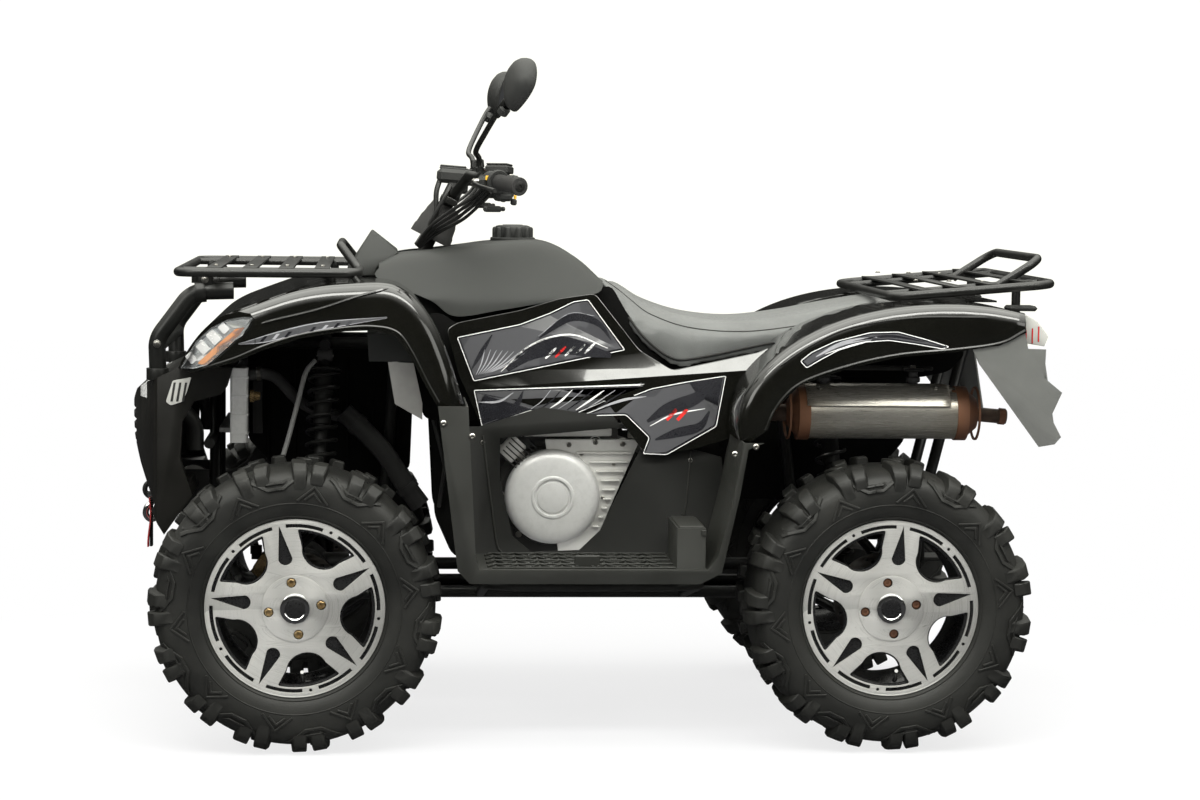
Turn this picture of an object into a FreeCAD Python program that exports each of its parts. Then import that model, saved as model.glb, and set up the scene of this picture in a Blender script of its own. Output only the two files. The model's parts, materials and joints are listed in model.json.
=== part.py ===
import FreeCAD, Part
import math
import os

import Sketcher

from FreeCAD import Placement, Rotation, Vector

# Utility quad bike. Millimetres, +Z up, forward is -X, the vehicle's left is -Y.
# The origin is on the ground, midway between the axles.

# Driving sizes: name, value, what it is
SIZES = [
    ("wheelbase", 1290, "front axle to rear axle"),
    ("tyre_radius", 318, "ground to wheel centre, and outer radius over the lugs"),
    ("front_tyre_wide", 229, "front tyre over its lugs"),
    ("rear_tyre_wide", 275, "rear tyre over its lugs"),
    ("overall_wide", 1170, "outer face to outer face of the tyres"),
    ("bead_radius", 178, "tyre bore at its corners"),
    ("lug_depth", 16, "height of the shoulder lugs"),
    ("rim_wall", 5, "rim barrel thickness"),
    ("rim_lip", 15, "rim flange above the bead seat"),
    ("spoke_thick", 24, "spoke thickness along the axle"),
    ("window_inner", 97, "inner end of a rim window"),
    ("window_outer", 169, "outer end of a rim window"),
    ("recess_inner", 81, "round end of the teardrop recess in a spoke"),
    ("recess_outer", 168, "pointed end of the teardrop recess"),
    ("recess_deep", 12, "depth of the teardrop recess in a spoke"),
    ("lug_circle", 113, "wheel nut pitch circle diameter"),
    ("disc_radius", 104, "brake disc outer radius"),
    ("disc_thick", 4, "brake disc thickness"),
    ("spindle_radius", 12, "front spindle"),
    ("fit_gap", 0.3, "running and seating clearance"),
    ("bearing_gap", 0.5, "bearing clearance on a shaft"),
    ("kingpin_y", 400, "steering pivot from the centre plane"),
    ("kingpin_top", 427, "upper ball joint height"),
    ("kingpin_low", 240, "lower ball joint height"),
    ("arm_reach", 90, "steering arm length on the knuckle"),
    ("pitman_reach", 74, "pitman arm length from the column axis"),
    ("rod_height", 423, "tie rod height"),
    ("rod_radius", 8, "tie rod radius"),
    ("column_tilt", 26, "column axis from the vertical, degrees"),
    ("column_x", -300, "column axis at the height column_mark"),
    ("column_mark", 1204, "height where the column axis passes column_x"),
    ("clamp_height", 1204, "bar clamp height"),
    ("column_radius", 15, "steering shaft radius"),
    ("bar_radius", 11, "handlebar tube radius"),
    ("grip_radius", 17, "grip radius"),
    ("bar_half", 400, "half width of the handlebar over its grips"),
    ("rail_y", 100, "frame rails from the centre plane"),
    ("rail_radius", 13, "frame tube radius"),
    ("low_rail", 286, "height of the lower rails"),
    ("upper_rail", 479, "height of the upper suspension rails"),
    ("top_rail", 860, "height of the top rails at the front"),
    ("skid_thick", 3, "skid plate thickness"),
    ("arm_tube", 11, "wishbone tube radius"),
    ("spring_radius", 37, "outer radius of the springs"),
    ("diff_radius", 66, "differential housing radius"),
    ("shaft_radius", 12, "half shaft radius"),
    ("joint_radius", 30, "outer joint of a front half shaft"),
    ("cover_radius", 108, "round clutch cover radius"),
    ("engine_left", 215, "engine's left face from the centre plane"),
    ("cover_x", -75, "clutch cover axis along the bike"),
    ("cover_height", 522, "clutch cover axis height"),
    ("cover_deep", 47, "how far the clutch cover stands out"),
    ("wall", 4, "plastic body panel thickness"),
    ("body_half", 500, "fenders from the centre plane"),
    ("well_inner", 285, "inner wall of a footwell from the centre plane"),
    ("well_outer", 545, "outer flange of a footwell from the centre plane"),
    ("well_floor", 399, "top of the footwell floor"),
    ("foot_tube", 11, "foot tube radius"),
    ("seat_half", 185, "half width of the seat"),
    ("cap_radius", 47, "fuel cap radius"),
    ("rack_tube", 10, "rack tube radius"),
    ("rack_height", 1030, "centre height of the front rack's rails"),
    ("front_rack_half", 420, "front rack rails from the centre plane"),
    ("rear_rack_half", 390, "rear rack rails from the centre plane"),
    ("slat_thick", 4, "thickness of the flat rack bars"),
    ("guard_tube", 19, "bull bar tube radius"),
    ("muffler_radius", 58, "muffler radius"),
    ("muffler_y", 345, "muffler axis from the centre plane"),
    ("muffler_height", 727, "muffler axis height"),
    ("muffler_long", 430, "muffler length"),
    ("pipe_radius", 19, "exhaust pipe radius"),
    ("radiator_half", 195, "half width of the radiator core"),
    ("hitch_hole", 11, "tow ball hole radius"),
    ("hitch_thick", 10, "tow plate thickness"),
]

LUGS = 30
SPOKES = 5
FINS = 7
BAR_CLAMP_TALL = 36
# The beads sit at this share of the tyre's half width
BEAD_SHARE = 0.80


class Size:
    """A number together with the sheet formula that gives it."""

    def __init__(self, value, text):
        self.value = float(value)
        self.text = text

    def join(self, other, sign, value, swap=False):
        left, right = (other, self) if swap else (self, other)
        return Size(value, "(%s %s %s)" % (text_of(left), sign, text_of(right)))

    def __add__(self, other):
        return self.join(other, "+", self.value + float(other))

    def __radd__(self, other):
        return self.join(other, "+", float(other) + self.value, True)

    def __sub__(self, other):
        return self.join(other, "-", self.value - float(other))

    def __rsub__(self, other):
        return self.join(other, "-", float(other) - self.value, True)

    def __mul__(self, other):
        return self.join(other, "*", self.value * float(other))

    def __rmul__(self, other):
        return self.join(other, "*", float(other) * self.value, True)

    def __truediv__(self, other):
        return self.join(other, "/", self.value / float(other))

    def __neg__(self):
        return Size(-self.value, "(0 - %s)" % self.text)

    def __float__(self):
        return self.value


def text_of(number):
    return number.text if isinstance(number, Size) else repr(float(number))


document = FreeCAD.newDocument("QuadBike")
sheet = document.addObject("Spreadsheet::Sheet", "Sizes")


class Values:
    """The sheet's cells by name."""


size = Values()
for row, (name, value, meaning) in enumerate(SIZES, start=1):
    sheet.set("A%d" % row, name)
    sheet.set("B%d" % row, str(value))
    sheet.set("C%d" % row, meaning)
    sheet.setAlias("B%d" % row, name)
document.recompute()
for name, value, meaning in SIZES:
    setattr(size, name, Size(sheet.get(name), "Sizes." + name))

front_x = -size.wheelbase / 2
rear_x = size.wheelbase / 2
hub_z = size.tyre_radius
front_wheel_y = size.overall_wide / 2 - size.front_tyre_wide / 2
rear_wheel_y = size.overall_wide / 2 - size.rear_tyre_wide / 2
nodes = []


# Building helpers

def bind(thing, path, number):
    """Set a property from a size and keep the formula on it."""
    thing.setExpression(path, text_of(number))


def place(thing, x, y, z):
    bind(thing, "Placement.Base.x", x)
    bind(thing, "Placement.Base.y", y)
    bind(thing, "Placement.Base.z", z)


def box(x, y, z, length, width, height):
    thing = document.addObject("Part::Box", "Block")
    bind(thing, "Length", length)
    bind(thing, "Width", width)
    bind(thing, "Height", height)
    place(thing, x, y, z)
    return thing


TURNS = {
    "x": Rotation(Vector(0, 1, 0), 90),
    "y": Rotation(Vector(1, 0, 0), -90),
    "z": Rotation(),
}


def cylinder(axis, x, y, z, radius, length):
    """A round bar from a start point along +x, +y or +z."""
    thing = document.addObject("Part::Cylinder", "Round")
    thing.Placement = Placement(Vector(), TURNS[axis])
    bind(thing, "Radius", radius)
    bind(thing, "Height", length)
    place(thing, x, y, z)
    return thing


def fuse(things):
    thing = document.addObject("Part::MultiFuse", "Joined")
    thing.Shapes = things
    thing.Refine = True
    return thing


def cut(base, tool):
    thing = document.addObject("Part::Cut", "Cut")
    thing.Base = base
    thing.Tool = tool
    return thing


def mirrored(source):
    """The same piece on the other side of the centre plane."""
    thing = document.addObject("Part::Mirroring", "Opposite")
    thing.Source = source
    thing.Normal = Vector(0, 1, 0)
    return thing


def shaped(shape):
    """A piece whose form comes from curves and lofts."""
    thing = document.addObject("Part::Feature", "Form")
    thing.Shape = shape
    return thing


def node(label, thing):
    thing.Label = label
    nodes.append((label, thing))
    return thing


def origin_plane(body, role):
    return [item for item in body.Origin.OriginFeatures if item.Role == role][0]


def outline(body, role, offset, points):
    """A closed sketch whose corners are held by the sheet's sizes."""
    sketch = body.newObject("Sketcher::SketchObject", "Outline")
    sketch.AttachmentSupport = [(origin_plane(body, role), "")]
    sketch.MapMode = "FlatFace"
    bind(sketch, ".AttachmentOffset.Base.z", offset)
    corners = [Vector(float(across), float(up), 0) for across, up in points]
    for index, corner in enumerate(corners):
        following = corners[(index + 1) % len(corners)]
        sketch.addGeometry(Part.LineSegment(corner, following))
    for index in range(len(corners)):
        follower = (index + 1) % len(corners)
        sketch.addConstraint(Sketcher.Constraint("Coincident", index, 2, follower, 1))
    for index, pair in enumerate(points):
        for kind, number in zip(("DistanceX", "DistanceY"), pair):
            held = sketch.addConstraint(Sketcher.Constraint(kind, -1, 1, index, 1, float(number)))
            bind(sketch, "Constraints[%d]" % held, number)
    return sketch


def pad(role, offset, thickness, points, rounding=None):
    """A plate or block drawn as an outline and given a thickness.

    The side view's pad grows towards -Y, the plan's towards +Z, the front view's towards +X.
    """
    body = document.addObject("PartDesign::Body", "Body")
    sketch = outline(body, role, offset, points)
    block = body.newObject("PartDesign::Pad", "Pad")
    block.Profile = sketch
    bind(block, "Length", thickness)
    document.recompute()
    if rounding is not None:
        edges = corner_edges(block.Shape, role)
        fillet = body.newObject("PartDesign::Fillet", "Fillet")
        fillet.Base = (block, edges)
        bind(fillet, "Radius", rounding)
        document.recompute()
    return body


PAD_AXIS = {"XY_Plane": Vector(0, 0, 1), "XZ_Plane": Vector(0, -1, 0), "YZ_Plane": Vector(1, 0, 0)}


def corner_edges(shape, role):
    """Names of the edges that run through the pad's thickness."""
    names = []
    for index, edge in enumerate(shape.Edges, start=1):
        start, end = edge.Vertexes[0].Point, edge.Vertexes[-1].Point
        run = end - start
        through = run.Length > 0 and abs(run.normalize().dot(PAD_AXIS[role])) > 0.999
        if through:
            names.append("Edge%d" % index)
    return names


def revolved(points, axis_x, axis_z):
    """A turned piece about the line along Y through (axis_x, axis_z); points are (y, radius)."""
    body = document.addObject("PartDesign::Body", "Turned")
    drawn = [(y, axis_z + radius) for y, radius in points]
    sketch = outline(body, "YZ_Plane", axis_x, drawn)
    ends = [Vector(across, float(axis_z), 0) for across in (0, 10)]
    line = sketch.addGeometry(Part.LineSegment(*ends), True)
    sketch.addConstraint(Sketcher.Constraint("Horizontal", line))
    held = sketch.addConstraint(Sketcher.Constraint("DistanceY", -1, 1, line, 1, float(axis_z)))
    bind(sketch, "Constraints[%d]" % held, axis_z)
    sketch.addConstraint(Sketcher.Constraint("DistanceX", -1, 1, line, 1, 0.0))
    sketch.addConstraint(Sketcher.Constraint("DistanceX", line, 1, line, 2, 10.0))
    turn = body.newObject("PartDesign::Revolution", "Revolution")
    turn.Profile = sketch
    turn.ReferenceAxis = (sketch, ["Axis0"])
    turn.Angle = 360
    return body


def point(x, y, z):
    return Vector(float(x), float(y), float(z))


def bent_path(points, bend):
    """Straight runs joined by tangent arcs."""
    edges = []
    start = points[0]
    for before, corner, after in zip(points, points[1:], points[2:]):
        into = (before - corner).normalize()
        away = (after - corner).normalize()
        half = into.getAngle(away) / 2
        reach = bend / math.tan(half)
        room = 0.48 * min((before - corner).Length, (after - corner).Length)
        reach = min(reach, room)
        first = corner + into * reach
        last = corner + away * reach
        middle_way = (into + away).normalize()
        radius = reach * math.tan(half)
        middle = corner + middle_way * (radius / math.sin(half) - radius)
        edges.append(Part.LineSegment(start, first).toShape())
        edges.append(Part.Arc(first, middle, last).toShape())
        start = last
    edges.append(Part.LineSegment(start, points[-1]).toShape())
    return Part.Wire(edges)


def tube(points, radius, bend=60):
    """A round tube along a bent path."""
    path = bent_path(points, bend)
    heading = (points[1] - points[0]).normalize()
    ring = Part.Wire([Part.makeCircle(float(radius), points[0], heading)])
    return path.makePipeShell([ring], True, False)


def opposite(shape):
    return shape.mirror(Vector(), Vector(0, 1, 0))


def prism(points, direction):
    """A block from a closed outline of points, pushed along a direction."""
    return Part.Face(Part.makePolygon(points + points[:1])).extrude(direction)


def side_prism(points, y_from, y_to):
    drawn = [point(x, y_from, z) for x, z in points]
    return prism(drawn, Vector(0, float(y_to) - float(y_from), 0))


def side_wire(curve_points, closing_points, y):
    """A closed outline in the side view whose first points lie on one smooth curve."""
    curve = Part.BSplineCurve()
    curve.interpolate([point(x, y, z) for x, z in curve_points])
    closing = [curve_points[-1]] + list(closing_points) + [curve_points[0]]
    corners = [point(x, y, z) for x, z in closing]
    lines = [Part.LineSegment(start, end).toShape() for start, end in zip(corners, corners[1:])]
    return Part.Wire([curve.toShape()] + lines)


def flowing_side(curve_points, closing_points, y_from, y_to):
    """A side-view block whose first points lie on one smooth curve."""
    face = Part.Face(side_wire(curve_points, closing_points, y_from))
    return face.extrude(Vector(0, float(y_to) - float(y_from), 0))


def joined(shapes):
    whole = shapes[0].multiFuse(shapes[1:])
    return whole.removeSplitter()


# Wheels

def polar(radius, degrees, y, centre):
    angle = math.radians(degrees)
    return Vector(centre.x + radius * math.cos(angle), centre.y + y, centre.z + radius * math.sin(angle))


def sector_faces(section, low, high, centre):
    """Flat faces between two radial planes, one for each run of the section."""
    faces = []
    for (y_a, r_a), (y_b, r_b) in zip(section, section[1:]):
        corners = [
            polar(r_a, low, y_a, centre),
            polar(r_b, low, y_b, centre),
            polar(r_b, high, y_b, centre),
            polar(r_a, high, y_a, centre),
        ]
        faces.append(Part.Face(Part.makePolygon(corners + corners[:1])))
    return faces


def wheel_step():
    return 360.0 / LUGS


def chord_middle(radius):
    """Where a facet's middle lies, for a corner at this radius."""
    return radius * math.cos(math.radians(wheel_step() / 2))


def tyre(centre, width):
    """A knobbly tyre: a closed carcass with one lug on each side in every pitch."""
    half = width / 2
    top = float(size.tyre_radius) / chord_middle(1.0)
    base = top - float(size.lug_depth)
    bead = float(size.bead_radius)
    seat = half * BEAD_SHARE
    foot = (0.98 * half - 6, 0.86 * top)
    tread = (0.60 * half, base - 2)
    middle = (0.20 * half, base)
    wall = [
        foot,
        (0.98 * half, 0.76 * top),
        (0.93 * half, 0.64 * top),
        (seat, bead + float(size.rim_lip) + 1.5),
        (seat, bead),
    ]
    lug = [middle, (0.24 * half, top), (0.82 * half, top - 5), (half, 0.885 * top), foot]
    step = wheel_step()
    faces = []
    for pitch in range(LUGS):
        low = pitch * step
        high = low + step
        centre_run = [(-middle[0], middle[1]), middle]
        faces += sector_faces(centre_run, low, high, centre)
        faces += sector_faces([(-seat, bead), (seat, bead)], low, high, centre)
        for side in (-1, 1):
            faces += sector_faces([(side * y, r) for y, r in wall], low, high, centre)
            first_half = side < 0
            faces += tread_faces(side, lug, [middle, tread, foot], low, step, first_half, centre)
    shell = Part.makeShell(faces)
    shell.sewShape()
    solid = Part.makeSolid(shell)
    if solid.Volume < 0:
        solid.reverse()
    return solid


def tread_faces(side, lug, plain, low, step, first_half, centre):
    """One shoulder lug over half of a pitch, bare carcass over the other half, and the lug's ends."""
    faces = []
    spans = ((0.0, 0.5), (0.5, 1.0))
    for index, (begin, end) in enumerate(spans):
        has_lug = (index == 0) == first_half
        run = lug if has_lug else plain
        for (y_a, r_a), (y_b, r_b) in zip(run, run[1:]):
            corners = [
                chord_point(side * y_a, r_a, low, step, begin, centre),
                chord_point(side * y_b, r_b, low, step, begin, centre),
                chord_point(side * y_b, r_b, low, step, end, centre),
                chord_point(side * y_a, r_a, low, step, end, centre),
            ]
            faces.append(Part.Face(Part.makePolygon(corners + corners[:1])))
    return faces + lug_ends(side, lug, plain, low, step, centre)


def chord_point(y, radius, low, step, share, centre):
    """A point on the flat between two radial planes."""
    first = polar(radius, low, y, centre)
    last = polar(radius, low + step, y, centre)
    return first + (last - first) * share


def lug_ends(side, lug, plain, low, step, centre):
    """The two radial faces of a lug, at the start and the middle of the pitch."""
    faces = []
    ring = lug + [plain[1]]
    for share in (0.0, 0.5):
        corners = [chord_point(side * y, r, low, step, share, centre) for y, r in ring]
        faces.append(Part.Face(Part.makePolygon(corners + corners[:1])))
    return faces


def rim_barrel(centre, width):
    """The rim's barrel as flats that match the tyre's bore, with a flange at each end."""
    seat = width / 2 * BEAD_SHARE
    bore = float(size.bead_radius) - float(size.fit_gap)
    inner = bore - float(size.rim_wall)
    lip = float(size.bead_radius) + float(size.rim_lip)
    gap = float(size.fit_gap)
    lip_out = seat + gap + float(size.rim_wall)
    ring = [
        (-lip_out, inner),
        (-lip_out, lip),
        (-seat - gap, lip),
        (-seat - gap, bore),
        (seat + gap, bore),
        (seat + gap, lip),
        (lip_out, lip),
        (lip_out, inner),
        (-lip_out, inner),
    ]
    faces = []
    step = wheel_step()
    for pitch in range(LUGS):
        faces += sector_faces(ring, pitch * step, (pitch + 1) * step, centre)
    shell = Part.makeShell(faces)
    shell.sewShape()
    solid = Part.makeSolid(shell)
    if solid.Volume < 0:
        solid.reverse()
    return solid


def rim_face(centre, width, outward, phase):
    """Five spokes with a teardrop recess each, between five windows, flush with the rim's edge."""
    face_y = width / 2 * BEAD_SHARE + float(size.fit_gap) + float(size.rim_wall)
    thick = float(size.spoke_thick)
    inner = chord_middle(float(size.bead_radius) - float(size.fit_gap) - float(size.rim_wall))
    flats = [polar(inner / chord_middle(1.0), index * wheel_step(), 0, centre) for index in range(LUGS)]
    start = outward * (face_y - thick)
    lift = Vector(0, start, 0)
    along = Vector(0, outward * thick, 0)
    plate = prism([corner + lift for corner in flats], along)
    turn = 360.0 / SPOKES
    tools = []
    for index in range(SPOKES):
        spoke = phase + index * turn
        tools.append(window(centre, spoke + turn / 2, lift, along))
        tools.append(teardrop(centre, spoke, face_y * outward, outward))
    for index in range(4):
        nut = polar(float(size.lug_circle) / 2, phase + 45 + 90 * index, 0, centre) + lift
        tools.append(Part.makeCylinder(6.5, thick, nut, Vector(0, outward, 0)))
    bore = Part.makeCylinder(30.0, thick, centre + lift, Vector(0, outward, 0))
    plate = plate.cut(tools + [bore])
    cap_at = centre + Vector(0, outward * (face_y - 10), 0)
    cap = Part.makeCone(30.0, 26.0, 16.0, cap_at, Vector(0, outward, 0))
    ring = Part.makeCylinder(30.0, thick - 10, centre + lift, Vector(0, outward, 0))
    return plate.fuse([cap, ring])


def window(centre, middle, lift, along):
    """The gap between two spokes: an arc at the rim, straight flanks, a round inner side."""
    near, far = float(size.window_inner), float(size.window_outer)
    half_angle = 23.4
    round_wide, round_deep = 44.0, 38.0
    outer = [polar(far, middle + half_angle * share, 0, centre) for share in (-1.0, -0.5, 0.0, 0.5, 1.0)]
    heart = polar(near + round_deep, middle, 0, centre)
    inward = (centre - heart).normalize()
    across = Vector(-inward.z, 0, inward.x)
    inner = []
    for turn in (10, 37, 64, 90, 116, 143, 170):
        angle = math.radians(turn)
        sideways = round_wide * math.cos(angle)
        deeper = round_deep * math.sin(angle)
        inner.append(heart - across * sideways + inward * deeper)
    if (inner[0] - outer[-1]).Length > (inner[-1] - outer[-1]).Length:
        inner.reverse()
    return prism([corner + lift for corner in outer + inner], along)


def teardrop(centre, spoke, face_y, outward):
    """A long recess down the spoke, round at the hub and pointed at the rim."""
    near, far = float(size.recess_inner), float(size.recess_outer)
    deep = float(size.recess_deep)
    wide = 15.0
    tip = polar(far, spoke, face_y, centre)
    along = (polar(1.0, spoke, 0, centre) - centre)
    across = Vector(-along.z, 0, along.x)
    heart = centre + along * (near + wide) + Vector(0, face_y, 0)
    left = heart + across * wide
    right = heart - across * wide
    round_end = Part.Arc(left, heart - along * wide, right).toShape()
    edges = [round_end, Part.LineSegment(right, tip).toShape(), Part.LineSegment(tip, left).toShape()]
    return Part.Face(Part.Wire(edges)).extrude(Vector(0, -outward * deep, 0))


def wheel(name, x, wheel_y, width, phase):
    """Tyre and rim of one wheel."""
    outward = -1 if float(wheel_y) < 0 else 1
    centre = point(x, wheel_y, hub_z)
    node("tyre_" + name, shaped(tyre(centre, float(width))))
    barrel = rim_barrel(centre, float(width))
    face = rim_face(centre, float(width), outward, phase)
    node("rim_" + name, shaped(barrel.fuse(face).removeSplitter()))


def brake_disc(name, x, wheel_y, width, driven):
    """Hub flange and brake disc; a driven rear hub carries its half shaft."""
    outward = -1 if float(wheel_y) < 0 else 1
    seat = width / 2 * BEAD_SHARE + size.rim_wall - size.spoke_thick
    flange = (abs_size(wheel_y) + seat) * outward
    disc = (size.kingpin_y + 24) * outward
    far = disc + size.disc_thick * outward
    hat = (size.kingpin_y + 50) * outward
    bore = size.spindle_radius + size.bearing_gap
    points = [
        (disc, size.disc_radius - 42),
        (disc, size.disc_radius),
        (far, size.disc_radius),
        (far, size.disc_radius - 38),
        (hat + 4 * outward, size.disc_radius - 38),
        (hat + 4 * outward, bore + 20),
        (flange - 6 * outward, bore + 20),
        (flange - 6 * outward, size.lug_circle / 2 + 12),
        (flange, size.lug_circle / 2 + 12),
        (flange, 0.0 if driven else bore),
        (hat, 0.0 if driven else bore),
        (hat, size.disc_radius - 42),
    ]
    hub = revolved(points, x, hub_z)
    if driven:
        inner = size.diff_radius + 9
        length = hat * outward - inner + 2
        start = inner if outward > 0 else -(inner + length)
        hub = fuse([hub, cylinder("y", x, start, hub_z, size.shaft_radius, length)])
    node("brake_disc_" + name, hub)


def abs_size(number):
    return -number if float(number) < 0 else number


def wheels():
    for name, side in (("left", -1), ("right", 1)):
        wheel("front_" + name, front_x, side * front_wheel_y, size.front_tyre_wide, 101 if side < 0 else 79)
        wheel("rear_" + name, rear_x, side * rear_wheel_y, size.rear_tyre_wide, 82 if side < 0 else 98)
        brake_disc("front_" + name, front_x, side * front_wheel_y, size.front_tyre_wide, False)
        brake_disc("rear_" + name, rear_x, side * rear_wheel_y, size.rear_tyre_wide, True)


# Front knuckles and steering rods

def knuckle():
    """Left knuckle: a cup round the shaft joint, two ball joint posts, spindle, steering arm, caliper."""
    king = -size.kingpin_y
    cup_far = king - 38
    cup = cut(
        cylinder("y", front_x, cup_far, hub_z, 50, 64),
        cylinder("y", front_x, cup_far + 6, hub_z, 41, 60),
    )
    wheel_middle = size.overall_wide / 2 - size.front_tyre_wide / 2
    hub_face = wheel_middle + size.front_tyre_wide / 2 * BEAD_SHARE + size.rim_wall - size.spoke_thick - 6
    spindle = cylinder("y", front_x, -hub_face, hub_z, size.spindle_radius, hub_face + cup_far + 1)
    posts = [
        box(front_x - 14, king - 12, hub_z + 44, 28, 24, size.kingpin_top - 14 - hub_z - 44),
        box(front_x - 14, king - 12, size.kingpin_low + 14, 28, 24, hub_z - 44 - size.kingpin_low - 14),
    ]
    arm_top = size.rod_height - 12
    arm = side_free_arm(king, arm_top)
    pin = cylinder("z", front_x - size.arm_reach, king + 12, arm_top - 1, 5, 24)
    caliper = cut(
        pad("XZ_Plane", -(king - 3), 46, caliper_outline(), 8),
        cylinder("y", front_x, king - 29.5, hub_z, size.disc_radius + 2, 7),
    )
    return fuse([cup, spindle, arm, pin, caliper] + posts)


def caliper_outline():
    """The caliper's side view, above and ahead of the hub, reaching in to the upright."""
    return [
        (front_x - 18, hub_z + 68),
        (front_x - 18, hub_z + 98),
        (front_x - 34, hub_z + 120),
        (front_x - 76, hub_z + 100),
        (front_x - 100, hub_z + 62),
        (front_x - 72, hub_z + 44),
    ]


def side_free_arm(king, top):
    """The flat steering arm that reaches forward from the upright."""
    plan = [
        (front_x + 14, king - 12),
        (front_x - 20, king - 12),
        (front_x - size.arm_reach - 10, king + 2),
        (front_x - size.arm_reach - 10, king + 22),
        (front_x + 14, king + 24),
    ]
    return pad("XY_Plane", top - 10, 10, plan)


def pitman_point():
    """Where the tie rods meet, under the front end of the pitman arm."""
    tilt = math.radians(float(size.column_tilt))
    drop = float(size.column_mark) - float(size.rod_height)
    axis_x = float(size.column_x) - drop * math.tan(tilt)
    return axis_x - float(size.pitman_reach) / math.cos(tilt)


def tie_rod(side):
    """A rod with an eye over the knuckle's pin and a ring round the pitman pin."""
    outer_y = side * (float(size.kingpin_y) - 12)
    outer = Vector(float(front_x) - float(size.arm_reach), outer_y, float(size.rod_height))
    ring_shift = -5 if side < 0 else 5
    inner = Vector(pitman_point(), 0, float(size.rod_height) + ring_shift)
    eye = Part.makeCylinder(13, 19, outer - Vector(0, 0, 11))
    ring = Part.makeCylinder(19, 6, inner - Vector(0, 0, 3))
    run = (inner - outer).normalize()
    start = outer + run * 9
    reach = (inner - outer).Length - 9 - 30
    rod = Part.makeCylinder(float(size.rod_radius), reach, start, run)
    tongue_start = inner - run * 34
    tongue = Part.makeBox(14, 22, 6, Vector(-7, 0, -3))
    tongue.Placement = Placement(tongue_start, Rotation(Vector(0, 1, 0), run))
    body = eye.fuse([ring, rod, tongue])
    bores = [
        Part.makeCylinder(5.4, 40, outer - Vector(0, 0, 20)),
        Part.makeCylinder(12, 40, inner - Vector(0, 0, 20)),
    ]
    return body.cut(bores)


def steering_links():
    left = knuckle()
    node("knuckle_left", left)
    node("knuckle_right", mirrored(left))
    node("tie_rod_left", shaped(tie_rod(-1)))
    node("tie_rod_right", shaped(tie_rod(1)))


# Steering column, bar and what it carries

def column_point(height, off=0.0):
    """A point on the column axis at a height, or off it towards the front and up."""
    tilt = math.radians(float(size.column_tilt))
    x = float(size.column_x) - (float(size.column_mark) - height) * math.tan(tilt)
    return Vector(x - off * math.cos(tilt), 0, height + off * math.sin(tilt))


def column_direction():
    tilt = math.radians(float(size.column_tilt))
    return Vector(math.sin(tilt), 0, math.cos(tilt))


def shaft_end():
    """The top of the shaft, a little below the bar's centre line."""
    return column_point(float(size.clamp_height) - 12)


def steering_column():
    """Shaft, bar seat, pitman arm and its pin."""
    low = column_point(float(size.rod_height) - 5)
    top = shaft_end()
    along = column_direction()
    shaft = Part.makeCylinder(float(size.column_radius), (top - low).Length, low, along)
    seat = Part.makeBox(40, 110, 14, Vector(-20, -55, 0))
    seat.Placement = Placement(top - along * 14, Rotation(Vector(0, 0, 1), along))
    pin_x = pitman_point()
    reach = float(size.pitman_reach)
    arm = Part.makeBox(reach + 24, 28, 9, Vector(-reach - 12, -14, 0))
    arm.Placement = Placement(low + along * 1.0, Rotation(Vector(0, 0, 1), along))
    pin_top = 458
    pin_low = float(size.rod_height) - 12
    pin = Part.makeCylinder(4, pin_top - pin_low, Vector(pin_x, 0, pin_low))
    return joined([shaft, seat, arm, pin])


def bar_points():
    half = float(size.bar_half)
    z = float(size.clamp_height)
    x = column_point(z).x + 3
    return [
        Vector(x, -70, z),
        Vector(x + 30, -165, z + 42),
        Vector(x + 62, -245, z + 34),
        Vector(x + 132, -half + 2, z + 19),
    ]


def handlebar():
    """One bent tube with its clamp block."""
    side = bar_points()
    whole = [Vector(p.x, -p.y, p.z) for p in reversed(side)] + side
    bar = tube(whole, size.bar_radius, 45)
    clamp = Part.makeBox(38, 84, BAR_CLAMP_TALL, Vector(-19, -42, float(size.fit_gap)))
    clamp.Placement = Placement(shaft_end(), Rotation(Vector(0, 0, 1), column_direction()))
    return joined([bar, clamp])


def grip_line():
    side = bar_points()
    end, before = side[-1], side[-2]
    return end, (before - end).normalize()


def grip():
    """A ribbed sleeve over the bar's end, with a flange."""
    end, inward = grip_line()
    start = end - inward * 3
    sleeve = Part.makeCylinder(float(size.grip_radius), 122, start, inward)
    flange = Part.makeCylinder(float(size.grip_radius) + 6, 5, start + inward * 117, inward)
    flare = Part.makeCylinder(float(size.grip_radius) + 3, 8, start, inward)
    bore = Part.makeCylinder(float(size.bar_radius) + float(size.fit_gap), 140, end, inward)
    return sleeve.fuse([flange, flare]).cut(bore)


def control_housing(side):
    """Switch box or throttle box round the bar, with its lever and reservoir."""
    end, inward = grip_line()
    at = end + inward * 124
    turn = Rotation(Vector(0, 1, 0), inward)
    box_shape = Part.makeBox(46, 40, 52, Vector(-24, 0, -26))
    if side > 0:
        box_shape = box_shape.fuse(Part.makeCylinder(27, 24, Vector(-6, 22, 8)))
        box_shape = box_shape.fuse(Part.makeBox(54, 46, 26, Vector(-38, -4, 22)))
    lever = Part.makeBox(9, 142, 16, Vector(-62, -118, -14))
    arm = Part.makeBox(50, 20, 16, Vector(-62, 10, -14))
    housing = box_shape.fuse([lever, arm])
    housing.Placement = Placement(at, turn)
    bore = Part.makeCylinder(float(size.bar_radius) + float(size.fit_gap), 260, end - inward * 20, inward)
    housing = housing.cut(bore)
    return opposite(housing) if side > 0 else housing


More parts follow.
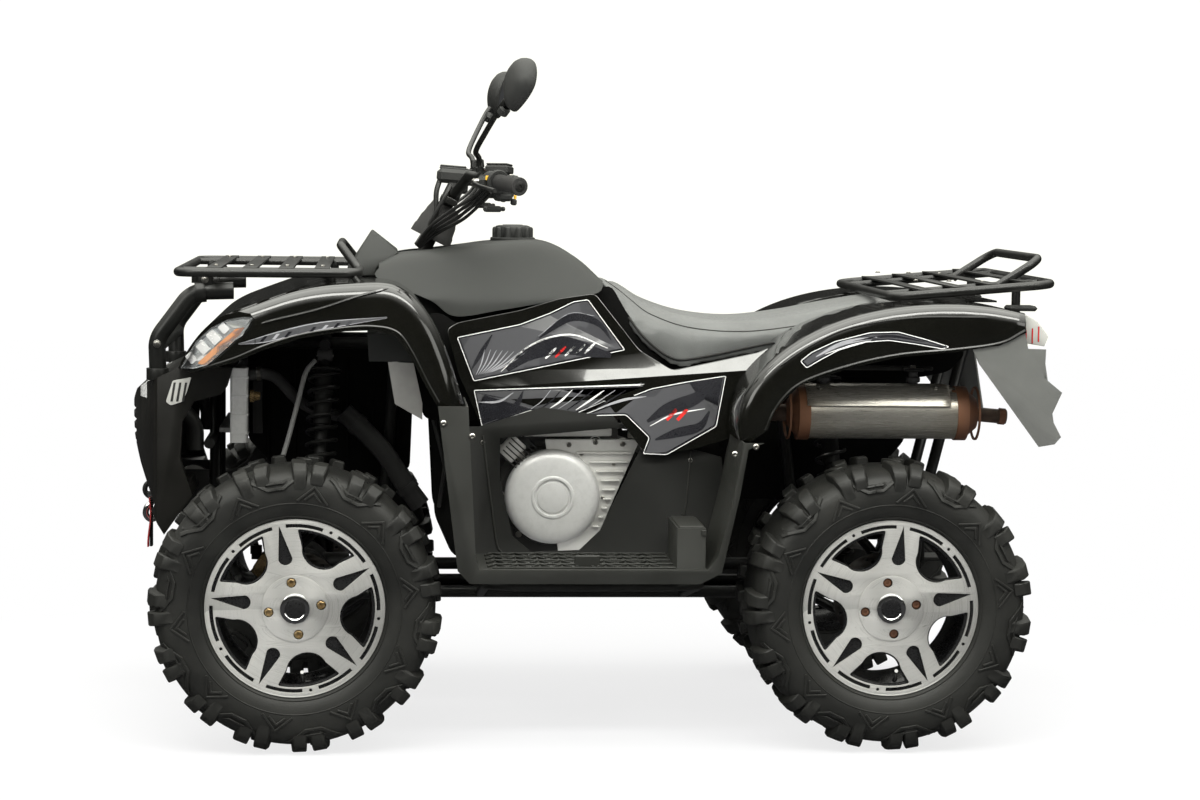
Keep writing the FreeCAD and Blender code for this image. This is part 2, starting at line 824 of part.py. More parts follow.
def instrument_pod():
    """Round-edged dial housing on the clamp, and the boot round the column below it."""
    along = column_direction()
    base = Part.makeBox(76, 96, 34, Vector(-45, -48, BAR_CLAMP_TALL + 2 * float(size.fit_gap)))
    base = base.makeFillet(9, [edge for edge in base.Edges if edge.Length < 40])
    base.Placement = Placement(shaft_end(), Rotation(Vector(0, 0, 1), along))
    boot_low = column_point(1098)
    boot = Part.makeCone(52, 34, 84, boot_low, along)
    hollow = Part.makeCylinder(float(size.column_radius) + float(size.fit_gap), 84, boot_low, along)
    return base, boot.cut(hollow)


def mirror_arm():
    """One mirror: stem from the bar, round-cornered shell, flat glass recess."""
    side = bar_points()
    rise = float(size.bar_radius) + float(size.fit_gap) + 0.4
    foot = side[1] + (side[2] - side[1]) * 0.72 + Vector(0, 0, rise)
    knee = foot + Vector(-6, -8, 70)
    head = side[0] + Vector(115, -388, 236)
    stem = tube([foot, knee, head + Vector(-14, 14, -24)], 5, 30)
    shell = Part.makeSphere(1.0)
    frame = FreeCAD.Matrix()
    frame.scale(Vector(24, 46, 66))
    shell = shell.transformGeometry(frame)
    shell = shell.common(Part.makeBox(60, 120, 160, Vector(-56, -60, -80)))
    shell.Placement = Placement(head, Rotation(Vector(1, 0, 0), -22))
    return stem.fuse(shell)


def steering():
    node("steering_column", shaped(steering_column()))
    node("handlebar", shaped(handlebar()))
    left_grip = grip()
    node("grips", shaped(Part.makeCompound([left_grip, opposite(left_grip)])))
    node("controls", shaped(Part.makeCompound([control_housing(-1), control_housing(1)])))
    node("instrument_pod", shaped(Part.makeCompound(list(instrument_pod()))))
    arm = mirror_arm()
    node("mirrors", shaped(Part.makeCompound([arm, opposite(arm)])))


# Frame, engine and drive

def frame_rail(side):
    """The rails, uprights and braces on one side of the frame."""
    y = side * float(size.rail_y)
    low = float(size.low_rail)
    upper = float(size.upper_rail)
    top = float(size.top_rail)
    fx, rx = float(front_x), float(rear_x)
    runs = [
        [(fx - 200, low + 90), (fx - 150, low), (rx + 130, low), (rx + 150, upper)],
        [(fx - 195, low + 60), (fx - 195, top + 14)],
        [(fx - 195, upper), (fx + 190, upper), (fx + 190, low)],
        [(fx - 195, top), (fx + 230, top), (fx + 640, top - 14), (fx + 790, top - 62),
         (rx - 330, top - 62), (rx - 130, top), (rx + 340, top + 40)],
        [(fx + 190, upper), (fx + 215, top)],
        [(rx - 150, low), (rx - 150, upper), (rx + 150, upper)],
        [(rx - 150, upper), (rx - 200, top - 24)],
        [(rx + 150, upper), (rx + 250, top + 28)],
    ]
    return [tube([Vector(x, y, z) for x, z in run], size.rail_radius, 50) for run in runs]


def chassis_frame():
    """Two welded sides, cross tubes, steering head, shock mounts and skid plate."""
    reach = float(size.rail_y)
    radius = float(size.rail_radius)
    low = float(size.low_rail)
    top = float(size.top_rail)
    fx, rx = float(front_x), float(rear_x)
    shapes = frame_rail(-1) + frame_rail(1)
    crosses = [
        (fx - 150, low, reach),
        (fx + 190, low, reach),
        (rx - 150, low, reach),
        (rx + 150, float(size.upper_rail), reach),
        (fx - 195, top, reach),
        (fx + 55, top, 205),
        (rx - 100, top + 6, 205),
        (fx + 230, top, reach),
        (rx + 330, top + 40, 300),
        (fx - 200, float(size.upper_rail) + 164, 262),
    ]
    for x, z, half in crosses:
        shapes.append(Part.makeCylinder(radius - 1, 2 * half, Vector(x, -half, z), Vector(0, 1, 0)))
    frame = shapes[0].multiFuse(shapes[1:])
    skid = Part.makeBox(1010, 2 * reach, float(size.skid_thick),
    Vector(fx + 150, -reach, low - radius - 0.5))
    return frame.fuse(skid)


def steering_head():
    """The bearing blocks that hold the column, welded to the frame."""
    along = column_direction()
    blocks = []
    for height in (500.0, float(size.top_rail) + 20):
        at = column_point(height)
        bearing = Part.makeCylinder(30, 34, at, along)
        blocks.append(bearing)
    lower = column_point(500.0)
    upper = column_point(float(size.top_rail) + 20)
    half = float(size.rail_y)
    blocks.append(Part.makeBox(30, 2 * half, 34, Vector(lower.x - 10, -half, float(size.upper_rail) - 7)))
    blocks.append(Part.makeBox(40, 2 * half, 24, Vector(upper.x - 20, -half, float(size.top_rail) - 7)))
    whole = blocks[0].multiFuse(blocks[1:])
    bottom = column_point(420.0)
    bore = Part.makeCylinder(float(size.column_radius) + float(size.bearing_gap), 700, bottom, along)
    return whole, bore


def frame_node():
    blocks, bore = steering_head()
    node("frame", shaped(chassis_frame().fuse(blocks).cut(bore)))


def engine():
    """Crankcase block, leaning cylinder and finned side casing."""
    low = size.low_rail + size.rail_radius + size.fit_gap
    left = -size.engine_left
    case = pad("XZ_Plane", size.engine_left * -0.80, size.engine_left * 1.66, [
        (-210, low + 60), (-150, low), (150, low), (215, low + 70), (190, low + 300), (60, low + 340),
        (-170, low + 330),
    ], 25)
    barrel = box(-80, -75, low + 330, 165, 150, 190)
    gearcase = pad("XZ_Plane", size.engine_left * 0.80, size.engine_left * 0.14, [
        (-200, low + 90), (-60, low + 66), (40, low + 66), (130, low + 240), (170, low + 322),
        (-10, low + 322),
        (-190, low + 300),
    ], 20)
    fins = []
    for index in range(FINS):
        shift = index * 13.0
        rise = shift * 1.6
        fins.append(box(38 + shift * 0.9, left, low + 180 + rise, 6, size.engine_left * 0.08, 140 - rise))
    heads = [box(-88, -83, low + 400 + 22 * index, 181, 166, 7) for index in range(4)]
    node("engine", fuse([case, gearcase, barrel] + fins + heads))


def clutch_cover():
    """Round cover with a raised rim, a sunk web, a raised ring and a flat disc at its middle."""
    near = -size.engine_left * 0.94 - size.fit_gap
    far = near - size.cover_deep
    radius = size.cover_radius
    points = [
        (near, 0.0),
        (near, radius),
        (far + 14, radius),
        (far, radius - 12),
        (far, radius - 22),
        (far + 9, radius - 30),
        (far + 9, radius / 2),
        (far + 1, radius / 2 - 6),
        (far + 1, radius / 2 - 14),
        (far + 8, radius / 2 - 18),
        (far + 8, 0.0),
    ]
    node("clutch_cover", revolved(points, size.cover_x, size.cover_height))


def radiator():
    """Core between two side tanks, held on the front uprights."""
    half = size.radiator_half
    front = front_x - 152
    low = size.upper_rail + 162
    core = box(front, -half, low + 8, 32, 2 * half, 152)
    tank = pad("XY_Plane", low, 168, [
        (front - 4, half), (front + 36, half), (front + 36, half + 34), (front - 4, half + 34),
    ], 8)
    foot = box(front - 29.7, -half, low + 20, 30, 2 * half, 12)
    node("radiator", fuse([core, tank, mirrored(tank), foot]))


def drive_line():
    """Front and rear differentials, prop shafts and the front half shafts with their joints."""
    reach = 75
    pieces = []
    for x in (front_x, rear_x):
        pieces.append(cylinder("y", x, -reach, hub_z, size.diff_radius, 2 * reach))
        ear = size.rail_y - size.rail_radius - size.fit_gap
        pieces.append(box(x - 18, -ear, size.low_rail - 5, 36, 2 * ear, 10))
    pieces.append(cylinder("x", front_x + 50, 0, hub_z + 20, 26, 60))
    pieces.append(cylinder("x", front_x + 100, 0, hub_z + 20, 14, -210 - size.fit_gap - front_x - 100))
    pieces.append(cylinder("x", rear_x - 110, 0, hub_z + 20, 26, 60))
    pieces.append(cylinder("x", 215 + size.fit_gap, 0, hub_z + 20, 14, rear_x - 100 - 215))
    for side in (-1, 1):
        start = -size.kingpin_y if side < 0 else size.diff_radius
        reach_out = size.kingpin_y - size.diff_radius
        pieces.append(cylinder("y", front_x, start, hub_z, size.shaft_radius, reach_out))
        ball = document.addObject("Part::Sphere", "Joint")
        bind(ball, "Radius", size.joint_radius)
        place(ball, front_x, side * size.kingpin_y, hub_z)
        pieces.append(ball)
    node("drive_line", fuse(pieces))


# Suspension

def wishbone(pivot_xs, pivot_y, pivot_z, tip):
    """An A-arm: two tubes from frame bushes to one ball joint."""
    shapes = []
    radius = float(size.arm_tube)
    bush = float(size.rail_radius)
    for x in pivot_xs:
        shapes.append(Part.makeCylinder(bush, 44, Vector(x - 22, pivot_y, pivot_z), Vector(1, 0, 0)))
        start = Vector(x, pivot_y, pivot_z)
        run = tip - start
        shapes.append(Part.makeCylinder(radius, run.Length - 4, start, run))
    share = 0.55
    near = Vector(pivot_xs[0], pivot_y, pivot_z) * (1 - share) + tip * share
    far = Vector(pivot_xs[1], pivot_y, pivot_z) * (1 - share) + tip * share
    brace = far - near
    shapes.append(Part.makeCylinder(radius - 2, brace.Length, near, brace))
    shapes.append(Part.makeCylinder(16, 22, tip - Vector(0, 0, 11)))
    return joined(shapes)


def bush_line():
    return -(float(size.rail_y) + 2 * float(size.rail_radius) + float(size.fit_gap))


def front_arms():
    """Upper and lower arm on each side; the ball joints are on the kingpin line."""
    fx = float(front_x)
    king = -float(size.kingpin_y)
    upper_tip = Vector(fx, king, float(size.kingpin_top))
    lower_tip = Vector(fx, king, float(size.kingpin_low))
    upper = wishbone((fx - 55, fx + 85), bush_line(), float(size.upper_rail), upper_tip)
    lower = wishbone((fx - 140, fx + 140), bush_line(), float(size.low_rail), lower_tip)
    pair = [upper, lower]
    node("front_arms", shaped(Part.makeCompound(pair + [opposite(arm) for arm in pair])))


def rear_arms():
    """Upper and lower arm on each side with the bearing carrier that joins them."""
    rx = float(rear_x)
    tip_y = -(float(size.kingpin_y) - 30)
    upper_tip = Vector(rx, tip_y, float(hub_z) + 88)
    lower_tip = Vector(rx, tip_y, float(hub_z) - 78)
    upper = wishbone((rx - 50, rx + 90), bush_line(), float(size.upper_rail), upper_tip)
    lower = wishbone((rx - 120, rx + 120), bush_line(), float(size.low_rail), lower_tip)
    upright = Part.makeBox(40, 26, 166, Vector(rx - 20, tip_y - 13, float(hub_z) - 78))
    ring = Part.makeCylinder(42, 44, Vector(rx, tip_y - 22, float(hub_z)), Vector(0, 1, 0))
    bore_at = Vector(rx, tip_y - 40, float(hub_z))
    bore = Part.makeCylinder(float(size.shaft_radius) + float(size.bearing_gap),
    80, bore_at, Vector(0, 1, 0))
    side = joined([upper, lower, upright, ring]).cut(bore)
    node("rear_arms", shaped(Part.makeCompound([side, opposite(side)])))


def shock(low, top):
    """Damper with its eyes and a coil spring drawn as a ribbed sleeve."""
    run = (top - low).normalize()
    length = (top - low).Length
    radius = float(size.spring_radius)
    body = Part.makeCylinder(20, length - 20, low + run * 10, run)
    eyes = [Part.makeCylinder(11, 30, at - Vector(15, 0, 0), Vector(1, 0, 0)) for at in (low, top)]
    coils = 8
    start, reach = 52.0, length - 96
    pitch = reach / coils
    profile = [Vector(19, 0, start)]
    for index in range(coils):
        base = start + index * pitch
        profile += [Vector(radius - 6, 0, base), Vector(radius, 0, base + pitch / 2)]
    profile += [Vector(radius - 6, 0, start + reach), Vector(19, 0, start + reach)]
    corners = 10
    turn = 360.0 / corners
    faces_of = []
    for index in range(corners):
        for a, b in zip(profile, profile[1:] + profile[:1]):
            low_turn, high_turn = index * turn, (index + 1) * turn
            ring = [spun(a, low_turn), spun(b, low_turn), spun(b, high_turn), spun(a, high_turn)]
            faces_of.append(Part.Face(Part.makePolygon(ring + ring[:1])))
    shell = Part.makeShell(faces_of)
    shell.sewShape()
    spring = Part.makeSolid(shell)
    if spring.Volume < 0:
        spring.reverse()
    spring.Placement = Placement(low, Rotation(Vector(0, 0, 1), run))
    plates = [Part.makeCylinder(radius, 6, low + run * at, run) for at in (46.0, start + reach)]
    return joined([body, spring] + eyes + plates)


def spun(corner, degrees):
    angle = math.radians(degrees)
    return Vector(corner.x * math.cos(angle), corner.x * math.sin(angle), corner.z)


def shocks():
    fx, rx = float(front_x), float(rear_x)
    mount_gap = 11 + float(size.rail_radius) - 1 + float(size.fit_gap)
    top = float(size.top_rail)
    front = shock(Vector(fx + 42, -262, 478.4), Vector(fx + 55, -188, top - mount_gap))
    rear = shock(Vector(rx - 62, -290, 279), Vector(rx - 100, -185, top + 6 - mount_gap))
    node("shocks", shaped(Part.makeCompound([front, rear, opposite(front), opposite(rear)])))


# Exhaust

def exhaust():
    """Header from the engine, muffler with end bands, tail pipe and heat shield."""
    y, z = -float(size.muffler_y), float(size.muffler_height)
    radius = float(size.muffler_radius)
    start_x = float(rear_x) - 208
    length = float(size.muffler_long)
    can = Part.makeCylinder(radius, length - 56, Vector(start_x + 28, y, z), Vector(1, 0, 0))
    nose = Part.makeCone(24, radius, 28, Vector(start_x, y, z), Vector(1, 0, 0))
    tail = Part.makeCone(radius, 34, 28, Vector(start_x + length - 28, y, z), Vector(1, 0, 0))
    bands = [Part.makeCylinder(radius + 3, 26, Vector(x, y, z), Vector(1, 0, 0))
             for x in (start_x + 24, start_x + length - 50)]
    outlet = tube([Vector(start_x + length - 20, y, z), Vector(start_x + length + 70, y, z - 8)], 16)
    pipe = tube([
        Vector(start_x + 6, y, z),
        Vector(start_x - 20, y + 3, z - 2),
        Vector(start_x - 46, -254, z - 4),
        Vector(60, -252, z - 8),
        Vector(-28, -210, z + 40),
        Vector(-28, -83.4, z + 40),
    ], size.pipe_radius, 60)
    ribs = []
    for shift in (-26.0, 0.0, 26.0):
        rib_z = z + math.sqrt(radius ** 2 - shift ** 2) - 2
        ribs.append(Part.makeBox(length - 120, 4, 7, Vector(start_x + 60, y - 2 + shift, rib_z)))
    node("exhaust", shaped(joined([can, nose, tail, outlet, pipe] + bands + ribs)))


# Bodywork over the middle

def crowned(side_points, section_points):
    """A block that has one outline from the side and another from the front."""
    block = side_prism(side_points, -400, 400)
    xs = [float(x) for x, z in side_points]
    low, high = min(xs) - 5, max(xs) + 5
    section = [point(low, y, z) for y, z in section_points]
    block = block.common(prism(section, Vector(high - low, 0, 0)))
    return block


def tank_cover():
    """Matte cover over the fuel tank: sloping sides, humped top, a slot for the column."""
    base = float(size.top_rail)
    top = [
        (-424, base + 208), (-352, base + 216), (-282, base + 225), (-219, base + 234), (-131, base + 240),
        (-73, base + 231), (-14, base + 198), (36, base + 152),
    ]
    below = [
        (20, base + 122), (-63, base + 108), (-198, base + 84), (-299, base + 66), (-355, base + 104),
        (-470, base + 150), (-474, base + 172),
    ]
    side = flowing_side(top, below, -400, 400)
    section = [
        (-236, base + 60), (236, base + 60), (228, base + 110), (130, base + 244), (-130, base + 244),
        (-228, base + 110),
    ]
    corners = [point(-500, y, z) for y, z in section]
    block = side.common(prism(corners, Vector(560, 0, 0)))
    hollow = [
        (-470, base + 40), (-300, base + 60), (30, base + 118), (30, base + 140), (-30, base + 175),
        (-110, base + 205), (-400, base + 190), (-470, base + 140),
    ]
    under = side_prism(hollow, -150, 150)
    slot = Part.makeCylinder(62, 400, column_point(900.0), column_direction())
    neck = Part.makeCylinder(float(size.cap_radius) - 12, 200, Vector(-173, 0, base + 100))
    rest = float(size.rail_radius)
    legs = []
    for x, drop in ((-380, rest - 0.7), (-60, rest - 11.6)):
        for side_y in (-float(size.rail_y), float(size.rail_y)):
            legs.append(Part.makeCylinder(9, 204 - drop, Vector(x, side_y, base + drop)))
    return block.cut([under, slot]).fuse([neck.common(block)] + legs).removeSplitter()


def fuel_cap():
    """Cap with ten grip lobes round a flat top."""
    base = float(size.top_rail) + 240.6
    radius = float(size.cap_radius)
    cap = Part.makeCylinder(radius - 6, 30, Vector(-160, 0, base))
    lobes = []
    for index in range(10):
        angle = math.radians(36 * index)
        spot = Vector(-160 + (radius - 8) * math.cos(angle), (radius - 8) * math.sin(angle), base)
        lobes.append(Part.makeCylinder(8, 26, spot))
    return joined([cap] + lobes)


def cowl():
    """Wedge ahead of the column with a pointed crest and sloping sides."""
    base = float(size.top_rail)
    points = [
        (-541, base + 178), (-531, base + 186), (-486, base + 257), (-424.4, base + 208.6),
        (-474.4, base + 172.6), (-476, base + 155), (-541, base + 155),
    ]
    section = [
        (-140, base + 150), (140, base + 150), (128, base + 190), (76, base + 262), (-76, base + 262),
        (-128, base + 190),
    ]
    return crowned(points, section)


def side_panel():
    """Left side panel, leaning in at the top under the seat."""
    base = float(size.top_rail)
    points = [
        (-318, base + 42), (-293, base + 57), (-154, base + 85), (-65, base + 112), (16, base + 124),
        (116, base - 2), (190, base - 46), (388, base - 4), (412, base + 8), (322, base - 196),
        (233, base - 222), (128, base - 233), (36, base - 110), (-96, base - 122), (-242, base - 168),
        (-290, base - 60),
    ]
    plate = side_prism(points, -2, 2)
    lean = -8.0
    plate.Placement = Placement(Vector(0, 0, 0), Rotation(Vector(1, 0, 0), lean), Vector(0, 0, base - 168))
    plate.translate(Vector(0, -float(size.well_inner) + 2.8, 0))
    return plate


def seat():
    """Long saddle: nose over the tank cover's end, low rider's place, raised rear."""
    base = float(size.top_rail)
    top = [(40, base + 160), (75, base + 150), (140, base + 104), (234, base + 72), (352, base + 62),
           (470, base + 75), (588, base + 99), (700, base + 117)]
    below = [
        (752, base + 104), (752, base + 60), (560, base + 20.9), (420, base - 2), (262, base - 36),
        (195, base - 40), (128, base + 10), (52, base + 122),
    ]
    wide = float(size.seat_half)
    block = flowing_side(top, below, -wide, wide)
    section = [
        (-wide, base - 60), (wide, base - 60), (wide, base + 60), (wide - 45, base + 180),
        (45 - wide, base + 180), (-wide, base + 60),
    ]
    corners = [point(0, y, z) for y, z in section]
    return block.common(prism(corners, Vector(800, 0, 0)))


def middle_body():
    node("tank_cover", shaped(tank_cover()))
    node("fuel_cap", shaped(fuel_cap()))
    node("cowl", shaped(cowl()))
    panel = side_panel()
    node("side_panels", shaped(Part.makeCompound([panel, opposite(panel)])))
    node("seat", shaped(seat()))


# Fenders

def inset(points, depth):
    """The curve's points moved inwards, square to the curve; the curve runs clockwise over the wheel."""
    moved = []
    for index, (x, z) in enumerate(points):
        before = points[max(index - 1, 0)]
        after = points[min(index + 1, len(points) - 1)]
        run = Vector(after[0] - before[0], after[1] - before[1], 0).normalize()
        moved.append((x + run.y * depth, z - run.x * depth))
    return moved


def rolled_block(curve_points, closing, y_inner, y_outer, rounding):
    """A block whose outer shoulder turns over from the curved top to the flat side."""
    wires = [side_wire(curve_points, closing, -y_inner)]
    for turn in (0, 30, 60, 90):
        angle = math.radians(turn)
        y = y_outer - rounding * (1 - math.sin(angle))
        wires.append(side_wire(inset(curve_points, rounding * (1 - math.cos(angle))), closing, -y))
    return Part.makeLoft(wires, True, True)


def wheel_shell(curve_points, closing, y_outer, y_inner, rounding):
    """A cover over a wheel as its outer block and the hollow to cut from it, open below."""
    wall = float(size.wall)
    outer = rolled_block(curve_points, closing, y_inner, y_outer, rounding)
    lowered = inset(curve_points, wall)
    first, last = lowered[0], lowered[-1]
    far_below = [(last[0] + 60, last[1] - 500), (first[0] - 120, first[1] - 500)]
    inner = rolled_block(lowered, far_below, y_inner - 50, y_outer - wall, rounding - wall)
    return outer, inner


def front_plan(shift):
    """The front fender's side in plan, drawn in towards the nose; shift moves it inwards."""
    fx = float(front_x)
    taper = [
        (fx - 268, -356), (fx - 232, -398), (fx - 190, -438), (fx - 145, -471), (fx - 100, -495),
        (fx - 60, -512),
    ]
    curve = Part.BSplineCurve()
    curve.interpolate([point(x, y + shift, 400) for x, y in taper])
    first, last = taper[0], taper[-1]
    closing = [
        last, (fx - 60, -560), (fx + 400, -560), (fx + 400, 2), (fx - 300, 2),
        (fx - 300, first[1] + 30), first,
    ]
    corners = [point(x, y + (shift if (x, y) in (first, last) else 0), 400) for x, y in closing]
    lines = [Part.LineSegment(start, end).toShape() for start, end in zip(corners, corners[1:])]
    return Part.Face(Part.Wire([curve.toShape()] + lines)).extrude(Vector(0, 0, 800))


def front_curve(hz):
    """The front fender's top line from the side, nose to rear."""
    fx = float(front_x)
    return [
        (fx - 262, hz + 500), (fx - 235, hz + 548), (fx - 180, hz + 608), (fx - 103, hz + 644),
        (fx - 17, hz + 674),
        (fx + 69, hz + 690), (fx + 145, hz + 695), (fx + 205, hz + 692), (fx + 258, hz + 658),
        (fx + 308, hz + 583),
        (fx + 341, hz + 496), (fx + 361, hz + 434.4),
    ]


def front_arch(hz):
    """The front fender's lower edge from the side, rear to nose."""
    fx = float(front_x)
    return [
        (fx + 300, hz + 434.4), (fx + 276, hz + 476), (fx + 243, hz + 540), (fx + 210, hz + 583),
        (fx + 167, hz + 594),
        (fx + 103, hz + 591), (fx + 7, hz + 575), (fx - 74, hz + 549), (fx - 132, hz + 522),
        (fx - 227, hz + 492),
    ]


def front_fenders():
    """Both front fenders and the hood that joins them, cut away round lamps, cowl and tank cover."""
    hz = float(hub_z)
    wall = float(size.wall)
    curve, closing = front_curve(hz), front_arch(hz)
    outer, inner = wheel_shell(curve, closing, float(size.body_half), 0.0, 34.0)
    side = outer.common(front_plan(0.0)).cut(inner.common(front_plan(wall)))
    tank_room = Part.makeBox(400, 480, 700, Vector(-476, -240, 500))
    cowl_room = Part.makeBox(90, 281, 300, Vector(-541.4, -140.5, 950))
    lamp = head_lamp(hz)
    return joined([side, opposite(side)]).cut([tank_room, cowl_room, lamp, opposite(lamp)])


def rear_fenders():
    """Both rear fenders and the deck between them."""
    rx, hz = float(rear_x), float(hub_z)
    curve = [
        (rx - 332, hz + 360), (rx - 322, hz + 448), (rx - 262, hz + 530), (rx - 170, hz + 594),
        (rx - 50, hz + 638), (rx + 90, hz + 658), (rx + 210, hz + 656), (rx + 300, hz + 641),
    ]
    closing = [
        (rx + 300, hz + 600), (rx + 241, hz + 571), (rx + 142, hz + 556), (rx + 20, hz + 544),
        (rx - 89, hz + 520), (rx - 199, hz + 482), (rx - 253, hz + 427), (rx - 274, hz + 378),
    ]
    outer, inner = wheel_shell(curve, closing, float(size.body_half), 205.0, 28.0)
    side = outer.cut(inner)
    deck = Part.makeBox(184, 412, float(size.wall), Vector(rx + 112, -206, hz + 652))
    panel_room = Part.makeBox(200, 592, 300, Vector(250, -296, hz + 260))
    pipe_room = Part.makeBox(200, 676, 200, Vector(250, -338, hz + 252))
    return joined([side, opposite(side), deck]).cut([panel_room, pipe_room])


def inner_guards():
    """Plates inside the front arches: a dark box and a bright plate below it on each side."""
    base = float(size.top_rail)
    drawn = [(-449, base - 28), (-392, base - 30), (-372, base - 120), (-372, base - 156),
    (-433, base - 121)]
    plate = side_prism(drawn, -326, -322)
    drawn = [(-495, base + 35), (-427, base + 36), (-390, base - 27), (-491, base - 27)]
    box_shape = side_prism(drawn, -330, -206)
    reach = float(size.rail_y) + float(size.rail_radius) + float(size.fit_gap)
    arm = Part.makeBox(14, 326 - reach, 16, Vector(-440, -326, base - 38))
    return joined([plate, box_shape, arm])


def fenders():
    node("front_fenders", shaped(front_fenders()))
    node("rear_fenders", shaped(rear_fenders()))
    guard = inner_guards()
    node("inner_guards", shaped(Part.makeCompound([guard, opposite(guard)])))


# Nose

def nose_profile(hz):
    return [
        (-907, hz + 499), (-985, hz + 461), (-1012, hz + 440), (-1030, hz + 401), (-1022, hz + 334),
        (-1000, hz + 276), (-962, hz + 194), (-970, hz + 176), (-940, hz + 128), (-878, hz + 216),
        (-905, hz + 296), (-900, hz + 380), (-874, hz + 424), (-815, hz + 440), (-802, hz + 458),
        (-790, hz + 499),
    ]


def nose_block(hz):
    """The nose's outer form: its side view rounded in plan."""
    plan = Part.makeCylinder(760, 700, Vector(-1030 + 760, 0, 400))
    return side_prism(nose_profile(hz), -330, 330).common(plan)


def front_bumper():
    """Matte nose shell, curved in plan, with two lower prongs and a slotted grille."""
    hz = float(hub_z)
    drawn = [
        (-880, hz + 520), (-975, hz + 450), (-1008, hz + 420), (-1016, hz + 398), (-1008, hz + 338),
        (-985, hz + 280), (-965, hz + 240), (-700, hz + 240), (-700, hz + 520),
    ]
    core = side_prism(drawn, -300, 300)
    core = core.common(Part.makeCylinder(746, 700, Vector(-1030 + 760, 0, 400)))
    notch = Part.makeBox(200, 240, 160, Vector(-1040, -120, hz + 110))
    slots = [Part.makeBox(120, 300, 12, Vector(-1060, -150, hz + 310 + 24 * index)) for index in range(4)]
    pocket = lamp_pocket(hz)
    bar = tube(bull_bar_line(), float(size.guard_tube) + float(size.fit_gap), 60)
    return nose_block(hz).cut([core, notch, pocket, opposite(pocket), bar, opposite(bar)] + slots)


def bull_bar_line():
    """The left side tube's corners, from its frame mount up and back to the rack."""
    hz = float(hub_z)
    stand_off = float(size.rail_radius) - 1 + float(size.guard_tube) + float(size.fit_gap)
    foot_x = float(front_x) - 200 - stand_off
    return [
        Vector(foot_x, -250, hz + 310), Vector(foot_x, -250, hz + 370), Vector(-955, -290, hz + 450),
        Vector(-958, -300, hz + 560), Vector(-880, -300, hz + 665), Vector(-790, -300, hz + 668),
    ]


def bull_bar():
    """Two bent side tubes with a cross tube between them."""
    hz = float(hub_z)
    left = tube(bull_bar_line(), size.guard_tube, 60)
    cross = Part.makeCylinder(float(size.guard_tube) - 3, 600, Vector(-955, -300, hz + 545),
    Vector(0, 1, 0))
    return joined([left, opposite(left), cross])


def lamp_pocket(hz):
    return Part.makeBox(60, 56, 46, Vector(-1010, -264, hz + 426))


def head_lamp(hz):
    """The left lamp, flush with the fender's side."""
    fx = float(front_x)
    drawn = [
        (fx - 250, hz + 502), (fx - 222, hz + 550), (fx - 178, hz + 592), (fx - 124, hz + 614),
        (fx - 98, hz + 614),
        (fx - 116, hz + 580), (fx - 150, hz + 556), (fx - 184, hz + 530), (fx - 216, hz + 508),
    ]
    return side_prism(drawn, -520, -300).common(front_plan(0.0))


def lamps():
    """Headlamp lens blocks in the fenders and small lamps in the nose shell."""
    hz = float(hub_z)
    small = lamp_pocket(hz).common(nose_block(hz))
    return head_lamp(hz), small


def winch():
    """Drum and motor behind a fairlead, with its hook at the front."""
    hz = float(hub_z)
    back = float(front_x) - 195 - float(size.rail_radius) - float(size.fit_gap)
    drum = Part.makeCylinder(36, 200, Vector(back - 46, -100, hz + 205), Vector(0, 1, 0))
    ends = [Part.makeBox(90, 12, 100, Vector(back - 90, y, hz + 150)) for y in (-112, 100)]
    fairlead = Part.makeBox(8, 224, 50, Vector(back - 98, -112, hz + 180))
    eye = Part.makeTorus(18, 6, Vector(-990, 0, hz + 192), Vector(0, 1, 0))
    shank = Part.makeCylinder(7, 50, Vector(-973, 0, hz + 192), Vector(1, 0, 0))
    strap = Part.makeBox(6, 26, 118, Vector(-996, -13, hz + 60))
    mount = Part.makeBox(90, 224, 8, Vector(back - 90, -112, hz + 150))
    return joined([drum, fairlead, shank, eye, strap, mount] + ends)


def nose():
    node("front_bumper", shaped(front_bumper()))
    node("bull_bar", shaped(bull_bar()))
    head, small = lamps()
    node("front_lamps", shaped(Part.makeCompound([head, small, opposite(head), opposite(small)])))
    node("winch", shaped(winch()))


# Footwells

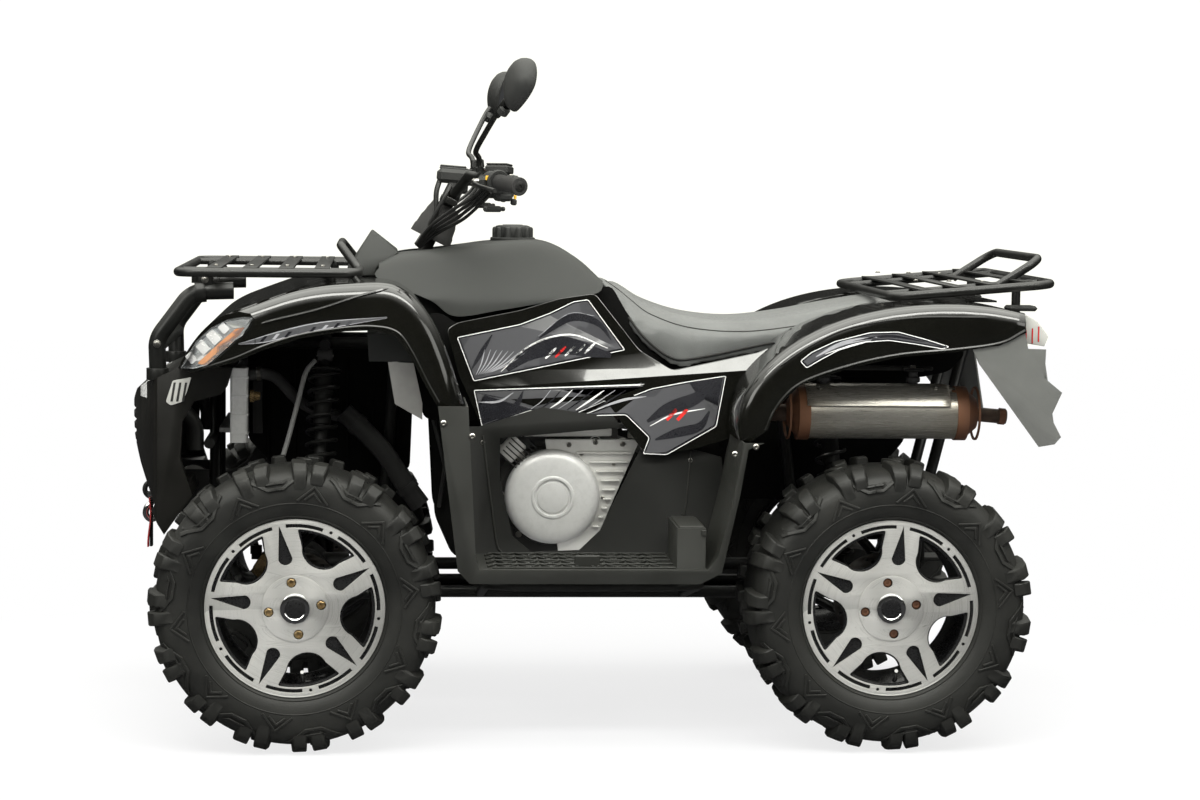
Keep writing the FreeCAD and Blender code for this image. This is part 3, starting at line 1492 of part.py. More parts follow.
def footwell():
    """Left footwell: flange, floor with a raised box, end walls, inner wall with the engine opening."""
    wall = float(size.wall)
    near, far = -float(size.well_inner), -float(size.well_outer)
    floor = float(size.well_floor)
    tray = [
        (-277, 752), (-258, floor + 20), (-250, floor), (246, floor), (268, floor + 30), (300, 560),
        (319, 676),
    ]
    around = [
        (-281, 752), (-262, floor + 20), (-252, floor - wall), (248, floor - wall), (272, floor + 29),
        (304, 560), (323, 676),
    ]
    outer = side_prism(around, near, far)
    above = [(319, 800), (-277, 800)]
    inner = side_prism(tray + above, near - wall, far - 10)
    basin = outer.cut(inner)
    kept = [
        (-300, floor - 20), (330, floor - 20), (302, 620), (233, 637.7), (128, 626.7), (26, 745),
        (-98, 732),
        (-244, 686), (-283, 686),
    ]
    keep = side_prism(kept, near + 1, near - wall)
    inner_zone = Part.makeBox(700, wall, 400, Vector(-320, near - wall, floor - 10))
    basin = basin.cut(inner_zone.cut(keep))
    hole = [
        (-197, 660), (81, 686), (122, 642), (107, 614), (30, 453), (-17, 408), (-125, 404), (-168, 439),
        (-197, 570),
    ]
    opening = side_prism(hole, near + 5, near - wall - 5)
    edge = [
        (-342, 752), (-297, 396), (-270, 368), (229, 368), (276, 392), (313, 560), (330, 662), (364, 676),
        (319, 676), (300, 740), (-277, 752),
    ]
    flange = side_prism(edge, far + wall, far)
    flange = flange.cut(side_prism(tray + above, far + 10, far - 10))
    raised = Part.makeBox(62, 200, 90, Vector(180, far + 20, floor - 1))
    panel_room = Part.makeBox(60, 20, 60, Vector(300, near - 15, 645))
    return joined([basin.cut([opening, panel_room]), flange, raised])


def foot_tube():
    """Tube under the footwell's outer edge, turned up to the frame at both ends."""
    z = float(size.well_floor) - 46
    foot_y = -float(size.rail_y) - float(size.rail_radius) - float(size.fit_gap)
    low = float(size.low_rail)
    side = [
        Vector(-232, foot_y, low), Vector(-232, -440, z), Vector(-170, -478, z), Vector(180, -478, z),
        Vector(240, -440, z), Vector(240, foot_y, low),
    ]
    bar = tube(side, size.foot_tube, 40)
    bracket = Part.makeBox(60, 40, 30, Vector(-40, -500, z + float(size.foot_tube) - 3))
    return joined([bar, bracket])


def foot_room():
    left = footwell()
    node("footwell_left", shaped(left))
    node("footwell_right", shaped(opposite(left)))
    rail = foot_tube()
    node("foot_tubes", shaped(Part.makeCompound([rail, opposite(rail)])))


# Racks

def slat(x, half, z, wide):
    return Part.makeBox(wide, 2 * half, float(size.slat_thick), Vector(x - wide / 2, -half, z))


def front_rack():
    """Tube frame whose rear rail rises into a hoop, with flat bars, runners and legs."""
    half = float(size.front_rack_half)
    z = float(size.rack_height)
    radius = float(size.rack_tube)
    front, back = -906.0, -514.0
    runner_y = 300.0
    route = [
        Vector(back - 42, 0, z + 54), Vector(back - 42, -160, z + 54), Vector(back, -200, z),
        Vector(back, -half, z), Vector(front, -half, z), Vector(front, 0, z),
    ]
    left = tube(route, radius, 42)
    slats = [slat(front + 78 * (index + 1), half, z + radius - 3, 32) for index in range(4)]
    runners = []
    legs = []
    bar_top = float(hub_z) + 665 + float(size.guard_tube) + float(size.fit_gap)
    hood_top = float(hub_z) + 691.2
    for side in (-1, 1):
        y = side * runner_y
        runners.append(Part.makeCylinder(radius - 2, back - front, Vector(front, y, z), Vector(1, 0, 0)))
        legs.append(Part.makeCylinder(radius, z - bar_top, Vector(front + 34, y, bar_top)))
        legs.append(Part.makeCylinder(radius, z - hood_top, Vector(-576, y, hood_top)))
    return joined([left, opposite(left)] + slats + runners + legs)


def rear_rack():
    """Tube frame that rises to the rear, with flat bars, runners, an upright hoop and legs."""
    half = float(size.rear_rack_half)
    z = float(size.rack_height) - 36
    radius = float(size.rack_tube)
    front, back = 668.0, 1030.0
    runner_y = 250.0
    route = [
        Vector(front, 0, z - 6), Vector(front, -half, z - 6), Vector(back, -half, z + 26),
        Vector(back, 0, z + 26),
    ]
    left = tube(route, radius, 50)
    slats = []
    for index in range(4):
        x = front + 76 * (index + 1)
        slats.append(slat(x, half, z - 6 + 32 * (x - front) / (back - front) + radius - 3, 32))
    arch = [
        Vector(930, -runner_y, z + 14), Vector(1030, -runner_y, z + 78), Vector(1030, runner_y, z + 78),
        Vector(930, runner_y, z + 14),
    ]
    hoop = tube(arch, radius, 40)
    cross_top = float(size.top_rail) + 40 + float(size.rail_radius) - 1 + float(size.fit_gap)
    fender_top = float(hub_z) + 656.4
    runners = []
    legs = []
    for side in (-1, 1):
        start = Vector(front, side * runner_y, z - 6)
        run = Vector(back, side * runner_y, z + 26) - start
        runners.append(Part.makeCylinder(radius - 2, run.Length, start, run))
        cross_spot = Vector(float(rear_x) + 330, side * runner_y, cross_top)
        legs.append(Part.makeCylinder(radius, z + 18 - cross_top, cross_spot))
        legs.append(Part.makeCylinder(radius, z - 3 - fender_top, Vector(700, side * runner_y, fender_top)))
    return joined([left, opposite(left), hoop] + slats + runners + legs)


def racks():
    node("front_rack", shaped(front_rack()))
    node("rear_rack", shaped(rear_rack()))


# Tail

def mud_flap():
    """Flap that closes the rear of the arch, with a lamp tab at its outer edge."""
    hz = float(hub_z)
    points = [
        (820, hz + 575), (940, hz + 612), (950, hz + 564), (990, hz + 563), (988, hz + 500),
        (1028, hz + 468),
        (1004, hz + 414), (1028, hz + 370), (1014, hz + 354), (979, hz + 348), (842, hz + 530),
    ]
    wall = float(size.wall)
    outer = -float(size.body_half) + wall + float(size.fit_gap)
    plate = side_prism(points, outer, outer + wall)
    back = prism([point(982, outer, hz + 550), point(986, outer, hz + 550), point(1018, outer, hz + 358),
                  point(1014, outer, hz + 358)], Vector(0, 232, 0))
    return plate.fuse(back)


def tail_lamp():
    """Wrapped lamp at the fender's rear corner."""
    hz = float(hub_z)
    drawn = [
        (945.3, hz + 604), (945.3, hz + 640), (975, hz + 622), (1000, hz + 590), (992, hz + 568),
        (953, hz + 574),
    ]
    return side_prism(drawn, -470, -300)


def tow_hitch():
    """Drop plate from the rear cross tube and the flat tow plate with its ball hole."""
    rx = float(rear_x)
    thick = float(size.hitch_thick)
    start = rx + 150 + float(size.rail_radius) - 1 + float(size.fit_gap)
    drop = Part.makeBox(thick, 90, 130, Vector(start, -45, 350))
    plate = Part.makeBox(98, 80, thick, Vector(start, -40, 350))
    hole = Part.makeCylinder(float(size.hitch_hole), 40, Vector(rx + 230, 0, 335))
    return drop.fuse(plate).cut(hole)


def tail():
    flap = mud_flap()
    node("mud_flaps", shaped(Part.makeCompound([flap, opposite(flap)])))
    lamp = tail_lamp()
    node("tail_lamps", shaped(Part.makeCompound([lamp, opposite(lamp)])))
    node("tow_hitch", shaped(tow_hitch()))


# Assembly

wheels()
steering_links()
steering()
frame_node()
engine()
clutch_cover()
radiator()
drive_line()
front_arms()
rear_arms()
shocks()
exhaust()
middle_body()
fenders()
nose()
foot_room()
racks()
tail()
document.recompute()

faults = []
for item in document.Objects:
    if "Invalid" in item.State or "Error" in item.State:
        faults.append("%s (%s) is %s" % (item.Name, item.Label, item.State))
for label, item in nodes:
    if item.Shape.isNull() or not item.Shape.isValid() or not item.Shape.Solids:
        faults.append("%s has no valid shape" % label)
if faults:
    raise RuntimeError("; ".join(faults))

os.makedirs("parts", exist_ok=True)
for label, item in nodes:
    item.Shape.exportStep("parts/%s.step" % label)
    solids = item.Shape.Solids
    print(label, len(solids), round(sum(solid.Volume for solid in solids) / 1000, 1), "cm3")
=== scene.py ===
import json
import math

import bmesh
import bpy
from bpy.props import FloatProperty, FloatVectorProperty, IntProperty, PointerProperty
from mathutils import Matrix, Vector
from mathutils.bvhtree import BVHTree

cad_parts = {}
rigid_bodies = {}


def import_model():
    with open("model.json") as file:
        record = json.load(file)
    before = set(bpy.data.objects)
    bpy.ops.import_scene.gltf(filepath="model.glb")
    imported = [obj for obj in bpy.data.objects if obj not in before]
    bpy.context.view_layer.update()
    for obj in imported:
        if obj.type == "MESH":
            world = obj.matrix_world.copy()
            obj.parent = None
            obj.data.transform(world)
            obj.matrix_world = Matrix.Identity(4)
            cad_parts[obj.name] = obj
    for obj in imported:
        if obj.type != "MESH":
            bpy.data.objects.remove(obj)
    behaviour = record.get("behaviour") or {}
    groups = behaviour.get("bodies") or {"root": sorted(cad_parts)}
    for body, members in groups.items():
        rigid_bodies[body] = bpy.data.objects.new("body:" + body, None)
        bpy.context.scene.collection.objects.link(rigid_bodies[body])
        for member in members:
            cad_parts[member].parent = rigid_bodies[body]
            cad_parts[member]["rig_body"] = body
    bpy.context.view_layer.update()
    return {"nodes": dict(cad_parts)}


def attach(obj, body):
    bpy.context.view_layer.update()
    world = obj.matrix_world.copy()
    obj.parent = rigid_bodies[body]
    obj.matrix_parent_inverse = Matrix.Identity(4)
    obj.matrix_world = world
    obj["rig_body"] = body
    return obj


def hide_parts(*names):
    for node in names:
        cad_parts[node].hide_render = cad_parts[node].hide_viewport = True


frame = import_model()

# Utility quad bike. Forward is -X, its left is -Y, +Z is up. Forms are drawn in millimetres.

bl_info = {
    "name": "Quad bike",
    "version": (1, 0, 0),
    "blender": (4, 5, 0),
    "location": "View3D > Sidebar > Quad bike",
    "description": "Dresses the quad bike's solids with detailed pieces and finishes",
    "category": "Object",
}

MM = 0.001
FRONT_X, REAR_X, HUB_Z = -645.0, 645.0, 318.0
COLUMN_TILT = math.radians(26)
COLUMN_ALONG = Vector((math.sin(COLUMN_TILT), 0, math.cos(COLUMN_TILT)))
BAR_POINTS = [(-297, -70, 1204), (-267, -165, 1246), (-235, -245, 1238), (-165, -398, 1223)]
ORIGIN, AFT, RIGHT, UP, LEFT = (0, 0, 0), (1, 0, 0), (0, 1, 0), (0, 0, 1), (0, -1, 0)
TREAD_RADIUS = 310.0
BEAD_SHARE = 0.80
DISC_FACE = 426.0


# Forms

class Form:
    """Points and faces of one piece, with the number of a finish on each face."""

    def __init__(self):
        self.points = []
        self.faces = []
        self.marks = []

    def add(self, points, faces, mark=0):
        base = len(self.points)
        self.points.extend(Vector(point) for point in points)
        self.faces.extend([base + corner for corner in face] for face in faces)
        self.marks.extend([mark] * len(faces))
        return self

    def join(self, other, mark=None):
        """Takes in another form, at its own finishes or at one given."""
        base = len(self.points)
        self.points.extend(point.copy() for point in other.points)
        self.faces.extend([base + corner for corner in face] for face in other.faces)
        self.marks.extend(other.marks if mark is None else [mark] * len(other.faces))
        return self

    def take(self, mesh, mark=0):
        """Takes in a mesh that is in metres."""
        points = [vertex.co / MM for vertex in mesh.vertices]
        return self.add(points, [list(polygon.vertices) for polygon in mesh.polygons], mark)

    def turned_by(self, matrix):
        made = Form()
        made.points = [matrix @ point for point in self.points]
        made.faces = [list(face) for face in self.faces]
        made.marks = list(self.marks)
        if matrix.determinant() < 0:
            made.faces = [face[::-1] for face in made.faces]
        return made

    def moved(self, x, y, z):
        return self.turned_by(Matrix.Translation((x, y, z)))

    def opposite(self):
        """The same form on the other side of the centre plane."""
        return self.turned_by(Matrix.Scale(-1, 4, RIGHT))

    def both(self):
        """This form and its opposite."""
        return Form().join(self).join(self.opposite())

    def grid(self, rows, mark=0, wrap=False, close=False):
        """A surface over rows of points; wrap joins a row's ends, close joins the last row to the first."""
        across = len(rows[0])
        faces = []
        for row in range(len(rows) if close else len(rows) - 1):
            after = (row + 1) % len(rows)
            for column in range(across if wrap else across - 1):
                beside = (column + 1) % across
                faces.append((row * across + column, row * across + beside,
                              after * across + beside, after * across + column))
        return self.add([point for row in rows for point in row], faces, mark)

    def tube(self, path, radius, sides=16, mark=0, flat=1.0):
        """A bar along a path; radius may be one number or one for each point."""
        path = [Vector(point) for point in path]
        radii = radius if isinstance(radius, (list, tuple)) else [radius] * len(path)
        rings = []
        side = None
        for index, here in enumerate(path):
            before = path[max(index - 1, 0)]
            after = path[min(index + 1, len(path) - 1)]
            along = (after - before).normalized()
            if side is None:
                side = along.orthogonal().normalized()
            side = (side - along * side.dot(along)).normalized()
            up = along.cross(side)
            ring = []
            for step in range(sides):
                turn = math.tau * step / sides
                ring.append(here + (side * math.cos(turn) + up * math.sin(turn) * flat) * radii[index])
            rings.append(ring)
        self.grid(rings, mark, wrap=True)
        first = len(self.points) - sides * len(rings)
        last = len(self.points) - sides
        self.faces.append([first + step for step in range(sides)][::-1])
        self.faces.append([last + step for step in range(sides)])
        self.marks.extend([mark, mark])
        return self

    def rod(self, start, end, radius, sides=16, mark=0, edge=0.0):
        """A straight round bar with small chamfers at its ends."""
        start, end = Vector(start), Vector(end)
        if edge <= 0:
            return self.tube([start, end], radius, sides, mark)
        run = (end - start).normalized() * edge
        path = [start, start + run, end - run, end]
        return self.tube(path, [radius - edge, radius, radius, radius - edge], sides, mark)

    def turned(self, profile, centre, axis=RIGHT, sides=64, mark=0, close=False):
        """A turned form; the profile's points are (distance along the axis, radius)."""
        axis = Vector(axis).normalized()
        side = axis.orthogonal().normalized()
        up = axis.cross(side)
        centre = Vector(centre)
        rows = []
        for along, radius in profile:
            ring = []
            for step in range(sides):
                turn = math.tau * step / sides
                around = side * math.cos(turn) + up * math.sin(turn)
                ring.append(centre + axis * along + around * max(radius, 0.001))
            rows.append(ring)
        return self.grid(rows, mark, wrap=True, close=close)

    def block(self, centre, measures, edge=1.0, mark=0, turn=None):
        """A block with chamfered edges, turned about its centre."""
        half = [value / 2 for value in measures]
        edge = min([edge] + [value * 0.9 for value in half])
        corners = []
        for sx in (-1, 1):
            for sy in (-1, 1):
                for sz in (-1, 1):
                    for axis in range(3):
                        place = [sx * half[0], sy * half[1], sz * half[2]]
                        for other in range(3):
                            if other != axis:
                                place[other] -= edge * (sx, sy, sz)[other]
                        corners.append(Vector(place))
        hull = bmesh.new()
        for corner in corners:
            hull.verts.new(corner)
        bmesh.ops.convex_hull(hull, input=hull.verts[:])
        bmesh.ops.dissolve_limit(hull, angle_limit=0.02, verts=hull.verts[:], edges=hull.edges[:])
        hull.verts.index_update()
        place = Matrix.Translation(Vector(centre)) @ (turn.to_4x4() if turn is not None else Matrix())
        points = [place @ vertex.co for vertex in hull.verts]
        faces = [[vertex.index for vertex in face.verts] for face in hull.faces]
        hull.free()
        return self.add(points, faces, mark)

    def prism(self, drawn, push, mark=0):
        """A block from a closed outline of points, pushed along a direction."""
        drawn = [Vector(point) for point in drawn]
        count = len(drawn)
        points = drawn + [point + Vector(push) for point in drawn]
        faces = [list(range(count))[::-1], [count + corner for corner in range(count)]]
        for corner in range(count):
            after = (corner + 1) % count
            faces.append([corner, after, count + after, count + corner])
        return self.add(points, faces, mark)

    def capped(self, across):
        """Closes both ends of the form's rows, each with so many points across."""
        count = len(self.points)
        self.faces.append(list(range(across)))
        self.faces.append(list(range(count - 1, count - across - 1, -1)))
        self.marks.extend([0, 0])
        return self

    def mesh(self, name):
        """The mesh in metres, its double points merged and its faces turned outwards."""
        mesh = bpy.data.meshes.new(name)
        mesh.from_pydata([point * MM for point in self.points], [], self.faces)
        mesh.polygons.foreach_set("material_index", self.marks)
        work = bmesh.new()
        work.from_mesh(mesh)
        bmesh.ops.remove_doubles(work, verts=work.verts[:], dist=0.00001)
        bmesh.ops.recalc_face_normals(work, faces=work.faces[:])
        work.to_mesh(mesh)
        work.free()
        return mesh


def flowing(points, count):
    """Points at even steps along a smooth curve through the given ones."""
    points = [Vector(point) for point in points]
    first = points[0] * 2 - points[1]
    last = points[-1] * 2 - points[-2]
    held = [first] + points + [last]
    fine = []
    for index in range(len(points) - 1):
        a, b, c, d = held[index:index + 4]
        for step in range(12):
            t = step / 12
            fine.append(0.5 * ((2 * b) + (c - a) * t + (2 * a - 5 * b + 4 * c - d) * t * t
                               + (3 * b - a - 3 * c + d) * t * t * t))
    fine.append(points[-1])
    return spaced(fine, count)


def side_curve(chain, count, y=0):
    """A smooth curve of the side view, at one distance from the centre plane."""
    return flowing([(x, y, z) for x, z in chain], count)


def spaced(points, count):
    """Points at even steps along a chain of points."""
    lengths = [0.0]
    for before, after in zip(points, points[1:]):
        lengths.append(lengths[-1] + (after - before).length)
    made = []
    place = 0
    for step in range(count):
        target = lengths[-1] * step / (count - 1)
        while place < len(points) - 2 and lengths[place + 1] < target:
            place += 1
        room = max(lengths[place + 1] - lengths[place], 1e-9)
        share = min(max((target - lengths[place]) / room, 0.0), 1.0)
        made.append(points[place].lerp(points[place + 1], share))
    return made


def softened(points, bend, steps=5, loop=False):
    """A chain of straight runs whose corners are turned into arcs."""
    points = [Vector(point) for point in points]
    count = len(points)
    made = [] if loop else [points[0]]
    for index in range(count if loop else count - 2):
        before, corner, after = (points[(index + shift) % count] for shift in (0, 1, 2))
        reach = min(bend, 0.48 * (corner - before).length, 0.48 * (after - corner).length)
        start = corner + (before - corner).normalized() * reach
        end = corner + (after - corner).normalized() * reach
        for step in range(steps + 1):
            t = step / steps
            made.append(start * (1 - t) ** 2 + corner * 2 * t * (1 - t) + end * t * t)
    if not loop:
        made.append(points[-1])
    return made


def plate(drawn, holes, thick, edge=0.0):
    """A flat plate with holes, in its own XY plane, middle at Z 0; holes are chains of points."""
    curve = bpy.data.curves.new("Plate", "CURVE")
    curve.dimensions = "2D"
    curve.fill_mode = "BOTH"
    curve.extrude = (thick / 2 - edge) * MM
    curve.bevel_depth = edge * MM
    curve.bevel_resolution = 1
    curve.offset = -edge * MM
    for chain in [drawn] + list(holes):
        spline = curve.splines.new("POLY")
        spline.points.add(len(chain) - 1)
        for point, (across, up) in zip(spline.points, chain):
            point.co = (across * MM, up * MM, 0, 1)
        spline.use_cyclic_u = True
    holder = linked("Plate", curve)
    graph = bpy.context.evaluated_depsgraph_get()
    mesh = bpy.data.meshes.new_from_object(holder.evaluated_get(graph))
    made = Form().take(mesh)
    bpy.data.objects.remove(holder)
    bpy.data.curves.remove(curve)
    bpy.data.meshes.remove(mesh)
    return made


def ring_points(radius, count=64, centre=(0, 0)):
    return [(centre[0] + radius * math.cos(math.tau * step / count),
             centre[1] + radius * math.sin(math.tau * step / count)) for step in range(count)]


def polar(radius, degrees):
    turn = math.radians(degrees)
    return (radius * math.cos(turn), radius * math.sin(turn))


# Repeats, made with geometry nodes

def repeat_tree():
    """Copies of a mesh round an axis through a centre, with a finish."""
    name = "Repeat around"
    tree = bpy.data.node_groups.get(name)
    if tree:
        return tree
    tree = bpy.data.node_groups.new(name, "GeometryNodeTree")
    entries = {"Geometry": "Geometry", "Count": "Int", "Centre": "Vector", "Direction": "Vector",
               "Finish": "Material"}
    for label, kind in entries.items():
        tree.interface.new_socket(label, in_out="INPUT", socket_type="NodeSocket" + kind)
    tree.interface.new_socket("Geometry", in_out="OUTPUT", socket_type="NodeSocketGeometry")
    kinds = {
        "given": "NodeGroupInput", "result": "NodeGroupOutput", "spots": "GeometryNodePoints",
        "copies": "GeometryNodeInstanceOnPoints", "real": "GeometryNodeRealizeInstances",
        "paint": "GeometryNodeSetMaterial", "number": "GeometryNodeInputIndex",
        "shift": "ShaderNodeVectorMath", "homed": "GeometryNodeTransform", "share": "ShaderNodeMath",
        "angle": "ShaderNodeMath", "turn": "FunctionNodeAxisAngleToRotation",
    }
    nodes = {label: tree.nodes.new(kind) for label, kind in kinds.items()}
    nodes["shift"].operation = "SCALE"
    nodes["shift"].inputs["Scale"].default_value = -1.0
    nodes["share"].operation = "DIVIDE"
    nodes["angle"].operation = "MULTIPLY"
    nodes["angle"].inputs[1].default_value = math.tau
    for source, output, target, entry in (
            ("given", "Count", "spots", "Count"), ("given", "Centre", "spots", "Position"),
            ("given", "Centre", "shift", 0), ("shift", 0, "homed", "Translation"),
            ("given", "Geometry", "homed", "Geometry"), ("homed", 0, "copies", "Instance"),
            ("spots", 0, "copies", "Points"), ("number", 0, "share", 0), ("given", "Count", "share", 1),
            ("share", 0, "angle", 0), ("given", "Direction", "turn", "Axis"), ("angle", 0, "turn", "Angle"),
            ("turn", 0, "copies", "Rotation"), ("copies", 0, "real", 0), ("real", 0, "paint", "Geometry"),
            ("given", "Finish", "paint", "Material"), ("paint", 0, "result", 0)):
        tree.links.new(nodes[source].outputs[output], nodes[target].inputs[entry])
    return tree


def repeated(form, count, axis, centre, material):
    """A form repeated round the line through the centre."""
    holder = linked("Repeat", form.mesh("Repeat"))
    modifier = holder.modifiers.new("Repeat", "NODES")
    modifier.node_group = repeat_tree()
    values = {"Count": count, "Centre": tuple(Vector(centre) * MM), "Direction": tuple(Vector(axis)),
              "Finish": finish(material)}
    for item in modifier.node_group.interface.items_tree:
        if item.in_out == "INPUT" and item.name in values:
            modifier[item.identifier] = values[item.name]
    mesh = folded(holder)
    made = Form().take(mesh)
    bpy.data.objects.remove(holder)
    bpy.data.meshes.remove(mesh)
    return made


def linked(name, data):
    """A new object in the scene."""
    thing = bpy.data.objects.new(name, data)
    bpy.context.scene.collection.objects.link(thing)
    return thing


def folded(thing):
    """The mesh of an object with its modifiers worked in; the modifiers are then removed."""
    bpy.context.view_layer.update()
    graph = bpy.context.evaluated_depsgraph_get()
    mesh = bpy.data.meshes.new_from_object(thing.evaluated_get(graph), preserve_all_data_layers=True,
                                           depsgraph=graph)
    thing.modifiers.clear()
    return mesh


# Finishes

class Shade:
    """One material, built outwards from its surface shader."""

    def __init__(self, name, colour, roughness, metallic=0.0, **sockets):
        self.material = bpy.data.materials.new("look_" + name)
        self.material.use_nodes = True
        self.tree = self.material.node_tree
        self.shader = self.tree.nodes["Principled BSDF"]
        self.put(self.shader, {"Base Color": (*colour, 1.0), "Roughness": roughness, "Metallic": metallic,
                               **sockets})

    def feed(self, entry, value):
        """Links an entry to another node's output, or sets it to a plain value."""
        if isinstance(value, bpy.types.NodeSocket):
            self.tree.links.new(value, entry)
        else:
            entry.default_value = value

    def put(self, node, inputs):
        for name, value in inputs.items():
            self.feed(node.inputs[name], value)

    def add(self, kind, inputs=None, **settings):
        node = self.tree.nodes.new("ShaderNode" + kind)
        for name, value in settings.items():
            setattr(node, name, value)
        self.put(node, inputs or {})
        return node

    def place(self, stretch=(1, 1, 1), source="Object"):
        spot = self.add("TexCoord").outputs[source]
        return self.add("Mapping", {"Vector": spot, "Scale": stretch}).outputs[0]

    def noise(self, scale, detail=3.0, rough=0.5, place=None):
        inputs = {"Vector": place or self.place(), "Scale": scale, "Detail": detail, "Roughness": rough}
        return self.add("TexNoise", inputs).outputs["Fac"]

    def cells(self, scale):
        return self.add("TexVoronoi", {"Vector": self.place(), "Scale": scale}).outputs["Distance"]

    def ramp(self, value, stops):
        node = self.add("ValToRGB", {"Fac": value})
        ladder = node.color_ramp.elements
        while len(ladder) < len(stops):
            ladder.new(0.5)
        for rung, (place, colour) in zip(ladder, stops):
            rung.position = place
            rung.color = (*colour, 1.0)
        return node.outputs["Color"]

    def span(self, value, low, high, from_low=0.0, from_high=1.0):
        inputs = {"Value": value, "From Min": from_low, "From Max": from_high, "To Min": low,
                  "To Max": high}
        return self.add("MapRange", inputs).outputs[0]

    def sum(self, first, second, way="ADD"):
        node = self.add("Math", operation=way)
        self.feed(node.inputs[0], first)
        self.feed(node.inputs[1], second)
        return node.outputs[0]

    def blend(self, share, first, second):
        node = self.add("Mix", data_type="RGBA")
        self.feed(node.inputs[0], share)
        for entry, value in ((node.inputs[6], first), (node.inputs[7], second)):
            self.feed(entry, value if isinstance(value, bpy.types.NodeSocket) else (*value, 1.0))
        return node.outputs[2]

    def colour(self, socket):
        self.put(self.shader, {"Base Color": socket})
        return self

    def roughness(self, socket):
        self.put(self.shader, {"Roughness": socket})
        return self

    def relief(self, height, distance):
        bump = self.add("Bump", {"Height": height, "Distance": distance, "Strength": 1.0})
        self.put(self.shader, {"Normal": bump.outputs[0]})
        return self


def grained(name, colour, worn, rough, grain, height, metallic, specular):
    """A finish with fine grain, slow colour drift and uneven gloss; grain is in cells to the metre."""
    sockets = {"Specular IOR Level": specular, "Coat Weight": COATED.get(name, 0.0)}
    shade = Shade(name, colour, rough[0], metallic, **sockets)
    drift = shade.noise(9.0, 4.0, 0.6)
    shade.colour(shade.blend(shade.span(drift, 0.0, 1.0, 0.35, 0.7), colour, worn))
    fine = shade.noise(grain, 2.0, 0.55)
    shade.roughness(shade.span(shade.sum(drift, fine, "MULTIPLY"), rough[0], rough[1], 0.1, 0.45))
    return shade.relief(fine, height * MM)


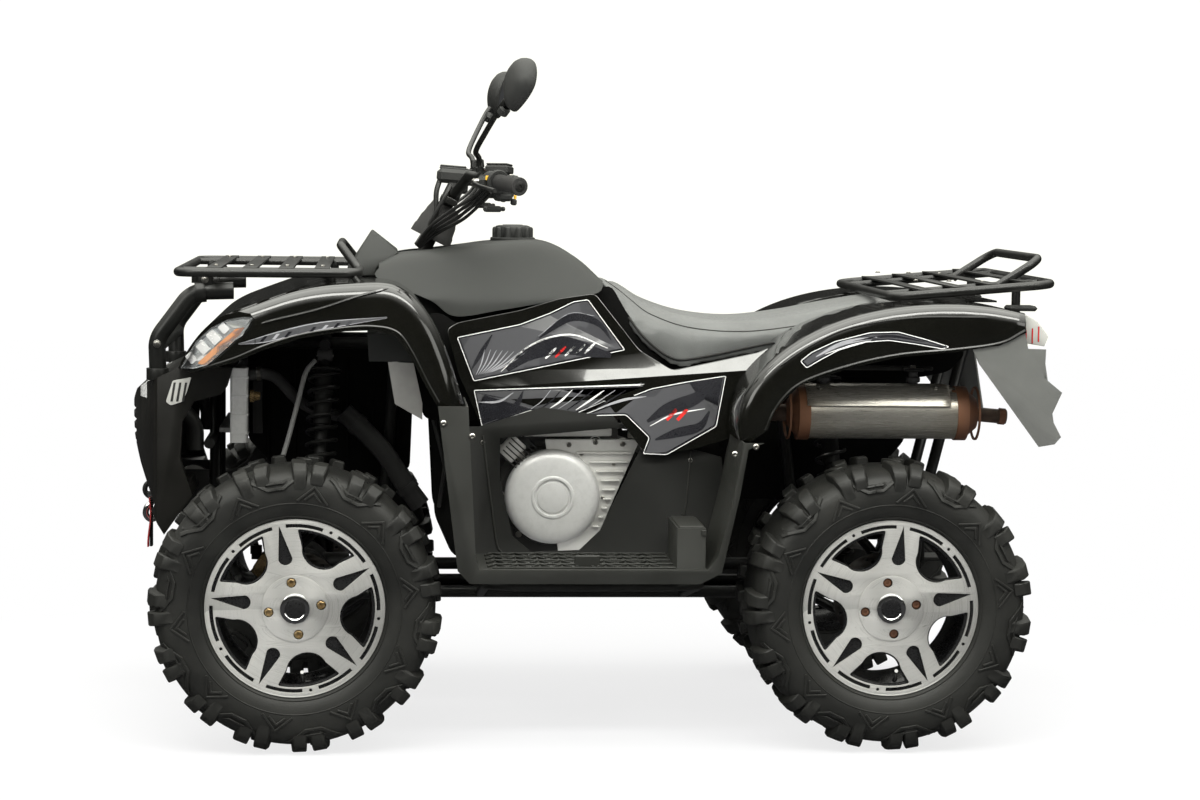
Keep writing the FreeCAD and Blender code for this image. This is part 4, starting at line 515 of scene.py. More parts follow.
# Name: colour, worn colour, roughness range, grain, relief in mm, metal share, specular level
GRAINED = {
    "tyre_rubber": ((0.0085, 0.0086, 0.0078), (0.016, 0.016, 0.014), (0.46, 0.68), 420, 0.25, 0, 0.32),
    "wheel_black": ((0.007, 0.007, 0.008), (0.012, 0.012, 0.012), (0.22, 0.40), 300, 0.03, 0, 0.5),
    "black_steel": ((0.0060, 0.0062, 0.0056), (0.011, 0.011, 0.010), (0.30, 0.46), 520, 0.06, 0, 0.45),
    "cast_black": ((0.0065, 0.0065, 0.006), (0.013, 0.013, 0.012), (0.42, 0.66), 260, 0.16, 0, 0.35),
    # shadow_black is painted shade: a near-black finish for sheets set where the inside is only in shade.
    "shadow_black": ((0.0022, 0.0022, 0.0021), (0.0034, 0.0034, 0.0032), (0.70, 0.90), 300, 0.05, 0, 0.1),
    "grip_rubber": ((0.018, 0.018, 0.018), (0.032, 0.031, 0.030), (0.62, 0.82), 500, 0.12, 0, 0.3),
    "matte_plastic": ((0.050, 0.052, 0.049), (0.063, 0.065, 0.061), (0.50, 0.66), 1300, 0.07, 0, 0.3),
    "dark_plastic": ((0.018, 0.019, 0.018), (0.027, 0.027, 0.026), (0.50, 0.68), 1100, 0.07, 0, 0.35),
    "well_plastic": ((0.0165, 0.0170, 0.0145), (0.021, 0.0215, 0.019), (0.44, 0.60), 1300, 0.07, 0, 0.35),
    # This darker copy of well_plastic is painted shade for the footwells' inner walls.
    "well_painted_shade": ((0.0062, 0.0064, 0.0054), (0.0085, 0.0088, 0.0076), (0.44, 0.60), 1300, 0.07, 0, 0.28),
    "bumper_plastic": ((0.0055, 0.0052, 0.0042), (0.009, 0.0085, 0.0072), (0.36, 0.52), 1300, 0.06, 0, 0.3),
    "flap_plastic": ((0.100, 0.102, 0.097), (0.120, 0.122, 0.116), (0.50, 0.68), 1100, 0.06, 0, 0.3),
    "cast_alloy": ((0.026, 0.026, 0.024), (0.014, 0.014, 0.012), (0.42, 0.62), 320, 0.16, 0.2, 0.5),
    "fin_silver": ((0.62, 0.615, 0.59), (0.48, 0.475, 0.45), (0.34, 0.52), 240, 0.08, 0.15, 0.5),
    "bare_steel": ((0.40, 0.395, 0.375), (0.30, 0.295, 0.28), (0.34, 0.52), 60, 0.04, 0.15, 0.5),
    "bolt_steel": ((0.50, 0.49, 0.46), (0.34, 0.32, 0.29), (0.24, 0.42), 500, 0.05, 1.0, 0.5),
    "gold_steel": ((0.50, 0.34, 0.15), (0.62, 0.46, 0.26), (0.22, 0.40), 500, 0.05, 0.9, 0.5),
    "rusted_steel": ((0.085, 0.034, 0.018), (0.17, 0.075, 0.035), (0.50, 0.80), 600, 0.20, 0.3, 0.5),
    "header_steel": ((0.11, 0.075, 0.055), (0.035, 0.030, 0.028), (0.40, 0.62), 300, 0.10, 0.7, 0.5),
    "bright_chrome": ((0.80, 0.80, 0.80), (0.72, 0.72, 0.73), (0.05, 0.14), 200, 0.01, 1.0, 0.5),
    "cable_black": ((0.012, 0.012, 0.012), (0.024, 0.024, 0.023), (0.38, 0.58), 700, 0.05, 0, 0.5),
    "button_yellow": ((0.80, 0.42, 0.02), (0.86, 0.50, 0.06), (0.32, 0.46), 700, 0.03, 0, 0.5),
    "button_red": ((0.62, 0.02, 0.015), (0.72, 0.05, 0.03), (0.32, 0.46), 700, 0.03, 0, 0.5),
    "band_white": ((0.74, 0.74, 0.73), (0.82, 0.82, 0.81), (0.30, 0.44), 600, 0.02, 0, 0.5),
    "pale_cover": ((0.40, 0.40, 0.375), (0.47, 0.47, 0.445), (0.30, 0.42), 300, 0.03, 0, 0.5),
    "band_red": ((0.60, 0.012, 0.012), (0.70, 0.03, 0.02), (0.28, 0.42), 600, 0.02, 0, 0.5),
    "band_black": ((0.010, 0.010, 0.013), (0.016, 0.016, 0.020), (0.22, 0.36), 600, 0.02, 0, 0.5),
    "stroke_grey": ((0.062, 0.062, 0.066), (0.080, 0.080, 0.084), (0.26, 0.40), 600, 0.02, 0, 0.5),
    "print_grey": ((0.30, 0.30, 0.32), (0.40, 0.40, 0.42), (0.28, 0.42), 600, 0.02, 0, 0.5),
    "hose_grey": ((0.13, 0.13, 0.13), (0.20, 0.20, 0.19), (0.34, 0.52), 500, 0.06, 0, 0.5),
    "reflector": ((0.80, 0.80, 0.79), (0.66, 0.66, 0.65), (0.16, 0.32), 120, 0.30, 0.25, 0.5),
    "amber_lens": ((0.46, 0.17, 0.065), (0.58, 0.30, 0.16), (0.08, 0.20), 90, 0.20, 0, 0.5),
    "red_lens": ((0.42, 0.010, 0.012), (0.55, 0.03, 0.03), (0.06, 0.16), 120, 0.20, 0, 0.5),
}
COATED = {"wheel_black": 0.3, "amber_lens": 0.6, "red_lens": 0.7}


def gloss_plastic(name):
    tone = bpy.context.scene.quad_finishes.gloss_body
    shade = Shade(name, tone, 0.14, 0.0, **{"Specular IOR Level": 0.5, "Coat Weight": 0.5,
                                            "Coat Roughness": 0.03})
    drift = shade.noise(6.0, 3.0)
    shade.colour(shade.blend(shade.span(drift, 0.0, 1.0, 0.3, 0.7), tone, [value * 1.5 for value in tone]))
    haze = shade.noise(38.0, 5.0, 0.65)
    shade.roughness(shade.span(haze, 0.10, 0.21, 0.3, 0.75))
    return shade.relief(shade.noise(12.0, 1.0), 0.02 * MM)


def machined_face(name):
    """Turned aluminium: fine grooves round the hub, read from the map's second number, the radius."""
    tone = bpy.context.scene.quad_finishes.alloy
    shade = Shade(name, tone, 0.3, 0.45)
    grooves = shade.noise(1.0, 2.0, 0.6, shade.place((3.0, 1900.0, 1.0), "UV"))
    # sweep darkens the colour to half in slow sectors round the hub: painted highlight and shade of the
    # turned face.
    sweep = shade.noise(1.0, 1.0, 0.4, shade.place((3.4, 1.5, 1.0), "UV"))
    shade.colour(shade.blend(shade.span(sweep, 0.0, 1.0, 0.36, 0.64), tone,
                             [value * 0.50 for value in tone]))
    shade.roughness(shade.span(grooves, 0.24, 0.42, 0.3, 0.7))
    return shade.relief(grooves, 0.02 * MM)


def disc_steel(name):
    shade = Shade(name, (0.32, 0.31, 0.30), 0.35, 1.0)
    grooves = shade.noise(1.0, 2.0, 0.6, shade.place((2.0, 2200.0, 1.0), "UV"))
    stain = shade.noise(40.0, 5.0, 0.7)
    shade.colour(shade.ramp(stain, [(0.35, (0.34, 0.33, 0.32)), (0.75, (0.16, 0.13, 0.11))]))
    shade.roughness(shade.span(grooves, 0.28, 0.5, 0.3, 0.7))
    return shade.relief(grooves, 0.05 * MM)


def cover_alloy(name):
    """Spun cover: grooves round its centre with a few scuffs."""
    shade = Shade(name, (0.55, 0.56, 0.57), 0.33, 0.15)
    grooves = shade.noise(1.0, 2.0, 0.6, shade.place((4.0, 1500.0, 1.0), "UV"))
    scuff = shade.noise(55.0, 6.0, 0.75)
    cloud = shade.noise(9.0, 3.0, 0.6)
    tone = shade.blend(shade.span(scuff, 0.0, 1.0, 0.45, 0.8), (0.58, 0.58, 0.57), (0.47, 0.47, 0.46))
    shade.colour(shade.blend(shade.span(cloud, 0.0, 0.5, 0.4, 0.7), tone, (0.50, 0.50, 0.49)))
    shade.roughness(shade.span(shade.sum(grooves, scuff, "MULTIPLY"), 0.26, 0.46, 0.1, 0.4))
    return shade.relief(grooves, 0.06 * MM)


def muffler_steel(name):
    """Brushed steel can, tinted straw and brown by heat near its ends."""
    shade = Shade(name, (0.42, 0.40, 0.37), 0.34, 0.75)
    brushed = shade.noise(1.0, 3.0, 0.6, shade.place((14.0, 900.0, 900.0)))
    along = shade.add("SeparateXYZ", {"Vector": shade.place()}).outputs[0]
    from_middle = shade.sum(along, 0.652, "SUBTRACT")
    far = shade.add("Math", {0: from_middle}, operation="ABSOLUTE").outputs[0]
    edge = shade.sum(far, shade.span(shade.noise(22.0, 4.0, 0.6), -0.02, 0.03))
    heat = shade.ramp(shade.span(edge, 0.0, 1.0, 0.10, 0.235), [
        (0.0, (0.40, 0.385, 0.35)), (0.55, (0.36, 0.33, 0.28)), (0.80, (0.26, 0.17, 0.09)),
        (1.0, (0.13, 0.068, 0.040)),
    ])
    shade.colour(shade.blend(shade.span(brushed, 0.0, 0.45, 0.35, 0.7), heat, (0.24, 0.22, 0.20)))
    shade.roughness(shade.span(brushed, 0.20, 0.42, 0.3, 0.7))
    return shade.relief(brushed, 0.06 * MM)


def seat_cover(name):
    """Vinyl with a pebbled grain and a soft sheen."""
    tone = bpy.context.scene.quad_finishes.seat
    shade = Shade(name, tone, 0.45, 0.0, **{"Sheen Weight": 0.12, "Sheen Roughness": 0.5,
                                            "Specular IOR Level": 0.5})
    drift = shade.noise(7.0, 4.0, 0.6)
    shade.colour(shade.blend(shade.span(drift, 0.0, 1.0, 0.3, 0.7), tone, [value * 1.45 for value in tone]))
    pebbles = shade.cells(620.0)
    creases = shade.noise(120.0, 5.0, 0.7)
    shade.roughness(shade.span(creases, 0.36, 0.54, 0.3, 0.7))
    return shade.relief(shade.sum(pebbles, shade.sum(creases, 0.6, "MULTIPLY")), 0.22 * MM)


def lamp_glass(name):
    shade = Shade(name, (0.92, 0.94, 0.96), 0.03, 0.0,
                  **{"Transmission Weight": 0.92, "IOR": 1.45, "Coat Weight": 0.2})
    shade.roughness(shade.span(shade.noise(30.0, 4.0, 0.6), 0.02, 0.08, 0.3, 0.8))
    return shade.relief(shade.noise(25.0, 2.0), 0.1 * MM)


def mirror_glass(name):
    shade = Shade(name, (0.86, 0.88, 0.90), 0.02, 1.0)
    return shade.roughness(shade.span(shade.noise(30.0, 5.0, 0.7), 0.01, 0.07, 0.4, 0.8))


def strap_red(name):
    """Woven webbing."""
    shade = Shade(name, (0.50, 0.02, 0.02), 0.8, 0.0, **{"Sheen Weight": 0.2})
    weave = shade.add("TexWave", {"Vector": shade.place(), "Scale": 420.0, "Distortion": 1.5},
                      bands_direction="Z")
    shade.colour(shade.ramp(weave.outputs["Fac"], [(0.2, (0.30, 0.008, 0.010)), (0.8, (0.58, 0.03, 0.03))]))
    return shade.relief(weave.outputs["Fac"], 0.4 * MM)


def decal_print(name):
    """Dark grey print with slow patches and a few specks."""
    shade = Shade(name, (0.06, 0.06, 0.065), 0.28, 0.0, **{"Coat Weight": 0.3})
    cloud = shade.ramp(shade.noise(15.0, 1.0), [(0.56, (0.072, 0.072, 0.078)),
                                                (0.575, (0.050, 0.050, 0.055))])
    specks = shade.ramp(shade.noise(260.0, 3.0, 0.7), [(0.70, (0, 0, 0)), (0.73, (1, 1, 1))])
    shade.colour(shade.blend(specks, cloud, (0.010, 0.010, 0.014)))
    return shade.relief(shade.noise(300.0, 2.0), 0.02 * MM)


def fin_alloy(name):
    """Folded cooling fins between tubes."""
    shade = Shade(name, (0.30, 0.30, 0.30), 0.45, 0.4)
    fins = shade.add("TexWave", {"Vector": shade.place(), "Scale": 160.0, "Distortion": 0.6},
                     bands_direction="Y")
    # The ramp's dark end is painted shade in the gaps between the fins.
    shade.colour(shade.ramp(fins.outputs["Fac"], [(0.2, (0.05, 0.05, 0.05)), (0.8, (0.34, 0.34, 0.34))]))
    return shade.relief(fins.outputs["Fac"], 1.2 * MM)


SPECIAL = {build.__name__: build for build in (
    gloss_plastic, machined_face, disc_steel, cover_alloy, muffler_steel, seat_cover, lamp_glass,
    mirror_glass,
    strap_red, decal_print, fin_alloy)}


def finish(name):
    """The named finish, made once."""
    made = bpy.data.materials.get("look_" + name)
    if made:
        return made
    if name in SPECIAL:
        return SPECIAL[name](name).material
    colour, worn, *rest = GRAINED[name]
    if name == "matte_plastic":
        colour = tuple(bpy.context.scene.quad_finishes.matte_body)
        worn = tuple(value * 1.25 for value in colour)
    return grained(name, colour, worn, *rest).material


# Finished pieces

def rounded(thing, width, steps, angle):
    """Rounds an object's edges that are sharper than an angle in degrees."""
    rounding = thing.modifiers.new("Edges", "BEVEL")
    rounding.width = width * MM
    rounding.segments = steps
    rounding.limit_method = "ANGLE"
    rounding.angle_limit = math.radians(angle)


def piece(name, shape, finishes, nodes=(), body="chassis", bevel=0.0, levels=0, chart=None,
          carve=None, wall=0.0, sharp=32):
    """A finished object from a form or mesh, its wall, cut and bevels worked in, riding on its body."""
    mesh = shape.mesh(name) if isinstance(shape, Form) else shape
    for label in finishes:
        mesh.materials.append(finish(label))
    thing = linked(name, mesh)
    if wall:
        thick = thing.modifiers.new("Wall", "SOLIDIFY")
        thick.thickness = wall * MM
        thick.offset = -1.0
        thing.data = folded(thing)
    if carve:
        cut = thing.modifiers.new("Cut", "BOOLEAN")
        cut.operation = "DIFFERENCE"
        cut.solver = "EXACT"
        cut.object = linked("Cutter", carve.mesh("Cutter"))
    if bevel:
        rounded(thing, bevel, 2, 38)
    if levels:
        smooth = thing.modifiers.new("Smooth", "SUBSURF")
        smooth.levels = levels
        smooth.render_levels = levels
    cutters = [cut.object] if carve else []
    if thing.modifiers:
        thing.data = folded(thing)
    for cutter in cutters:
        bpy.data.objects.remove(cutter)
    mesh = thing.data
    mesh.name = name
    mesh.shade_smooth()
    mesh.set_sharp_from_angle(angle=math.radians(sharp))
    if chart:
        draw_map(mesh, chart)
    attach(thing, body)
    if nodes:
        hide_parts(*nodes)
    return thing


def draw_map(mesh, chart):
    """A UV map whose corners come from the chart of each point in millimetres."""
    layer = mesh.uv_layers.new(name="UVMap") if not mesh.uv_layers else mesh.uv_layers[0]
    for polygon in mesh.polygons:
        spots = [chart(mesh.vertices[corner].co / MM) for corner in polygon.vertices]
        highest = max(spot[0] for spot in spots)
        for loop, (across, up) in zip(polygon.loop_indices, spots):
            layer.data[loop].uv = (across + (1.0 if highest - across > 0.5 else 0.0), up)


def dial_chart(x, z):
    """Turn round a line along Y as the first number and the radius in metres as the second."""
    def chart(point):
        return (math.atan2(point.z - z, point.x - x) / math.tau + 0.5,
                math.hypot(point.x - x, point.z - z) * MM)
    return chart


def dress(node, finishes, bevel=1.0, tint=None):
    """A merged and bevelled copy of a CAD node that takes its place; tint chooses each face's finish."""
    source = frame["nodes"][node]
    name = node + "_dressed"
    work = bmesh.new()
    work.from_mesh(source.data)
    bmesh.ops.remove_doubles(work, verts=work.verts[:], dist=0.00002)
    bmesh.ops.dissolve_limit(work, angle_limit=math.radians(0.6), verts=work.verts[:], edges=work.edges[:])
    for face in work.faces:
        face.material_index = tint(face.calc_center_median() / MM) if tint else 0
    mesh = bpy.data.meshes.new(name)
    work.to_mesh(mesh)
    work.free()
    labels = [finishes] if isinstance(finishes, str) else finishes
    return piece(name, mesh, labels, (node,), source["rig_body"], bevel=bevel)


def screws(places, radius, tall, mark):
    """Round-headed screws with a recess, each at a point with its outward direction."""
    made = Form()
    for place, out in places:
        out = Vector(out).normalized()
        profile = [(0.0, radius), (tall * 0.4, radius), (tall * 0.8, radius * 0.82), (tall, radius * 0.5),
                   (tall * 0.55, radius * 0.32), (tall * 0.55, 0.0)]
        made.turned(profile, place, out, 12, mark)
    return made


def bolt(place, out, radius=7.0, tall=6.0, mark=0):
    """A six-sided bolt head on a washer."""
    out = Vector(out).normalized()
    made = Form()
    made.turned([(0.0, radius * 1.35), (1.4, radius * 1.35), (1.4, 0.0)], place, out, 18, mark)
    made.turned([(1.4, radius), (tall * 0.8, radius), (tall, radius * 0.82), (tall, 0.0)], place, out, 6,
                mark)
    return made


# Wheels

def tyre_profile(half):
    """The carcass from the middle of the tread to the bead, as (y, radius)."""
    points = [(0, 302.5, 0), (0.30 * half, 302.0, 0), (0.60 * half, 299.5, 0), (0.80 * half, 293.0, 0),
              (0.93 * half, 280.0, 0),
              (0.975 * half, 262.0, 0), (0.985 * half, 240.0, 0), (0.955 * half, 218.0, 0),
              (0.90 * half, 203.0, 0), (0.845 * half, 195.5, 0), (0.80 * half, 192.0, 0)]
    return [(spot.x, spot.y) for spot in flowing(points, 26)]


def wall_spot(profile, radius, rise=0.0):
    """The sidewall's distance from the tyre's middle at a radius."""
    for (y_a, r_a), (y_b, r_b) in zip(profile, profile[1:]):
        if r_b <= radius <= r_a:
            share = (r_a - radius) / max(r_a - r_b, 1e-6)
            return y_a + (y_b - y_a) * share + rise
    return profile[0][0] + rise


def wall_ridge(profile, chain, wide, tall):
    """A raised band on the sidewall along a chain of (degrees, radius) points."""
    flat = [Vector((*polar(radius, degrees), 0)) for degrees, radius in chain]
    rows = []
    for index, here in enumerate(flat):
        before = flat[max(index - 1, 0)]
        after = flat[min(index + 1, len(flat) - 1)]
        along = (after - before).normalized()
        side = Vector((-along.y, along.x, 0))
        if 0 < index < len(flat) - 1:
            first = (here - before).normalized()
            side = side / max(side.dot(Vector((-first.y, first.x, 0))), 0.5)
        row = []
        for across, rise in ((-0.5, -2.0), (-0.36, tall), (0.36, tall), (0.5, -2.0)):
            spot = here + side * wide * across
            row.append((spot.x, -wall_spot(profile, spot.length, rise), spot.y))
        rows.append(row)
    return Form().grid(rows).capped(4)


def tread_lug(stations, lean=0.0):
    """A tread block; each station is (y, top radius, base radius, half width at top, at base)."""
    rows = []
    for y, top, base, wide_top, wide_base in stations:
        shift = lean * y
        row = []
        for across, radius in ((-wide_base, base), (-wide_top, top), (wide_top, top), (wide_base, base)):
            turn = (across + shift) / TREAD_RADIUS
            row.append((radius * math.sin(turn), -y, radius * math.cos(turn)))
        rows.append(row)
    return Form().grid(rows).capped(4)


def bevelled(form, width):
    """The form with its edges rounded."""
    holder = linked("Rounding", form.mesh("Rounding"))
    rounded(holder, width, 1, 35)
    made = Form().take(folded(holder))
    bpy.data.objects.remove(holder)
    return made


def tyre_form(wide):
    """One tyre about the origin, its outer side towards -Y."""
    half = wide / 2
    profile = tyre_profile(half)
    outside = [(-y, r) for y, r in profile]
    ring = [(BEAD_SHARE * half - 2, 178.4)] + profile[::-1] + outside[1:]
    ring.append((-BEAD_SHARE * half + 2, 178.4))
    made = Form().turned(ring, ORIGIN, RIGHT, 120, close=True)
    long_lug = tread_lug([(0.22 * half, 315.5, 300, 12.5, 15.5), (0.46 * half, 317.0, 299, 14.5, 18),
                          (0.80 * half, 313.0, 290, 15, 18.5),
                          (0.95 * half, 300.0, 274, 14.5, 17.5), (half - 0.5, 283.0, 264, 11, 14),
                          (0.985 * half, 270.0, 258, 8, 11)], 0.10)
    short_lug = tread_lug([(0.42 * half, 315.5, 300, 11.5, 14), (0.62 * half, 316.0, 298, 14, 17),
                           (0.82 * half, 312.0, 290, 15, 18),
                           (0.97 * half, 297.0, 278, 13, 16.5), (0.985 * half, 287.0, 272, 11, 14)], -0.12)
    heart_lug = tread_lug([(-0.16 * half, 315.0, 300, 9, 12), (0.0, 316.5, 300, 11, 14),
                           (0.14 * half, 315.0, 300, 9, 12)], 0.5)
    for side in (1, -1):
        flip = Matrix.Scale(side, 4, RIGHT)
        for lug, phase in ((long_lug, 0.0 if side > 0 else 6.0), (short_lug, 12.0 if side > 0 else 18.0)):
            turn = Matrix.Rotation(math.radians(phase), 4, "Y")
            block = bevelled(lug, 2.2).turned_by(flip).turned_by(turn)
            made.join(repeated(block, 15, RIGHT, ORIGIN, "tyre_rubber"))
    hearts = bevelled(heart_lug, 2.0).turned_by(Matrix.Rotation(math.radians(3.0), 4, "Y"))
    made.join(repeated(hearts, 15, RIGHT, ORIGIN, "tyre_rubber"))
    marks = Form()
    middle = 81.0
    marks.join(wall_ridge(profile, [(middle - 8.0, 234), (middle, 266), (middle + 8.0, 234)], 6.0, 4.2))
    marks.join(wall_ridge(profile, [(middle - 4.2, 236), (middle, 252), (middle + 4.2, 236)], 6.0, 3.6))
    wave = [(middle - 18, 262), (middle - 14.5, 262), (middle - 8.5, 284), (middle - 6.0, 291)]
    inner_wave = [(degrees, radius + 12) for degrees, radius in wave[:3]]
    for chain, wide_band, tall in ((wave, 9.0, 5.6), (inner_wave, 6.0, 5.0)):
        back = [(2 * middle - degrees, radius) for degrees, radius in chain][::-1]
        marks.join(wall_ridge(profile, chain, wide_band, tall))
        marks.join(wall_ridge(profile, back, wide_band, tall))
    marks = repeated(bevelled(marks, 0.8), 10, RIGHT, ORIGIN, "tyre_rubber")
    made.join(marks).join(marks.turned_by(Matrix.Rotation(math.radians(9), 4, "Y")).opposite())
    for radius, tall in ((199.5, 1.4), (228.0, 0.9)):
        for side in (-1, 1):
            y = side * wall_spot(profile, radius, tall * 0.4)
            made.turned([(y, radius - 1.6), (y + side * tall, radius - 0.6),
                         (y + side * tall, radius + 0.6), (y, radius + 1.6)], ORIGIN, RIGHT, 96)
    return made


def rim_windows(turns, inner, outer, spread):
    """The outline of each gap between two spokes: round inner side, straight flanks, arc at the rim."""
    shapes = []
    for turn in turns:
        chain = []
        for step in range(13):
            degrees = turn - spread + 2 * spread * step / 12
            chain.append(polar(outer, degrees))
        heart = inner + 38.0
        for step in range(1, 14):
            swing = math.pi * step / 14
            radius = heart - 38.0 * math.sin(swing)
            across = 44.0 * math.cos(swing)
            x, z = polar(radius, turn)
            side_x, side_z = polar(1.0, turn + 90)
            chain.append((x + side_x * across, z + side_z * across))
        shapes.append(softened_flat(chain))
    return shapes


def softened_flat(chain, bend=7.0):
    loop = softened([(x, z, 0) for x, z in chain], bend, 3, True)
    return [(spot.x, spot.y) for spot in loop]


def drop_outline(turn, near, far, wide):
    """A teardrop, round towards the hub and pointed towards the rim."""
    chain = []
    for step in range(9):
        swing = math.radians(100 + 160 * step / 8)
        chain.append((near + wide + wide * math.cos(swing), wide * math.sin(swing)))
    chain.append((far, 0.0))
    ray = math.radians(turn)
    return [(x * math.cos(ray) - z * math.sin(ray), x * math.sin(ray) + z * math.cos(ray)) for x,
            z in chain]


def arc_slot(from_degrees, to_degrees, low, high):
    chain = [polar(high, from_degrees + (to_degrees - from_degrees) * step / 8) for step in range(9)]
    chain += [polar(low, to_degrees + (from_degrees - to_degrees) * step / 8) for step in range(9)]
    return chain


def flat_to_wheel(form, y):
    """A plate drawn in its own plane, stood up in the wheel's plane at a distance y."""
    stand = Matrix(((1, 0, 0, 0), (0, 0, -1, y), (0, 1, 0, 0), (0, 0, 0, 1)))
    return form.turned_by(stand)


def rim_form(wide, phase, rear):
    """One rim about the origin, outer side towards -Y; finishes: face, black, cap centre, nuts, chrome."""
    sizes = bpy.context.scene.quad_sizes
    lip = sizes.rim_lip_radius * 1000
    seat = wide / 2 * BEAD_SHARE
    face = seat + 4.5
    bead = seat + 0.3
    spokes = sizes.spokes
    pitch = 360.0 / spokes
    middles = [phase + pitch * (index + 0.5) for index in range(spokes)]
    rays = [phase + pitch * index for index in range(spokes)]
    windows = rim_windows(middles, 97.0, 171.0, 23.4)
    back_windows = rim_windows(middles, 101.0, 167.5, 21.6)
    drops = [drop_outline(turn, 95.0, 181.0, 15.5) for turn in rays]
    slots = []
    for turn, middle in zip(rays, middles):
        slots.append(arc_slot(turn + 5.0, middle - 5.7, 174.7, 182.4))
        slots.append(arc_slot(middle + 5.7, turn + pitch - 4.5, 174.7, 182.4))
        slots.append(ring_points(3.6, 14, polar(180.0, middle)))
    nuts = [polar(56.5, 8 + 90 * index) for index in range(4)]
    holes = [ring_points(13.0 if rear else 12.0, 24, nut) for nut in nuts]
    made = Form()
    web = plate(ring_points(191.0, 160), windows + drops + slots + holes + [ring_points(34, 48)], 5.0, 0.9)
    made.join(flat_to_wheel(web, -face + 2.5), 0)
    back_holes = back_windows + [ring_points(10.0, 20, nut) for nut in nuts] + [ring_points(20, 40)]
    back = plate(ring_points(176.0, 120), back_holes, 18.0, 1.5)
    made.join(flat_to_wheel(back, -face + 14.5), 1)
    seat_floor = plate(ring_points(189.0, 120), [ring_points(165.0, 120)], 3.0, 0.3)
    made.join(flat_to_wheel(seat_floor, -face + 8.0), 1)
    lip_ring = [(-bead, 190.8), (-face, 190.6), (-face - 0.8, 191.2), (-face - 0.8, lip - 0.8),
                (-face, lip), (-bead, lip)]
    made.turned(lip_ring, ORIGIN, RIGHT, 120, 0, close=True)
    shell = [(-bead + 2, 188.0), (-bead + 3, 176.5), (-bead + 40, 171.5), (-10, 160.0), (20, 160.0),
             (bead - 34, 170.0),
             (bead - 12, 173.0), (bead - 2, 186.0), (bead + 5, 188.0), (bead + 5, lip), (bead, lip),
             (bead, 177.5), (-bead, 177.5), (-bead, 188.0)]
    made.turned(shell, ORIGIN, RIGHT, 120, 1, close=True)
    hub_holes = [ring_points(10.5, 24, nut) for nut in nuts] + [ring_points(24, 40)]
    hub_plate = plate(ring_points(71.5, 96), hub_holes, 4.0, 0.8)
    made.join(flat_to_wheel(hub_plate, -face - 0.6 + (0.2 if rear else 0.0)), 0)
    hub = [(-face + 30, 62), (-face + 14, 62), (-face + 14, 26), (-face + 30, 26)]
    made.turned(hub, ORIGIN, RIGHT, 60, 1, close=True)
    for nut in nuts:
        centre = (nut[0], -face + 8.0, nut[1])
        tall = 6.5 if rear else 12.0
        made.turned([(0.0, 9.0), (tall - 1.5, 9.0), (tall, 7.4), (tall, 4.6), (tall - 3, 4.2),
                     (tall - 3, 0.0)], centre, LEFT, 6, 3)
        made.turned([(-1.0, 9.8), (2.0, 9.8), (2.5, 8.0)], centre, LEFT, 20, 3)
    cap = [(0.0, 33.0), (5.0, 33.0), (8.0, 31.5), (9.6, 28.0), (9.6, 23.5), (8.4, 21.5)]
    made.turned(cap, (0, -face, 0), LEFT, 64, 4)
    dome = [(8.4, 21.6), (9.6, 20.6), (10.6, 16.0), (11.4, 9.0), (11.7, 0.0)]
    made.turned(dome, (0, -face, 0), LEFT, 48, 2)
    for index in range(5):
        degrees = phase + 20 + 72 * index
        across, up = polar(27.5, degrees)
        turn = Matrix.Rotation(-math.radians(degrees), 3, "Y")
        made.block((across, -face - 9.4, up), (5.0, 0.9, 2.2), 0.3, 2, turn)
    foot = polar(164.0, -84)
    tip = polar(150.0, -84)
    made.tube([(foot[0], -face + 34, foot[1]), (foot[0], -face + 22, foot[1] + 3),
               (tip[0], -face + 12, tip[1] + 8)], [5.5, 4.5, 3.4], 12, 1)
    made.tube([(tip[0], -face + 12, tip[1] + 8), (tip[0], -face + 4, tip[1] + 11)], [4.0, 4.0], 10, 4)
    return made


WHEELS = {
    "front_left": (FRONT_X, -470.5, 229.0, 101.0),
    "rear_left": (REAR_X, -447.5, 275.0, 82.0),
    "front_right": (FRONT_X, 470.5, 229.0, 79.0),
    "rear_right": (REAR_X, 447.5, 275.0, 98.0),
}


def build_tyres():
    made = {}
    for name, (x, y, wide, phase) in WHEELS.items():
        if wide not in made:
            made[wide] = tyre_form(wide)
        form = made[wide] if y < 0 else made[wide].opposite()
        piece("tyre_%s_dressed" % name, form.moved(x, y, HUB_Z), ["tyre_rubber"], ["tyre_" + name],
              "wheel_" + name, sharp=28)


def build_rims():
    for name, (x, y, wide, phase) in WHEELS.items():
        rear = name.startswith("rear")
        form = rim_form(wide, phase, rear)
        if y > 0:
            form = form.opposite()
        labels = ["machined_face", "wheel_black", "wheel_black", "rusted_steel" if rear else "gold_steel",
                  "bright_chrome"]
        piece("rim_%s_dressed" % name, form.moved(x, y, HUB_Z), labels, ["rim_" + name],
              "wheel_" + name,
              chart=dial_chart(x, HUB_Z), sharp=30)


